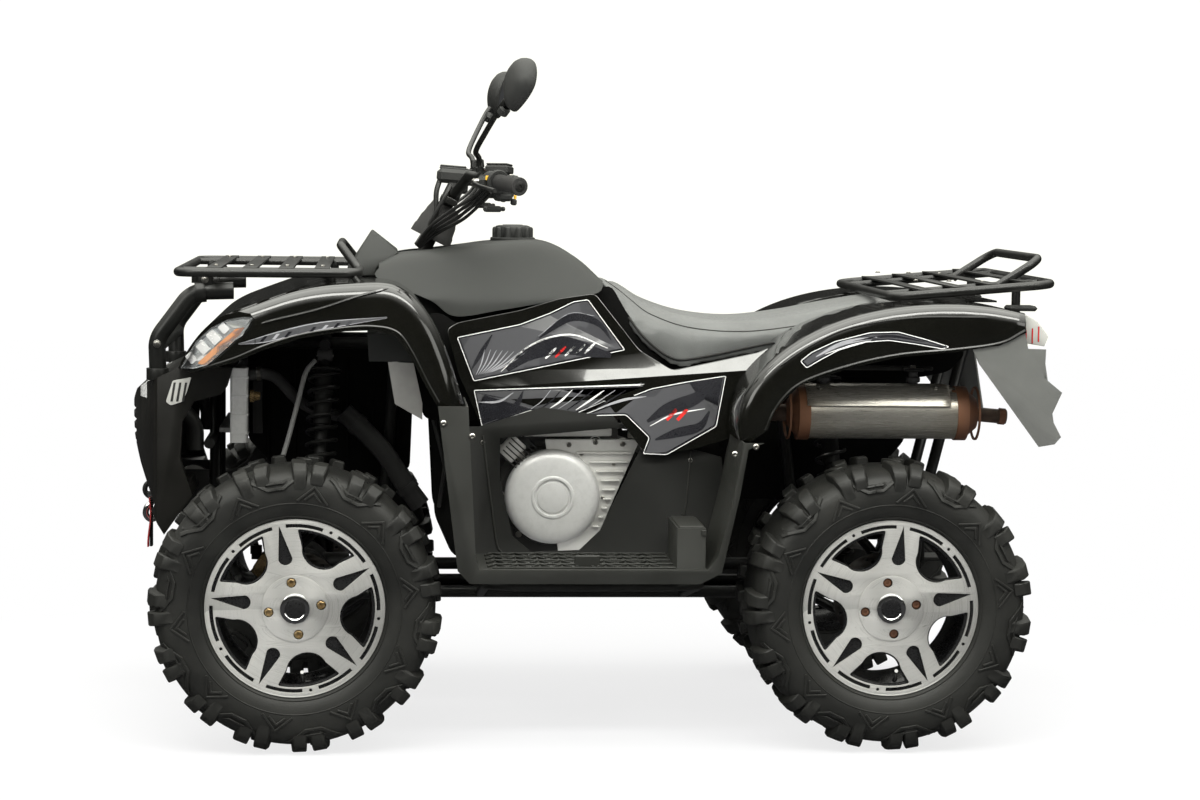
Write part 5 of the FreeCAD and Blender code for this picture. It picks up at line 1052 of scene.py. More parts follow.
def build_discs():
    """Brake discs with drilled faces, hubs, and the rear half shafts."""
    for name, (x, y, wide, phase) in WHEELS.items():
        rear = name.startswith("rear")
        drilled = [ring_points(4.2, 10, polar(radius, 30 * index + shift)) for index in range(12)
                   for radius, shift in ((74.0, 0), (84.5, 12), (94.0, 20))]
        disc = plate(ring_points(104.0, 96), drilled + [ring_points(62.0, 64)], 4.0, 0.4)
        form = flat_to_wheel(disc, -DISC_FACE)
        seat = abs(y) + wide / 2 * BEAD_SHARE - 19.0
        hub = [(424.0, 66.0), (424.0, 58.0), (450.0, 54.0), (452.0, 34.0), (seat - 8, 32.5),
               (seat - 6, 66.0), (seat, 66.0), (seat, 13.0), (450.0, 13.0), (449.0, 50.0), (424.0, 55.0)]
        form.turned([(-along, radius) for along, radius in hub], ORIGIN, RIGHT, 64, 1)
        for index in range(6):
            spot = polar(60.0, 60 * index + 15)
            form.join(bolt((spot[0], -DISC_FACE - 2.0, spot[1]), LEFT, 4.5, 4.5), 1)
        if rear:
            form.rod((0, -452, 0), (0, -78, 0), 12, 24, 1)
            boot = [(-92, 34), (-98, 40), (-108, 31), (-114, 38), (-124, 27), (-130, 34), (-140, 22),
                    (-146, 27), (-156, 14)]
            form.turned([(-78, 12), (-80, 36)] + boot + [(-162, 12)], ORIGIN, RIGHT, 36, 2)
            outer = [(-300, 12), (-306, 18), (-312, 26), (-318, 21), (-324, 30), (-330, 25), (-336, 34),
                     (-342, 28), (-345, 12)]
            form.turned(outer, ORIGIN, RIGHT, 36, 2)
        else:
            form.turned([(-450.0, 30.0), (-seat + 4, 30.0), (-seat + 2, 12.8)], ORIGIN, RIGHT, 40, 1)
        if y > 0:
            form = form.opposite()
        piece("brake_disc_%s_dressed" % name, form.moved(x, 0, HUB_Z),
              ["disc_steel", "cast_black", "grip_rubber"],
              ["brake_disc_" + name], "wheel_" + name, chart=dial_chart(x, HUB_Z))


# Stage

def build_stage():
    """Pale floor, soft lamps, white surround and the camera at the photograph's place."""
    floor = bpy.data.meshes.new("Floor")
    reach = 14.0
    floor.from_pydata([(-reach, -reach, 0), (reach, -reach, 0), (reach, reach, 0), (-reach, reach, 0)], [],
                      [(0, 1, 2, 3)])
    ground = linked("Floor", floor)
    shade = Shade("floor_pale", (0.85, 0.85, 0.90), 0.9, 0.0, **{"Specular IOR Level": 0.1})
    tree = shade.tree
    light_path = shade.add("LightPath")
    far = shade.add("VectorMath", {0: shade.place((0.42, 0.75, 1.0))}, operation="LENGTH").outputs["Value"]
    away = shade.span(far, 0.78, 1.0, 0.55, 1.15)
    glow = shade.add("Emission", {"Color": (1, 1, 1, 1), "Strength": 1.0})
    mixed = shade.add("MixShader", {"Fac": shade.sum(light_path.outputs["Is Camera Ray"], away,
                                                     "MULTIPLY")})
    tree.links.new(shade.shader.outputs[0], mixed.inputs[1])
    tree.links.new(glow.outputs[0], mixed.inputs[2])
    dim = shade.add("Emission", {"Color": (1, 1, 1, 1), "Strength": 0.05})
    seen = shade.add("MixShader", {"Fac": light_path.outputs["Is Glossy Ray"]})
    tree.links.new(mixed.outputs[0], seen.inputs[1])
    tree.links.new(dim.outputs[0], seen.inputs[2])
    tree.links.new(seen.outputs[0], tree.nodes["Material Output"].inputs["Surface"])
    floor.materials.append(shade.material)

    world = bpy.data.worlds.new("Surround")
    world.use_nodes = True
    bpy.context.scene.world = world
    nodes, links = world.node_tree.nodes, world.node_tree.links

    def level(low, high, bottom, top):
        """Strength by height of the direction looked in."""
        node = nodes.new("ShaderNodeMapRange")
        node.interpolation_type = "SMOOTHSTEP"
        for name, value in (("From Min", low), ("From Max", high), ("To Min", bottom), ("To Max", top)):
            node.inputs[name].default_value = value
        links.new(height.outputs["Z"], node.inputs["Value"])
        return node.outputs[0]

    def choose(share, first, second):
        node = nodes.new("ShaderNodeMix")
        links.new(share, node.inputs[0])
        for socket, value in ((node.inputs[2], first), (node.inputs[3], second)):
            if isinstance(value, float):
                socket.default_value = value
            else:
                links.new(value, socket)
        return node.outputs[0]

    path = nodes.new("ShaderNodeLightPath")
    height = nodes.new("ShaderNodeSeparateXYZ")
    links.new(nodes.new("ShaderNodeTexCoord").outputs["Generated"], height.inputs[0])
    soft = level(-0.1, 0.9, 0.55, 1.0)
    mirrored = level(0.22, 0.90, 0.03, 3.0)
    strength = choose(path.outputs["Is Glossy Ray"], soft, mirrored)
    strength = choose(path.outputs["Is Transmission Ray"], strength, 0.8)
    strength = choose(path.outputs["Is Camera Ray"], strength, 1.1)
    links.new(strength, nodes["Background"].inputs["Strength"])
    nodes["Background"].inputs["Color"].default_value = (1, 1, 0.93, 1)

    lamp("Top", (0.0, -0.5, 3.6), (0, 0, 0.5), (4.6, 2.4), 72.0)
    lamp("Strip", (0.1, -2.75, 3.5), (0.05, -0.2, 0.8), (5.2, 0.7), 135.0)
    lamp("Front left", (-3.6, -3.8, 2.8), (0, 0, 0.6), (2.2, 1.6), 45.0)
    lamp("Rear left", (3.4, -3.4, 2.2), (0.2, 0, 0.6), (1.8, 1.4), 22.0)

    camera = bpy.data.cameras.new("Camera")
    camera.sensor_width = 36.0
    camera.lens = 86.199
    camera.clip_end = 60.0
    eye = linked("Camera", camera)
    yaw, pitch, roll = math.radians(4.469), math.radians(4.632), math.radians(0.700)
    ahead = Vector((math.sin(yaw) * math.cos(pitch), math.cos(yaw) * math.cos(pitch), -math.sin(pitch)))
    right = ahead.cross(Vector(UP)).normalized()
    up = right.cross(ahead)
    right_rolled = right * math.cos(roll) + up * math.sin(roll)
    up_rolled = up * math.cos(roll) - right * math.sin(roll)
    matrix = Matrix((right_rolled, up_rolled, -ahead)).transposed().to_4x4()
    matrix.translation = Vector((-0.4743, -6.6905, 1.2675))
    eye.matrix_world = matrix
    bpy.context.scene.camera = eye
    bpy.context.scene.view_settings.view_transform = "Standard"


def lamp(name, place, aim, measures, power):
    data = bpy.data.lights.new(name, "AREA")
    data.shape = "RECTANGLE"
    data.size, data.size_y = measures
    data.energy = power
    data.color = (1.0, 1.0, 0.94)
    thing = linked(name, data)
    thing.location = place
    thing.rotation_euler = (Vector(aim) - Vector(place)).to_track_quat("-Z", "Y").to_euler()


# Bodywork

def surface(thing):
    """A search tree over a form or a CAD node, in millimetres."""
    form = thing if isinstance(thing, Form) else Form().take(frame["nodes"][thing].data)
    return BVHTree.FromPolygons(form.points, form.faces)


def draped(form, tree, lift=0.0, side=-1):
    """A form drawn about the centre plane, set on the surface that is met from one side."""
    beyond, beside = 700, 450
    made = form.turned_by(Matrix())
    for point in made.points:
        hit = tree.ray_cast(Vector((point.x, side * beyond, point.z)), Vector((0, -side, 0)))[0]
        if hit is None:
            hit = tree.find_nearest(Vector((point.x, side * beside, point.z)))[0]
        point.y += hit.y + side * lift
    return made


def overlay(drawn, tree, lift, thick, edge=0.0, holes=()):
    """A thin plate of the side view, laid on a surface."""
    return draped(flat_to_wheel(plate(drawn, list(holes), thick, edge), 0), tree, lift)


def on_surface(chain, count, tree, lift=0.0, side=-1):
    """A smooth curve of the side view, set on the surface that is met from one side."""
    return draped(Form().add(side_curve(chain, count), []), tree, lift, side).points


def shrunk(points, depth):
    """A closed outline drawn inwards by a depth."""
    area = sum(a[0] * b[1] - b[0] * a[1] for a, b in zip(points, points[1:] + points[:1]))
    way = 1 if area > 0 else -1
    made = []
    for index, here in enumerate(points):
        here = Vector(here)
        first = (here - Vector(points[index - 1])).normalized()
        second = (Vector(points[(index + 1) % len(points)]) - here).normalized()
        normal = Vector((-first.y - second.y, first.x + second.x)).normalized() * way
        spread = max(normal.dot(Vector((-first.y, first.x)) * way), 0.35)
        made.append(tuple(here + normal * depth / spread))
    return made


def decal(outline, tree, strokes=(), lift=0.9):
    """A printed label in layers: white line, black border, pale line, print and strokes of its own."""
    outline = softened_flat(outline, 5.0)
    made = Form()
    sheet = 0.4
    rings = [outline] + [shrunk(outline, depth) for depth in (1.7, 5.2, 6.2)]
    for mark, ring in enumerate(rings):
        made.join(flat_to_wheel(plate(ring, rings[mark + 1:mark + 2], sheet), 0), mark)
    for chain, widths, mark in strokes:
        path = side_curve(chain, 16)
        near, far = [], []
        for index, here in enumerate(path):
            along = (path[min(index + 1, 15)] - path[max(index - 1, 0)]).normalized()
            across = Vector((-along.z, 0, along.x))
            wide = widths[0] + (widths[1] - widths[0]) * math.sin(math.pi * index / 15)
            near.append(here + across * wide / 2)
            far.append(here - across * wide / 2)
        up = Vector((0, -0.5, 0))
        made.join(Form().grid([near, [p + up for p in near], [p + up for p in far], far], mark, close=True))
    return draped(made, tree, lift)


DECAL_LABELS = ["band_white", "band_black", "stroke_grey", "decal_print", "band_red", "print_grey"]


def panel_lift(x, z):
    """How far the side panel's lower half stands out, growing towards the rear."""
    crease = 770 + (x + 257) * 0.075
    out = min(max((x + 257) / 573, 0.0), 1.0) * 20
    return out if z < crease else max(out * (1 - (z - crease) / (3 + out * 2.6)), 0.0)


def cut_along(work, place, normal):
    """Cuts every face along a plane."""
    geometry = work.verts[:] + work.edges[:] + work.faces[:]
    bmesh.ops.bisect_plane(work, geom=geometry, dist=0.001, plane_co=place, plane_no=normal)


def panel_form():
    """The left side panel: a flat upper half, and a lower half that stands out under a sloping shelf."""
    drawn = [(-318, 902), (-293, 917), (-154, 945), (-65, 972), (16, 984), (116, 858), (190, 814),
             (388, 856), (412, 868),
             (322, 664), (233, 638), (128, 627), (36, 750), (-96, 738), (-242, 692), (-290, 800)]
    outline = [(spot.x, spot.y) for spot in softened([(x, z, 0) for x, z in drawn], 12, 3, True)]
    work = bmesh.new()
    flat = plate(outline, [], 4.0, 1.2)
    for point in flat.points:
        work.verts.new(point)
    work.verts.ensure_lookup_table()
    for face in flat.faces:
        try:
            work.faces.new([work.verts[corner] for corner in face])
        except ValueError:
            continue
    bmesh.ops.remove_doubles(work, verts=work.verts[:], dist=0.001)
    creases = [((-257, 770), (143, 800)), ((-257, 781), (143, 860)), ((143, 800), (316, 813)),
               ((143, 860), (412, 880))]
    for (x_a, z_a), (x_b, z_b) in creases:
        along = Vector((x_b - x_a, z_b - z_a, 0))
        cut_along(work, (x_a, z_a, 0), (-along.y, along.x, 0))
    for x in range(-240, 400, 40):
        cut_along(work, (x, 0, 0), AFT)
    work.verts.index_update()
    made = Form()
    lean = math.tan(math.radians(8.0))
    points = []
    for vertex in work.verts:
        x, z, deep = vertex.co
        y = -282.2 + (z - 692) * lean
        points.append((x, y - deep - (panel_lift(x, z) if deep > 0 else 0.0), z))
    made.add(points, [[vertex.index for vertex in face.verts] for face in work.faces])
    work.free()
    return made


def build_side_panels():
    form = panel_form()
    tree = surface(form)
    piece("side_panels_dressed", form.both(), ["gloss_plastic"], ["side_panels"], sharp=14)
    upper = [(-295, 884), (-154, 914), (-86, 940), (-33, 966), (0, 971), (84, 858), (-257, 786)]
    fan = [([(-252 + 5 * index, 800 + index), (-240 + 9 * index, 826), (-232 + 13 * index, 858 - index)],
            (0.8, 2.6), 5) for index in range(8)]
    sweep = [([(-182, 812), (-130, 850), (-60, 868), (10, 854), (52, 846)], (10, 40), 1),
             ([(-196, 808), (-128, 868), (-40, 892), (44, 862)], (1.2, 4.2), 0),
             ([(-110, 884), (-40, 930), (22, 918), (52, 880)], (2, 18), 1),
             ([(-112, 888), (-44, 938), (14, 934)], (0.8, 2.0), 5),
             ([(-262, 812), (-240, 850), (-216, 890)], (2, 10), 1)] + fan
    sweep += [([(-96 + 22 * index, 838 + 3 * index), (-84 + 22 * index, 850 + 3 * index),
                (-72 + 22 * index, 862 + 3 * index)],
               (3.0, 6.0), mark) for index, mark in enumerate((0, 4, 0, 0, 0))]
    lower = [(-257, 767), (128, 784), (-36, 712), (-129, 722), (-238, 684)]
    lines = [([(-232, 706), (-190, 712), (-160, 736), (-146, 766)], (2, 16), 1),
             ([(-246, 740), (-200, 742), (-168, 762)], (1, 5), 5)]
    lines += [([(-128 + 20 * index, 726 - (index > 3) * 2), (-104 + 21 * index, 744),
                (-84 + 24 * index, 769)], (1.0, 1.6 + 1.4 * (index % 3)),
               (5, 1, 0)[index % 3]) for index in range(8)]
    rear = [(-22, 710), (142, 774), (222, 790), (310, 804), (288, 690), (176, 626), (122, 628), (136, 664),
            (84, 714)]
    badge = [([(132, 700), (176, 728), (240, 752), (290, 790)], (6, 30), 1),
             ([(150, 660), (200, 676), (250, 690), (272, 724)], (4, 22), 1),
             ([(138, 690), (190, 716), (262, 730)], (1, 3.4), 0), ([(176, 704), (198, 728)], (7, 8), 4),
             ([(200, 704), (222, 728)], (7, 8), 4), ([(20, 728), (80, 748), (130, 756)], (1, 6), 5)]
    made = Form()
    for outline, strokes in ((upper, sweep), (lower, lines), (rear, badge)):
        made.join(decal(outline, tree, strokes))
    piece("side_panel_decals", made.both(), DECAL_LABELS)


def tank_form():
    """The tank cover as a smooth skin: humped along the top, rounded shoulders, sloping sides."""
    top = side_curve([(-470, 1046), (-424, 1067), (-352, 1076), (-282, 1085), (-219, 1094), (-131, 1100),
                   (-73, 1091), (-14, 1058), (36, 1012)], 60)
    low = side_curve([(-474, 1030), (-470, 1011), (-355, 965), (-299, 930), (-198, 944), (-63, 968),
                      (20, 983), (36, 1000)], 60)
    rows = []
    for high, under in zip(top, low):
        def half(z):
            return 236 - (z - 920) * 0.16 if z < 970 else 228 - (z - 970) * 0.731
        crown = high.z
        side = [(under, -half(under.z)), (Vector((high.x, 0, max(970, under.z + 2))),
                                          -half(max(970, under.z + 2))),
                (Vector((high.x, 0, crown - 2)), -half(crown)), (Vector((high.x, 0, crown)), 0)]
        chain = [Vector((spot.x, y, spot.z)) for spot, y in side]
        bent = softened(chain, 34, 5)
        rows.append(spaced(bent, 28) + [Vector((p.x, -p.y, p.z)) for p in spaced(bent, 28)[-2::-1]])
    return Form().grid(rows)


def build_tank():
    slot = Form().turned([(-120, 0), (-120, 61), (220, 61), (220, 0)], (-404, 0, 990), COLUMN_ALONG, 48)
    form = tank_form()
    piece("tank_cover_dressed", form, ["matte_plastic"], ["tank_cover"], carve=slot,
          wall=4.0, sharp=40)
    foot = (-160, 0, 1099.6)
    cap = Form().turned([(0, 40), (4, 42), (24, 42), (29, 39), (31, 33), (31.5, 0)], foot, UP, 60)
    lobe = Form().turned([(0, 8.5), (22, 8.5), (26, 6.8), (27.5, 3.5), (27.6, 0)], (-121, 0, 1099.6), UP,
                         20)
    cap.join(repeated(lobe, 10, UP, (-160, 0, 0), "matte_plastic"))
    groove = Form().turned([(31.2, 24), (32.4, 23), (32.4, 20), (31.2, 19)], foot, UP, 48, close=True)
    neck = Form().turned([(-6, 52), (1.5, 52), (3, 50), (3, 40)], foot, UP, 60)
    piece("fuel_cap_dressed", cap.join(groove).join(neck), ["dark_plastic"], ["fuel_cap"])
    dress("cowl", "matte_plastic", bevel=4.0)


def seat_rows(inset):
    """Rows across the seat from nose to tail, drawn in by an inset that the swelling makes up."""
    top = side_curve([(40, 1020), (60, 1017), (90, 994), (140, 962), (234, 932), (352, 921), (470, 934),
                      (588, 957), (700, 976), (738, 977), (752, 964)], 64)
    low = side_curve([(40, 1012), (46, 996), (52, 984), (86, 932), (128, 872), (195, 824), (262, 826),
                      (420, 860), (560, 882), (752, 922), (753, 936)], 64)
    rows = []
    for index, (high, under) in enumerate(zip(top, low)):
        end = min(index, 63 - index) / 5.0
        share = 1.0 if end >= 1 else 0.82 + 0.18 * math.sin(end * math.pi / 2)
        def half(z):
            wide = 196 if z < 900 else 196 - (z - 900) * 0.42
            return (wide - inset) * share
        crown = high.z - inset
        tall = crown - under.z
        skirt = 16 * share * min(max((high.x - 50) / 60, 0.0), 1.0)
        chain = [Vector((under.x, 0, under.z + inset)),
                 Vector((under.x, -half(under.z) + 26, under.z + inset)),
                 Vector((under.x, -half(under.z) + 9, under.z - skirt + inset)),
                 Vector((under.x, -half(under.z), under.z - skirt + min(12, tall * 0.2) + inset)),
                 Vector((under.x * 0.4 + high.x * 0.6, -half(under.z + tall * 0.5), under.z + tall * 0.5)),
                 Vector((high.x, -half(crown) + 5, crown - min(22, tall * 0.3))),
                 Vector((high.x, -half(crown) + 34, crown - 5)), Vector((high.x, -60, crown)),
                 Vector((high.x, 0, crown))]
        bent = flowing(chain, 30)
        rows.append(bent + [Vector((p.x, -p.y, p.z)) for p in bent[-2:0:-1]])
    return rows


def build_seat():
    """Seat pad, swelled by a short cloth run, with a sewn edge along its top and its lower rim."""
    rows = seat_rows(4.0)
    mesh = Form().grid(rows, wrap=True).capped(len(rows[0])).mesh("seat_pad")
    mesh = swelled(mesh, 0.007, 6.0)
    tree = BVHTree.FromPolygons([vertex.co / MM for vertex in mesh.vertices],
                                [list(face.vertices) for face in mesh.polygons])
    pad = piece("seat_pad", mesh, ["seat_cover"], ["seat"], levels=1, sharp=80)
    welts = Form()
    edge_top = [(52, 1006), (76, 990), (110, 962), (150, 934), (234, 906), (352, 897), (470, 909),
                (588, 932), (700, 952), (744, 952)]
    edge_low = [(58, 984), (92, 936), (136, 880), (198, 836), (262, 838), (420, 871), (560, 893),
                (744, 933)]
    for chain, radius in ((edge_top, 1.3), (edge_low, 3.0)):
        for side in (-1, 1):
            path = flowing(on_surface(chain, 40, tree, 0.2, side), 90)
            welts.tube(path, radius, 8, 0)
    piece("seat_welts", welts, ["grip_rubber"])


def swelled(mesh, cap, pressure):
    """The mesh after a short cloth run under pressure, no point moving further than the cap, in metres."""
    thing = linked("Swelling", mesh)
    remesh = thing.modifiers.new("Remesh", "REMESH")
    remesh.mode = "VOXEL"
    remesh.voxel_size = 0.0065
    thing.data = folded(thing)
    before = [vertex.co.copy() for vertex in thing.data.vertices]
    cloth = thing.modifiers.new("Cloth", "CLOTH")
    cloth.settings.quality = 4
    cloth.settings.mass = 0.3
    cloth.settings.tension_stiffness = 18
    cloth.settings.compression_stiffness = 18
    cloth.settings.bending_stiffness = 2.5
    cloth.settings.use_pressure = True
    cloth.settings.uniform_pressure_force = pressure
    cloth.settings.effector_weights.gravity = 0
    scene = bpy.context.scene
    for number in range(1, 21):
        scene.frame_set(number)
    moved = folded(thing)
    for vertex, old in zip(moved.vertices, before):
        step = vertex.co - old
        if step.length > cap:
            vertex.co = old + step.normalized() * cap
    scene.frame_set(1)
    bpy.data.objects.remove(thing)
    return moved


def build_front_fenders():
    dress("front_fenders", "gloss_plastic", bevel=1.4)
    tree = surface("front_fenders")
    trims = Form()
    fold = [(-720, 925), (-686, 934), (-602, 955), (-515, 984), (-450, 1002)]
    for side in (-1, 1):
        path = on_surface(fold, 30, tree, 0.0, side)
        trims.tube(path, [1.2] + [3.4] * (len(path) - 2) + [1.2], 8, 0)
        arch = [(-860, 818), (-777, 848), (-719, 874), (-638, 900), (-542, 916), (-478, 919), (-430, 907),
                (-398, 864), (-365, 800), (-340, 756)]
        lip = on_surface(arch, 70, tree, -1.0, side)
        trims.tube(lip, 4.2, 8, 0)
    piece("front_fender_trims", trims, ["gloss_plastic"])
    upper = side_curve([(-770, 880), (-681, 909), (-587, 930), (-452, 941)], 40)
    lower = side_curve([(-770, 878), (-712, 884), (-650, 899), (-587, 913), (-452, 938)], 40)
    strip = Form()
    inner = [(a.lerp(b, 0.12), a.lerp(b, 0.88)) for a, b in zip(upper, lower)]
    strip.join(Form().grid([upper, [a for a, b in inner]],
                           5)).join(Form().grid([[b for a, b in inner], lower], 5))
    strip.join(Form().grid([[a for a, b in inner], [b for a, b in inner]], 2))
    for index in range(8):
        x = -724 + 26 * index
        z = 886 + 0.19 * (x + 724)
        bar = Form().grid([[(x, -0.3, z), (x + 10, -0.3, z + 12)],
                           [(x + 7, -0.3, z), (x + 17, -0.3, z + 12)]], (1, 5, 1, 3)[index % 4])
        strip.join(bar)
    laid = draped(strip, tree, 0.8)
    piece("front_fender_decals", laid.both(), DECAL_LABELS, wall=0.3)


def build_rear_fenders():
    dress("rear_fenders", "gloss_plastic", bevel=1.4)
    tree = surface("rear_fenders")
    trims = Form()
    arch = [(372, 700), (396, 752), (448, 804), (558, 844), (667, 868), (789, 880), (888, 895), (942, 922)]
    fold = [(400, 838), (470, 886), (560, 926), (700, 948), (860, 950)]
    for side in (-1, 1):
        lip = on_surface(arch, 60, tree, -1.0, side)
        trims.tube(lip, 4.2, 8, 0)
        path = on_surface(fold, 40, tree, -0.6, side)
        trims.tube(path, [0.8] + [2.4] * (len(path) - 2) + [0.8], 8, 0)
    piece("rear_fender_trims", trims, ["gloss_plastic"])
    pads = Form()
    for x in (700, 975):
        for y in (-300, 300):
            pads.block((x, y, 962 if x > 800 else 952), (66, 60, 12), 5, 0)
    piece("rack_foot_pads", pads, ["dark_plastic"], bevel=1.0)
    band = [(445, 852), (470, 872), (521, 896), (598, 916), (660, 918), (722, 902), (775, 886), (760, 880),
            (700, 890), (640, 898), (590, 894), (530, 876), (486, 852), (460, 836)]
    strokes = [([(480, 862), (540, 892), (620, 906)], (2, 9), 5),
               ([(560, 896), (640, 908), (720, 896)], (1, 6), 1),
               ([(500, 868), (560, 888), (600, 898)], (1, 3), 0)]
    piece("rear_fender_decals", decal(band, tree, strokes).both(), DECAL_LABELS)


def build_footwells():
    for name, side in (("left", -1), ("right", 1)):
        node = "footwell_" + name
        # The inner wall faces take the darker second finish: painted shade in the footwell's recess.
        dress(node, ["well_plastic", "well_painted_shade"], bevel=3.0,
              tint=lambda centre: 1 if abs(centre.y) < 305 else 0)
        grate = Form()
        for x in range(-212, 172, 48):
            for y in (-496, -436, -376, -316):
                for way in (-1, 1):
                    turn = Matrix.Rotation(math.radians(32 * way), 3, "Z")
                    grate.block((x + 11 * way, y, 401.5), (5, 30, 5), 1, 0, turn)
        for y in (-524, -466, -406, -346, -292):
            grate.block((-22, y, 401.0), (400, 4, 4), 1, 0)
        grate.block((-14, -500, 412), (56, 8, 26), 2, 0).block((-14, -478, 404), (44, 44, 8), 2, 0)
        grate.block((211, -424, 489), (54, 190, 4), 1.5, 0).block((238, -527, 478), (10, 4, 12), 1, 0)
        heads = screws([((-330, -546, 716), LEFT), ((-268, -546, 688), LEFT), ((346, -546, 668), LEFT),
                        ((300, -546, 652), LEFT), ((232, -286.4, 612), LEFT), ((-236, -286.4, 650), LEFT)],
                       7.0, 3.0, 1)
        rim = [(-236, 666), (-217, 520), (-203, 424), (-192, 404)]
        ribs = Form().tube(side_curve(rim, 30, -289), 2.4, 8, 0)
        far = [(233, 632), (222, 500), (214, 492)]
        ribs.tube(side_curve(far, 30, -289), 2.0, 8, 0)
        form = grate.join(heads).join(ribs)
        piece(node + "_fittings", form if side < 0 else form.opposite(), ["well_plastic", "bolt_steel"])


def build_shade_skins():
    """Dark inner skins that close the sight through the frame, behind the dampers and under the seat."""
    liners = Form()
    shapes = [(66, [(-768, 846), (-768, 636), (-700, 566), (-470, 548), (-396, 566), (-386, 846)]),
              (66, [(236, 846), (236, 560), (300, 500), (640, 500), (760, 640), (770, 800), (640, 838)]),
              (236, [(-414, 926), (-396, 832), (-368, 700), (-318, 690), (-205, 700), (-205, 880),
                     (-300, 916), (-330, 938)]),
              (206, [(-430, 985), (-380, 985), (-300, 960), (-262, 940), (-262, 860), (-330, 850),
                     (-420, 870)]),
              (176, [(16, 992), (58, 1000), (92, 940), (140, 878), (205, 834), (430, 866), (430, 800),
                     (200, 776), (96, 820), (0, 930)]),
              (214, [(300, 800), (300, 640), (352, 610), (404, 690), (470, 800)]),
              (150, [(-352, 690), (-340, 470), (-300, 380), (-236, 352), (-236, 690)]),
              (140, [(430, 890), (860, 896), (884, 846), (846, 806), (780, 792), (430, 792)])]
    for y, drawn in shapes:
        flat = softened_flat(drawn, 16.0)
        for side in (-1, 1):
            liners.join(flat_to_wheel(plate(flat, [], 3.0, 0.8), side * y))
    for x in (-720, -660, -600, -540, -480, -430):
        for side in (-1, 1):
            liners.block((x, side * 69, 706), (7, 5, 236), 1.5, 0)
    duct = flowing([(-548, -150, 706), (-499, -152, 660), (-453, -150, 610), (-408, -148, 541),
                    (-372, -146, 492)], 40)
    liners.tube(duct, 23, 24, 1)
    for index in (6, 32):
        liners.turned([(-8, 22), (-8, 26), (8, 26), (8, 22)], duct[index], duct[index + 1] - duct[index],
                      28, 1, close=True)
    for index, (y, foot) in enumerate(((-196, (-300, -150, 520)), (-204, (-330, -160, 490)),
                                       (-190, (-262, -140, 560)))):
        cable = flowing([(-352 + 18 * index, y, 740), (-344 + 16 * index, y - 6, 690),
                         (-326 + 10 * index, y, 620), foot], 30)
        liners.tube(cable, 5.0, 10, 1)
    piece("painted_shade_skins", liners, ["shadow_black", "cable_black"])


def build_rear_trim():
    dress("mud_flaps", "flap_plastic", bevel=1.2)
    dress("inner_guards", ["matte_plastic", "bare_steel"], bevel=1.5,
          tint=lambda centre: 1 if centre.z < 836 and abs(centre.y) > 321 and centre.x > -450 else 0)
    dress("tail_lamps", ["red_lens", "pale_cover"], bevel=1.6,
          tint=lambda centre: 0 if centre.x > 1000 or 958 < centre.x + (centre.z - 890) * 0.4 < 972 else 1)
    marks = Form()
    for side in (-1, 1):
        for index in range(3):
            marks.block((950 + 14 * index, side * 471, 905 + 4 * index), (3, 2, 34), 0.8, 0)
    piece("tail_lamp_marks", marks, ["red_lens"])


# Nose, bull bar and winch

def build_bumper():
    dress("front_bumper", "bumper_plastic", bevel=3.0)
    slats = Form()
    for index in range(6):
        slats.block((-1004 + 1.28 * index, 0, 634 + 24 * index), (10, 296, 3.5), 1, 0)
    for y in (-110, -55, 0, 55, 110):
        slats.block((-998, y, 694), (5, 5, 130), 1, 0)
    piece("grille", slats, ["dark_plastic"])


def build_head_lamps():
    """Each head lamp: rim, amber strip, cover, four bulbs and a glass shell."""
    body = Form().take(frame["nodes"]["front_lamps"].data).take(frame["nodes"]["front_fenders"].data)
    tree = surface(body)
    outline = [(-902, 818), (-866, 880), (-832, 911), (-795, 931), (-762, 938), (-738, 938), (-750, 914),
               (-765, 898), (-800, 865), (-838, 830), (-870, 819)]
    lens = softened_flat(outline, 4)
    inner = overlay(lens, tree, 0.6, 1.6, 0.4)
    inner.join(overlay(lens, tree, 1.6, 3.0, 0.6, [shrunk(lens, 4.5)]), 2)
    strip = [(-846, 829), (-768, 898), (-756, 916), (-776, 912), (-812, 880), (-862, 832)]
    inner.join(overlay(softened_flat(strip, 3), tree, 2.2, 3.0, 0.5), 1)
    cover = [(-800, 925), (-744, 934), (-755, 917), (-782, 913)]
    inner.join(overlay(softened_flat(cover, 3), tree, 2.4, 3.0, 0.5), 3)
    for index, (wide, tall) in enumerate(((18, 26), (22, 32), (22, 34), (18, 24))):
        x, z = -884 + 24.5 * index, 834 + 23.0 * index
        drawn = [(x, z), (x + wide * 0.72, z + wide * 0.69),
                 (x + wide * 0.72 - tall * 0.62, z + wide * 0.69 + tall * 0.62),
                 (x - tall * 0.62, z + tall * 0.62)]
        bulb = softened_flat([(px + tall * 0.36, pz - tall * 0.20) for px, pz in drawn], 3)
        inner.join(overlay(bulb, tree, 2.4, 4.0, 0.6, [shrunk(bulb, 4.0)]), 0)
        inner.join(overlay(shrunk(bulb, 6.0), tree, 1.8, 2.4, 0.5), 2 if index == 1 else 3)
    shell = overlay(shrunk(lens, 1.0), tree, 5.0, 1.4)
    piece("head_lamp_glass", shell.both(), ["lamp_glass"], sharp=50)
    piece("head_lamp_inside", inner.both(), ["reflector", "amber_lens", "dark_plastic", "pale_cover"])


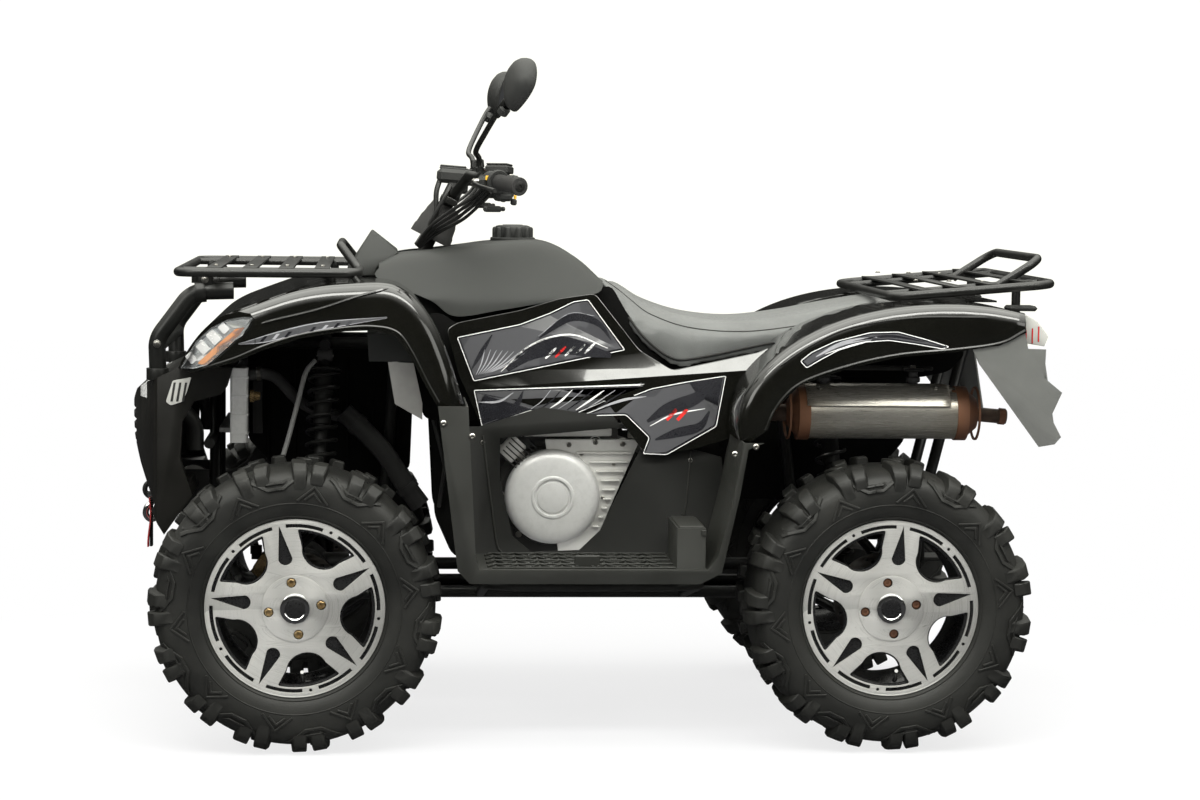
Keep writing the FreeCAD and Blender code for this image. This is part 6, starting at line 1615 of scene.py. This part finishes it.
def build_turn_signals():
    bumper = surface("front_bumper")
    signal = [(-936, 741), (-921, 788), (-880, 796), (-889, 766), (-899, 742), (-925, 733)]
    signals = overlay(softened_flat(signal, 4), bumper, 1.0, 5.0, 1.0)
    for index in range(3):
        x = -926 + 12.5 * index
        signals.join(overlay([(x, 742), (x + 5, 742), (x + 12, 784), (x + 7, 784)], bumper, 3.0, 3.0, 0.4),
                     1)
    piece("turn_signals", signals.both(), ["pale_cover", "dark_plastic"])
    dress("front_lamps", "reflector", bevel=1.0)


def build_bull_bar():
    dress("bull_bar", "black_steel", bevel=0.0)
    clamps = Form()
    for side in (-1, 1):
        clamps.turned([(-11, 19), (-11, 24), (11, 24), (11, 19)], (-862, side * 300, 983), (0.97, 0, 0.1),
                      24, 0, close=True)
        clamps.block((-852, side * 300, 1008), (34, 26, 26), 3, 0)
        clamps.join(bolt((-852, side * 314, 1010), (0, side, 0), 6, 5), 1)
        clamps.turned([(-13, 19), (-13, 25), (13, 25), (13, 19)], (-956.6, side * 291, 800), UP, 24, 0,
                      close=True)
        clamps.join(bolt((-956, side * 318, 868), (0, side, 0), 6.5, 5), 1)
    piece("bull_bar_clamps", clamps, ["black_steel", "bolt_steel"], bevel=0.8)


def build_winch():
    """Winch with its rope, a hook and the hanging strap."""
    dress("winch", "cast_black", bevel=1.2)
    rope = Form()
    for index in range(13):
        rope.turned([(-3, 36.5), (-2, 39), (0, 40), (2, 39), (3, 36.5)], (-899.3, -39 + 6.5 * index, 523),
                    RIGHT, 28, 0, close=True)
    hook = side_curve([(-990, 512), (-990, 496), (-992, 480), (-1003, 468), (-1006, 452), (-996, 440),
                       (-982, 444), (-976, 458)], 40)
    rope.tube(hook, [5.5 + 2.0 * math.sin(math.pi * index / 39) for index in range(40)], 12, 1)
    rope.turned([(-9, 5), (-8, 12), (0, 14), (8, 12), (9, 5)], (-990, 0, 497), UP, 20, 1)
    piece("winch_rope_and_hook", rope, ["bare_steel", "bright_chrome"])
    rows = []
    for index in range(25):
        share = index / 24
        z = 492 - 114 * share
        sway = 3.0 * math.sin(share * 5.0)
        half = 12.8 if share > 0.1 else 9.0 + share * 38
        rows.append([(-1000 + sway, -13 - half, z), (-1000 + sway, -13 + half, z),
                     (-996.6 + sway, -13 + half, z), (-996.6 + sway, -13 - half, z)])
    strap = Form().grid(rows, wrap=True).capped(4)
    ribbon = piece("winch_strap", strap.moved(2, 0, 0), ["strap_red"], bevel=0.6)


def build_nose():
    for build in (build_bumper, build_head_lamps, build_turn_signals, build_bull_bar, build_winch):
        build()


# Steering

def build_steering():
    """Column, bar, tie rods and knuckles, then grips, hand controls, instrument pod and mirrors."""
    for node, bevel in (("steering_column", 0.8), ("handlebar", 1.2), ("tie_rod_left", 0.6),
                        ("tie_rod_right", 0.6)):
        dress(node, "black_steel", bevel=bevel)
    for name in ("left", "right"):
        dress("knuckle_" + name, ["cast_black", "gold_steel"], bevel=1.0,
              tint=lambda centre: 1 if centre.z > 356 and centre.x < -668 and abs(centre.y) > 420 else 0)
    end = Vector(BAR_POINTS[-1])
    inward = (Vector(BAR_POINTS[-2]) - end).normalized()
    build_grips(end, inward)
    build_controls(end, inward)
    build_pod()
    build_mirrors()


def build_grips(end, inward):
    """Ribbed grips with a flange and an end plug."""
    grips = Form()
    profile = [(-3, 12), (-3, 19), (0, 20.5), (4, 20.5), (7, 17.5)]
    for index in range(20):
        along = 9 + 5.2 * index
        profile += [(along, 17.6), (along + 0.8, 16.4), (along + 2.2, 16.4), (along + 3.0, 17.6)]
    profile += [(114, 17.6), (114.5, 23), (118, 23.5), (119, 21), (119, 11.5)]
    grips.turned(profile, end, inward, 32)
    grips.turned([(-3.2, 12), (-4.6, 9), (-4.6, 4), (-2.2, 3.5), (-2.2, 0)], end, inward, 24, 1)
    piece("grips_dressed", grips.both(), ["grip_rubber", "cast_black"], ["grips"],
          "steering")


def build_controls(end, inward):
    """Switch housings, levers, buttons and cables; the right side has a reservoir too."""
    across = Vector(UP).cross(inward).normalized()
    rise = inward.cross(across)
    stand = Matrix((across, inward, rise)).transposed().to_4x4()
    stand.translation = end + inward * 124
    left, right = Form(), Form()
    left.block((-24, 0, -14), (48, 34, 54), 9, 4).block((-22, -4, -34), (40, 30, 20), 6, 4)
    left.turned([(-26, 18.4), (-26, 25), (-23, 27), (-19, 27), (-16, 22), (-16, 18.4)], ORIGIN, RIGHT, 36,
                4, close=True)
    left.turned([(-18, 11.6), (-18, 21), (18, 21), (18, 11.6)], ORIGIN, RIGHT, 32, 4, close=True)
    left.block((-50, 0, 2), (16, 26, 22), 4, 4).rod((-50, 14, -10), (-50, 14, 14), 5, 14, 3, 1)
    left.block((24, -16, 8), (10, 4, 10), 1.5, 0).block((-47, -16, -34), (6, 5, 10), 1.5, 0)
    left.block((-48, -8, -46), (12, 14, 14), 3, 4).rod((-47, 6, -24), (-51, 6, -24), 4, 16, 1, 1)
    left.block((16, 4, -4), (40, 30, 26), 6, 4).block((34, 10, -6), (26, 20, 20), 4, 3)
    left.tube([(34, 14, -4), (48, -2, -6), (52, -36, -8), (50, -76, -10), (46, -98, -12)],
              [6.5, 6.5, 5.5, 5.5, 6.5], 14, 2, flat=0.7)
    left.block((2, -4, -62), (42, 18, 13), 4, 4).rod((-20, -4, -62), (-28, -4, -62), 5.0, 12, 4, 1)
    right.join(left)
    right.block((-38, 0, 24), (60, 46, 22), 5, 4).block((-38, 0, 37), (54, 40, 4), 1.5, 4)
    right.rod((-4, -10, 20), (2, -10, 22), 7, 16, 1, 1)
    for drop in range(4):
        shift = Vector((6 * drop, 5 * drop, -5 * drop))
        cable = [Vector((-238, -276, 1222)) + shift, Vector((-262, -236, 1196)) + shift,
                 Vector((-306, -160, 1166)) + shift * 1.4,
                 Vector((-352, -82, 1128)) + shift, Vector((-384, -34, 1084)) + shift * 0.4]
        lines = Form().tube(flowing(cable, 40), 4.0, 10, 2)
        left.join(lines.turned_by(stand.inverted()))
        right.join(lines.turned_by(stand.inverted()))
    labels = ["button_yellow", "button_red", "cable_black", "bolt_steel", "dark_plastic"]
    both = left.turned_by(stand).join(right.turned_by(stand).opposite())
    piece("controls_dressed", both, labels, ["controls"], "steering")


def build_pod():
    """Instrument pod with its dial, lamps and hoses, and the folded shroud below it."""
    seat = Matrix.Rotation(math.radians(4), 4, "Y")
    seat.translation = Vector((-294, 0, 1222))
    pod = Form().block((-2, 0, 20), (84, 98, 34), 9, 0).block((6, 0, -4), (46, 52, 30), 6, 0)
    pod.block((-6, 0, 38), (66, 70, 5), 2, 0)
    pod.turned([(0, 30), (4, 31), (6, 29), (6, 27), (3, 26.5), (3, 0)], (-8, 0, 39), UP, 48, 0)
    pod.turned([(3.2, 26), (3.6, 25.5), (3.6, 0)], (-8, 0, 39), UP, 48, 1)
    for y in (-24, -8, 8, 24):
        pod.rod((32, y, 36), (32, y, 39.5), 4, 14, 2, 0.8)
    fold = [(0, 50), (18, 48.5), (24, 46), (44, 43.5), (50, 41), (66, 38), (72, 36), (84, 33)]
    foot = Vector((-300 - (1204 - 1098) * math.tan(COLUMN_TILT), 0, 1098))
    placed = pod.turned_by(seat)
    placed.turned(fold, foot, COLUMN_ALONG, 40, 3)
    for side in (-1, 1):
        hose = flowing([(-330, side * 30, 1234), (-338, side * 36, 1204), (-340, side * 36, 1150),
                        (-356, side * 24, 1100)], 36)
        placed.tube(hose, 5.5, 12, 2)
        placed.tube(flowing([(-306, side * 46, 1222), (-322, side * 54, 1190), (-352, side * 40, 1136),
                             (-372, side * 24, 1092)], 30), 4.5, 10, 2)
    piece("instrument_pod_dressed", placed, ["dark_plastic", "mirror_glass", "cable_black", "grip_rubber"],
          ["instrument_pod"], "steering")


def build_mirrors():
    stem = Vector(BAR_POINTS[1]) + (Vector(BAR_POINTS[2]) - Vector(BAR_POINTS[1])) * 0.72
    held = mirror_head()
    held.turned([(8, 6), (8, 10), (22, 10), (24, 6)], stem, UP, 6, 2)
    held.turned([(24, 9), (40, 7), (42, 5)], stem, UP, 20, 2)
    held.turned([(-9, 11.4), (-9, 15), (9, 15), (9, 11.4)], stem, (0.4, -1, 0), 24, 2, close=True)
    arm = [stem + Vector((0, 0, 10)), stem + Vector((-4, -8, 44)), (-256, -262, 1300), (-238, -340, 1340),
           (-210, -424, 1392), (-198, -440, 1410)]
    held.tube(flowing(arm, 40), 6.2, 16, 2)
    held.turned([(-6, 7), (-4, 12), (10, 13), (14, 8)], (-204, -428, 1384), (0.35, -0.4, 0.6), 20, 0)
    piece("mirrors_dressed", held.both(), ["dark_plastic", "mirror_glass", "black_steel"],
          ["mirrors"], "steering")


def mirror_head():
    """A teardrop mirror with its glass turned to the rider, its back domed."""
    outline = []
    for step in range(48):
        turn = math.tau * step / 48
        up = math.sin(turn)
        low = up * up if up < 0 else 0.0
        outline.append((math.cos(turn) * 47 * (1.0 - 0.5 * low) + 16 * low, up * (56 if up > 0 else 62)))
    rows = []
    for share, deep in ((0.86, 1.5), (0.93, 0.0), (0.97, -1.0), (1.0, -6.0), (0.985, -14.0), (0.93, -23.0),
                        (0.82, -31.0), (0.64, -37.5), (0.40, -41.5), (0.14, -43.0), (0.0, -43.2)):
        rows.append([(deep, u * share, w * share) for u, w in outline])
    head = Form().grid(rows, 0, wrap=True)
    glass = [(1.5, u * 0.86, w * 0.86) for u, w in outline]
    head.grid([glass, [(1.5, 0, 0)] * 48], 1, wrap=True)
    nod, swing, lean = (Matrix.Rotation(math.radians(degrees), 4, axis)
                        for degrees, axis in ((17, "Y"), (26, "Z"), (-14, "X")))
    turn = nod @ swing @ lean
    turn.translation = Vector((-157, -460, 1444))
    return head.turned_by(turn)


# Frame, engine and running gear

def coil(low, high, radius, wire, turns, mark=0, start=0.0):
    """A wound spring between two points."""
    low, high = Vector(low), Vector(high)
    along = (high - low).normalized()
    side = along.orthogonal().normalized()
    up = along.cross(side)
    path = []
    steps = int(turns * 18)
    for index in range(steps + 1):
        turn = math.tau * index / 18 + start
        path.append(low.lerp(high, index / steps) + (side * math.cos(turn) + up * math.sin(turn)) * radius)
    return Form().tube(path, wire, 8, mark)


def build_shocks():
    """Four dampers with open springs, eyes, collars and a hose to the front ones."""
    made = Form()
    for low, high in (((-603, -262, 478.4), (-590, -188, 836.7)), ((583, -290, 279), (545, -185, 842.7))):
        low, high = Vector(low), Vector(high)
        along = (high - low).normalized()
        long = (high - low).length
        foot, head = low + along * (long * 0.16), high - along * (long * 0.10)
        span = (head - foot).length
        made.join(coil(foot, head, 32.5, 4.6, 9 if low.x < 0 else 11))
        made.turned([(0, 8), (0, 15), (span * 0.55, 15), (span * 0.56, 20), (span - 2, 20), (span - 1, 8)],
                    foot, along, 28, 1)
        made.rod(foot + along * 4, head, 7.5, 16, 2)
        for spot, way in ((foot, 1), (head, -1)):
            made.turned([(-way * 9, 12), (-way * 9, 30), (-way * 5, 38), (0, 38), (0, 20), (way * 8, 18),
                         (way * 8, 12)], spot, along, 32, 1)
        made.turned([(-14, 19), (-10, 23), (-4, 23), (0, 19)], head - along * 40, along, 30, 1)
        for spot in (low, high):
            made.turned([(-17, 6), (-17, 14), (-14, 16), (14, 16), (17, 14), (17, 6)], spot, AFT, 24, 3,
                        close=True)
            made.rod(spot - Vector((20, 0, 0)), spot + Vector((20, 0, 0)), 6, 12, 2, 1)
        made.tube([low, foot], 13, 18, 1)
        made.tube([high, head], 12, 18, 1)
    hose = flowing([(-612, -214, 826), (-632, -240, 800), (-650, -280, 730), (-668, -300, 660),
                    (-684, -306, 600), (-682, -296, 560)], 40)
    made.tube(hose, 5.5, 10, 4)
    piece("shocks_dressed", made.both(), ["black_steel", "cast_black", "bright_chrome", "grip_rubber",
                                          "hose_grey"], ["shocks"])


def build_frame():
    for node, finish, bevel in (("frame", "black_steel", 0.0), ("front_arms", "black_steel", 0.0),
                                ("rear_arms", "black_steel", 0.0), ("drive_line", "cast_black", 1.5),
                                ("tow_hitch", "black_steel", 1.0), ("foot_tubes", "black_steel", 0.8)):
        dress(node, finish, bevel=bevel)
    extra = Form()
    for side in (-1, 1):
        for x, z in ((-795, 286), (-445, 286), (495, 286), (775, 286), (-840, 479), (-455, 479), (495, 479),
                     (795, 479)):
            extra.join(bolt((x, side * 116, z), (0, side, 0), 7.5, 6.5))
        boot = [(0, 12), (4, 20), (9, 14), (14, 22), (19, 15), (24, 24), (29, 17), (34, 26), (40, 20),
                (46, 27), (46, 12)]
        extra.turned(boot, (-645, side * 300, 318), (0, side, 0), 30, 1)
        inner_boot = [(0, 34), (6, 40), (12, 31), (18, 36), (24, 27), (30, 31), (36, 22), (42, 24),
                      (50, 13), (50, 11)]
        extra.turned(inner_boot, (-645, side * 78, 318), (0, side, 0), 30, 1)
        line = flowing([(-560, side * 116, 560), (-600, side * 180, 500), (-640, side * 270, 470),
                        (-668, side * 340, 430), (-688, side * 392, 396)], 44)
        extra.tube(line, 4.2, 10, 1)
    piece("frame_fittings", extra, ["bolt_steel", "grip_rubber"])


def build_racks():
    """Tube racks with flat bars, rubber-footed legs and bolts."""
    for node in ("front_rack", "rear_rack"):
        dress(node, "black_steel", bevel=0.9)
    bolts = Form()
    for x in (-828, -750, -672, -594):
        for y in (-300, 300):
            bolts.join(bolt((x, y, 1041), UP, 4.5, 3.4))
    for x in (744, 820, 896, 972):
        for y in (-250, 250):
            bolts.join(bolt((x, y, 1018 - (x - 896) * 0.008), UP, 4.5, 3.4))
    for side in (-1, 1):
        hooked = flowing([(-524, side * 418, 1022), (-512, side * 420, 1006), (-512, side * 420, 992)], 14)
        bolts.tube(hooked, 6.5, 12, 1)
        bolts.block((-512, side * 420, 988), (26, 22, 8), 2, 1)
    piece("rack_bolts", bolts, ["bolt_steel", "black_steel"])


def build_exhaust():
    """Brushed can with bands, end caps, heat shield, mounts, outlet and header."""
    def tint(centre):
        if centre.x < 436 or centre.x > 868:
            return 1
        return 2 if centre.x < 474 or centre.x > 803 else 0

    dress("exhaust", ["muffler_steel", "header_steel", "rusted_steel"], bevel=1.2,
          tint=tint)
    extra = Form()
    rows = []
    can_y, can_z, can_radius = -345, 727, 66
    for step in range(15):
        turn = math.radians(18 + 118 * step / 14)
        out = Vector((0, -math.cos(turn), math.sin(turn)))
        rows.append([Vector((x, can_y, can_z)) + out * radius for x, radius in
                     ((478, 63.5), (482, 65.5), (500, 66.0), (640, 66.3), (780, 66.0), (796, 65.5),
                      (800, 63.5))])
    piece("heat_shield", Form().grid(rows), ["muffler_steel"], wall=1.4)
    for x in (508, 770):
        out = Vector((0, -0.5, 0.866))
        extra.join(screws([(Vector((x, can_y, can_z)) + out * can_radius, out)], 6, 3, 0))
    for x in (521, 724):
        extra.rod((x, can_y, 784), (x, can_y, 820), 11, 20, 1, 2)
        extra.rod((x, can_y, 796), (x, can_y, 808), 16, 24, 1, 2)
        extra.block((x, can_y, 824), (44, 34, 7), 2, 2)
        extra.rod((x, can_y, 826), (x, can_y, 834), 6, 6, 0, 1)
    extra.block((622, -330, 826), (300, 12, 10), 3, 2)
    for x in (442, 866):
        extra.turned([(-3, 57), (-2, 60.5), (2, 60.5), (3, 57)], (x, can_y, can_z), AFT, 48, 3, close=True)
    outlet = [(0, 16.2), (0, 18.5), (14, 18.5), (15, 16.2)]
    extra.turned(outlet, (920, can_y, 721), (1, 0, -0.11), 30, 3, close=True)
    piece("exhaust_fittings", extra, ["bolt_steel", "grip_rubber", "black_steel", "rusted_steel"])


def build_engine():
    """Engine block with fins, bolts and pipes in the footwell's opening, and the spun cover."""
    dress("engine", ["cast_alloy"], bevel=2.0)
    made = Form()
    x, z = -75, 522
    face, cover_foot, cover_radius = -209.5, -202.4, 112
    low = [(-92, 652), (118, 652), (118, 640), (30, 434), (-10, 396), (-60, 396)]
    made.prism([(px, face, pz) for px, pz in low], (0, -13, 0), 0)
    for index in range(9):
        level = 622 - 21 * index
        near = x + math.sqrt(max(cover_radius ** 2 - (level - z) ** 2, 0)) + 3
        far = 112 - (640 - level) * 0.43
        if far > near + 8:
            made.block(((near + far) / 2, face - 12, level), (far - near, 22, 4.0), 1.2, 0)
    for px, pz, radius in ((-38, 640, 8), (22, 646, 9), (84, 642, 9), (-150, 610, 8), (-10, 618, 6),
                           (64, 596, 6), (40, 520, 6)):
        made.turned([(0, radius * 1.5), (8, radius * 1.5), (9, radius * 1.35)], (px, face - 3, pz), LEFT,
                    20, 0)
        made.join(bolt((px, face - 11, pz), LEFT, radius * 0.75, 6), 1)
    made.rod((-150, face - 16, 668), (58, face - 16, 670), 10, 20, 2, 2)
    made.rod((-150, face - 8, 650), (-186, face - 8, 612), 24, 28, 0, 4)
    for index in range(7):
        made.turned([(0, 34), (3, 34)], (-178 + 7 * index, face - 4, 604 + 8 * index), (0.66, 0, 0.75), 28,
                    3)
    made.block((-160, face - 4, 650), (70, 18, 40), 5, 3)
    made.rod((96, face - 10, 668), (120, face - 10, 664), 12, 20, 1, 2)
    hose = flowing([(-190, face - 8, 640), (-176, face - 16, 676), (-120, face - 16, 690),
                    (-40, face - 14, 688), (90, face - 10, 684)], 40)
    made.tube(hose, 7, 12, 3)
    piece("engine_fittings", made, ["fin_silver", "bolt_steel", "bare_steel", "dark_plastic"],
          bevel=0.8)
    cover = [(0, 100), (0, 107.5), (10, 108), (26, 107.5), (35, 104.5), (41, 98), (44.5, 88), (46.2, 74),
             (46.8, 56), (47, 49.5), (48.6, 48),
             (49.3, 45.5), (48.8, 42), (44.0, 40.5), (43.6, 37.5), (46.6, 35), (47.4, 32), (47.6, 0)]
    spun = Form().turned(cover, (x, cover_foot, z), LEFT, 96, 0)
    spun.turned([(-2, 100), (-2, 113), (3, 113.5), (7, 112), (7, 100)], (x, cover_foot, z), LEFT, 96, 1,
                close=True)
    for index in range(7):
        place = polar(116, 24 + 360 / 7 * index)
        spun.turned([(-2, 10), (5, 10), (6, 8)], (x + place[0], cover_foot, z + place[1]), LEFT, 20, 1)
        spun.join(bolt((x + place[0], -208.4, z + place[1]), LEFT, 5.5, 5), 2)
    piece("clutch_cover_dressed", spun, ["cover_alloy", "cast_alloy", "bolt_steel"],
          ["clutch_cover"], chart=dial_chart(x, z))


def build_radiator():
    dress("radiator", ["fin_alloy", "cover_alloy"], bevel=1.5,
          tint=lambda centre: 1 if abs(centre.y) > 195 else 0)
    extra = Form()
    for side in (-1, 1):
        for z in (662, 704, 746, 788):
            extra.block((-779, side * 212, z), (39, 36, 5), 1.5, 0)
        extra.turned([(0, 9), (0, 14), (9, 14), (10, 11), (22, 9), (23, 6)], (-757, side * 206, 745), AFT,
                     20, 1)
        hose = flowing([(-760, side * 204, 792), (-728, side * 206, 796), (-694, side * 180, 780),
                        (-640, side * 120, 720), (-560, side * 90, 690)], 40)
        extra.tube(hose, 13, 16, 2)
        extra.turned([(-5, 13.5), (-5, 15.5), (5, 15.5), (5, 13.5)], (-738, side * 206, 795.5), (1, 0, 0.1),
                     24, 3, close=True)
    hub = (-756, 0, 724)
    fan = Form().turned([(0, 96), (0, 102), (22, 102), (22, 96)], hub, AFT, 60, 2, close=True)
    fan.turned([(0, 30), (16, 30), (20, 24), (20, 0)], hub, AFT, 36, 2)
    blade = Form().block((-748, 0, 788), (3, 34, 62), 1, 0, Matrix.Rotation(math.radians(28), 3, "Z"))
    fan.join(repeated(blade, 7, AFT, (-748, 0, 724), "dark_plastic"), 2)
    piece("radiator_fittings", extra.join(fan), ["cover_alloy", "gold_steel", "grip_rubber", "bolt_steel"])


# Add-on

class QuadFinishes(bpy.types.PropertyGroup):
    """Colours that a user may change."""

    gloss_body: FloatVectorProperty(name="Gloss body",
                                    description="Colour of the glossy fenders and side panels",
                                    default=(0.0030, 0.0030, 0.0022), size=3, min=0, max=1, subtype="COLOR")
    matte_body: FloatVectorProperty(name="Matte body",
                                    description="Colour of the grained covers and footwells",
                                    default=(0.0215, 0.0226, 0.0210), size=3, min=0, max=1, subtype="COLOR")
    seat: FloatVectorProperty(name="Seat", description="Colour of the seat cover",
                              default=(0.084, 0.087, 0.085), size=3, min=0, max=1, subtype="COLOR")
    alloy: FloatVectorProperty(name="Alloy", description="Colour of the machined wheel faces",
                               default=(0.56, 0.555, 0.535), size=3, min=0, max=1, subtype="COLOR")


class QuadSizes(bpy.types.PropertyGroup):
    """Sizes that a user may change."""

    rim_lip_radius: FloatProperty(name="Rim lip radius", description="Outer radius of the rim's edge",
                                  default=0.193, min=0.15, max=0.22, unit="LENGTH")
    spokes: IntProperty(name="Spokes", description="Spokes of a rim", default=5, min=3, max=9)


def operator(name, label, note, build):
    """An operator that makes one group of pieces."""
    def execute(self, context):
        build()
        return {"FINISHED"}
    return type("QUAD_OT_" + name, (bpy.types.Operator,),
                {"bl_idname": "quad." + name, "bl_label": label, "__doc__": note, "execute": execute})


STEPS = [operator(*step) for step in (
    ("stage", "Stage", "Adds the floor, the lamps and the camera.", build_stage),
    ("tyres", "Tyres", "Adds the four tyres.", build_tyres),
    ("rims", "Rims", "Adds the four rims.", build_rims),
    ("discs", "Brake discs", "Adds the discs, hubs and rear half shafts.", build_discs),
    ("front_fenders", "Front fenders", "Adds the front fenders with their trims and decals.",
     build_front_fenders),
    ("rear_fenders", "Rear fenders", "Adds the rear fenders with their trims and decals.",
     build_rear_fenders),
    ("side_panels", "Side panels", "Adds the side panels and their decals.", build_side_panels),
    ("tank", "Tank cover", "Adds the tank cover, the fuel cap and the cowl.", build_tank),
    ("seat", "Seat", "Adds the padded seat with its welts.", build_seat),
    ("footwells", "Footwells", "Adds both footwells with grates and screws.", build_footwells),
    ("rear_trim", "Rear trim", "Adds flaps, inner guards and tail lamps.", build_rear_trim),
    # The dark inner skins are painted shade, set where the frame's inside is in shade.
    ("liners", "Inner liners", "Adds the dark inner skins and ducts.", build_shade_skins),
    ("nose", "Nose", "Adds bumper, lamps, bull bar and winch.", build_nose),
    ("steering", "Steering", "Adds the bar, its controls, the pod and the mirrors.", build_steering),
    ("shocks", "Shocks", "Adds the four dampers with their springs.", build_shocks),
    ("frame_tubes", "Frame", "Adds the frame, the arms and the drive line.", build_frame),
    ("racks", "Racks", "Adds both racks.", build_racks),
    ("exhaust", "Exhaust", "Adds the muffler, its shield and its mounts.", build_exhaust),
    ("engine", "Engine", "Adds the engine's outside and its round cover.", build_engine),
    ("radiator", "Radiator", "Adds the radiator, its hoses and its fan.", build_radiator),
)]


class QUAD_PT_pieces(bpy.types.Panel):
    """Lists the colours, the sizes and the groups of pieces."""

    bl_label = "Quad bike"
    bl_idname = "QUAD_PT_pieces"
    bl_space_type = "VIEW_3D"
    bl_region_type = "UI"
    bl_category = "Quad bike"

    def draw(self, context):
        for group in (context.scene.quad_finishes, context.scene.quad_sizes):
            for name in group.__annotations__:
                self.layout.prop(group, name)
        for step in STEPS:
            self.layout.operator(step.bl_idname)


CLASSES = [QuadFinishes, QuadSizes] + STEPS + [QUAD_PT_pieces]


def register():
    for item in CLASSES:
        bpy.utils.register_class(item)
    bpy.types.Scene.quad_finishes = PointerProperty(type=QuadFinishes)
    bpy.types.Scene.quad_sizes = PointerProperty(type=QuadSizes)


def unregister():
    del bpy.types.Scene.quad_sizes
    del bpy.types.Scene.quad_finishes
    for item in reversed(CLASSES):
        bpy.utils.unregister_class(item)


def main():
    register()
    for step in STEPS:
        group, name = step.bl_idname.split(".")
        getattr(getattr(bpy.ops, group), name)()


if __name__ == "__main__":
    main()
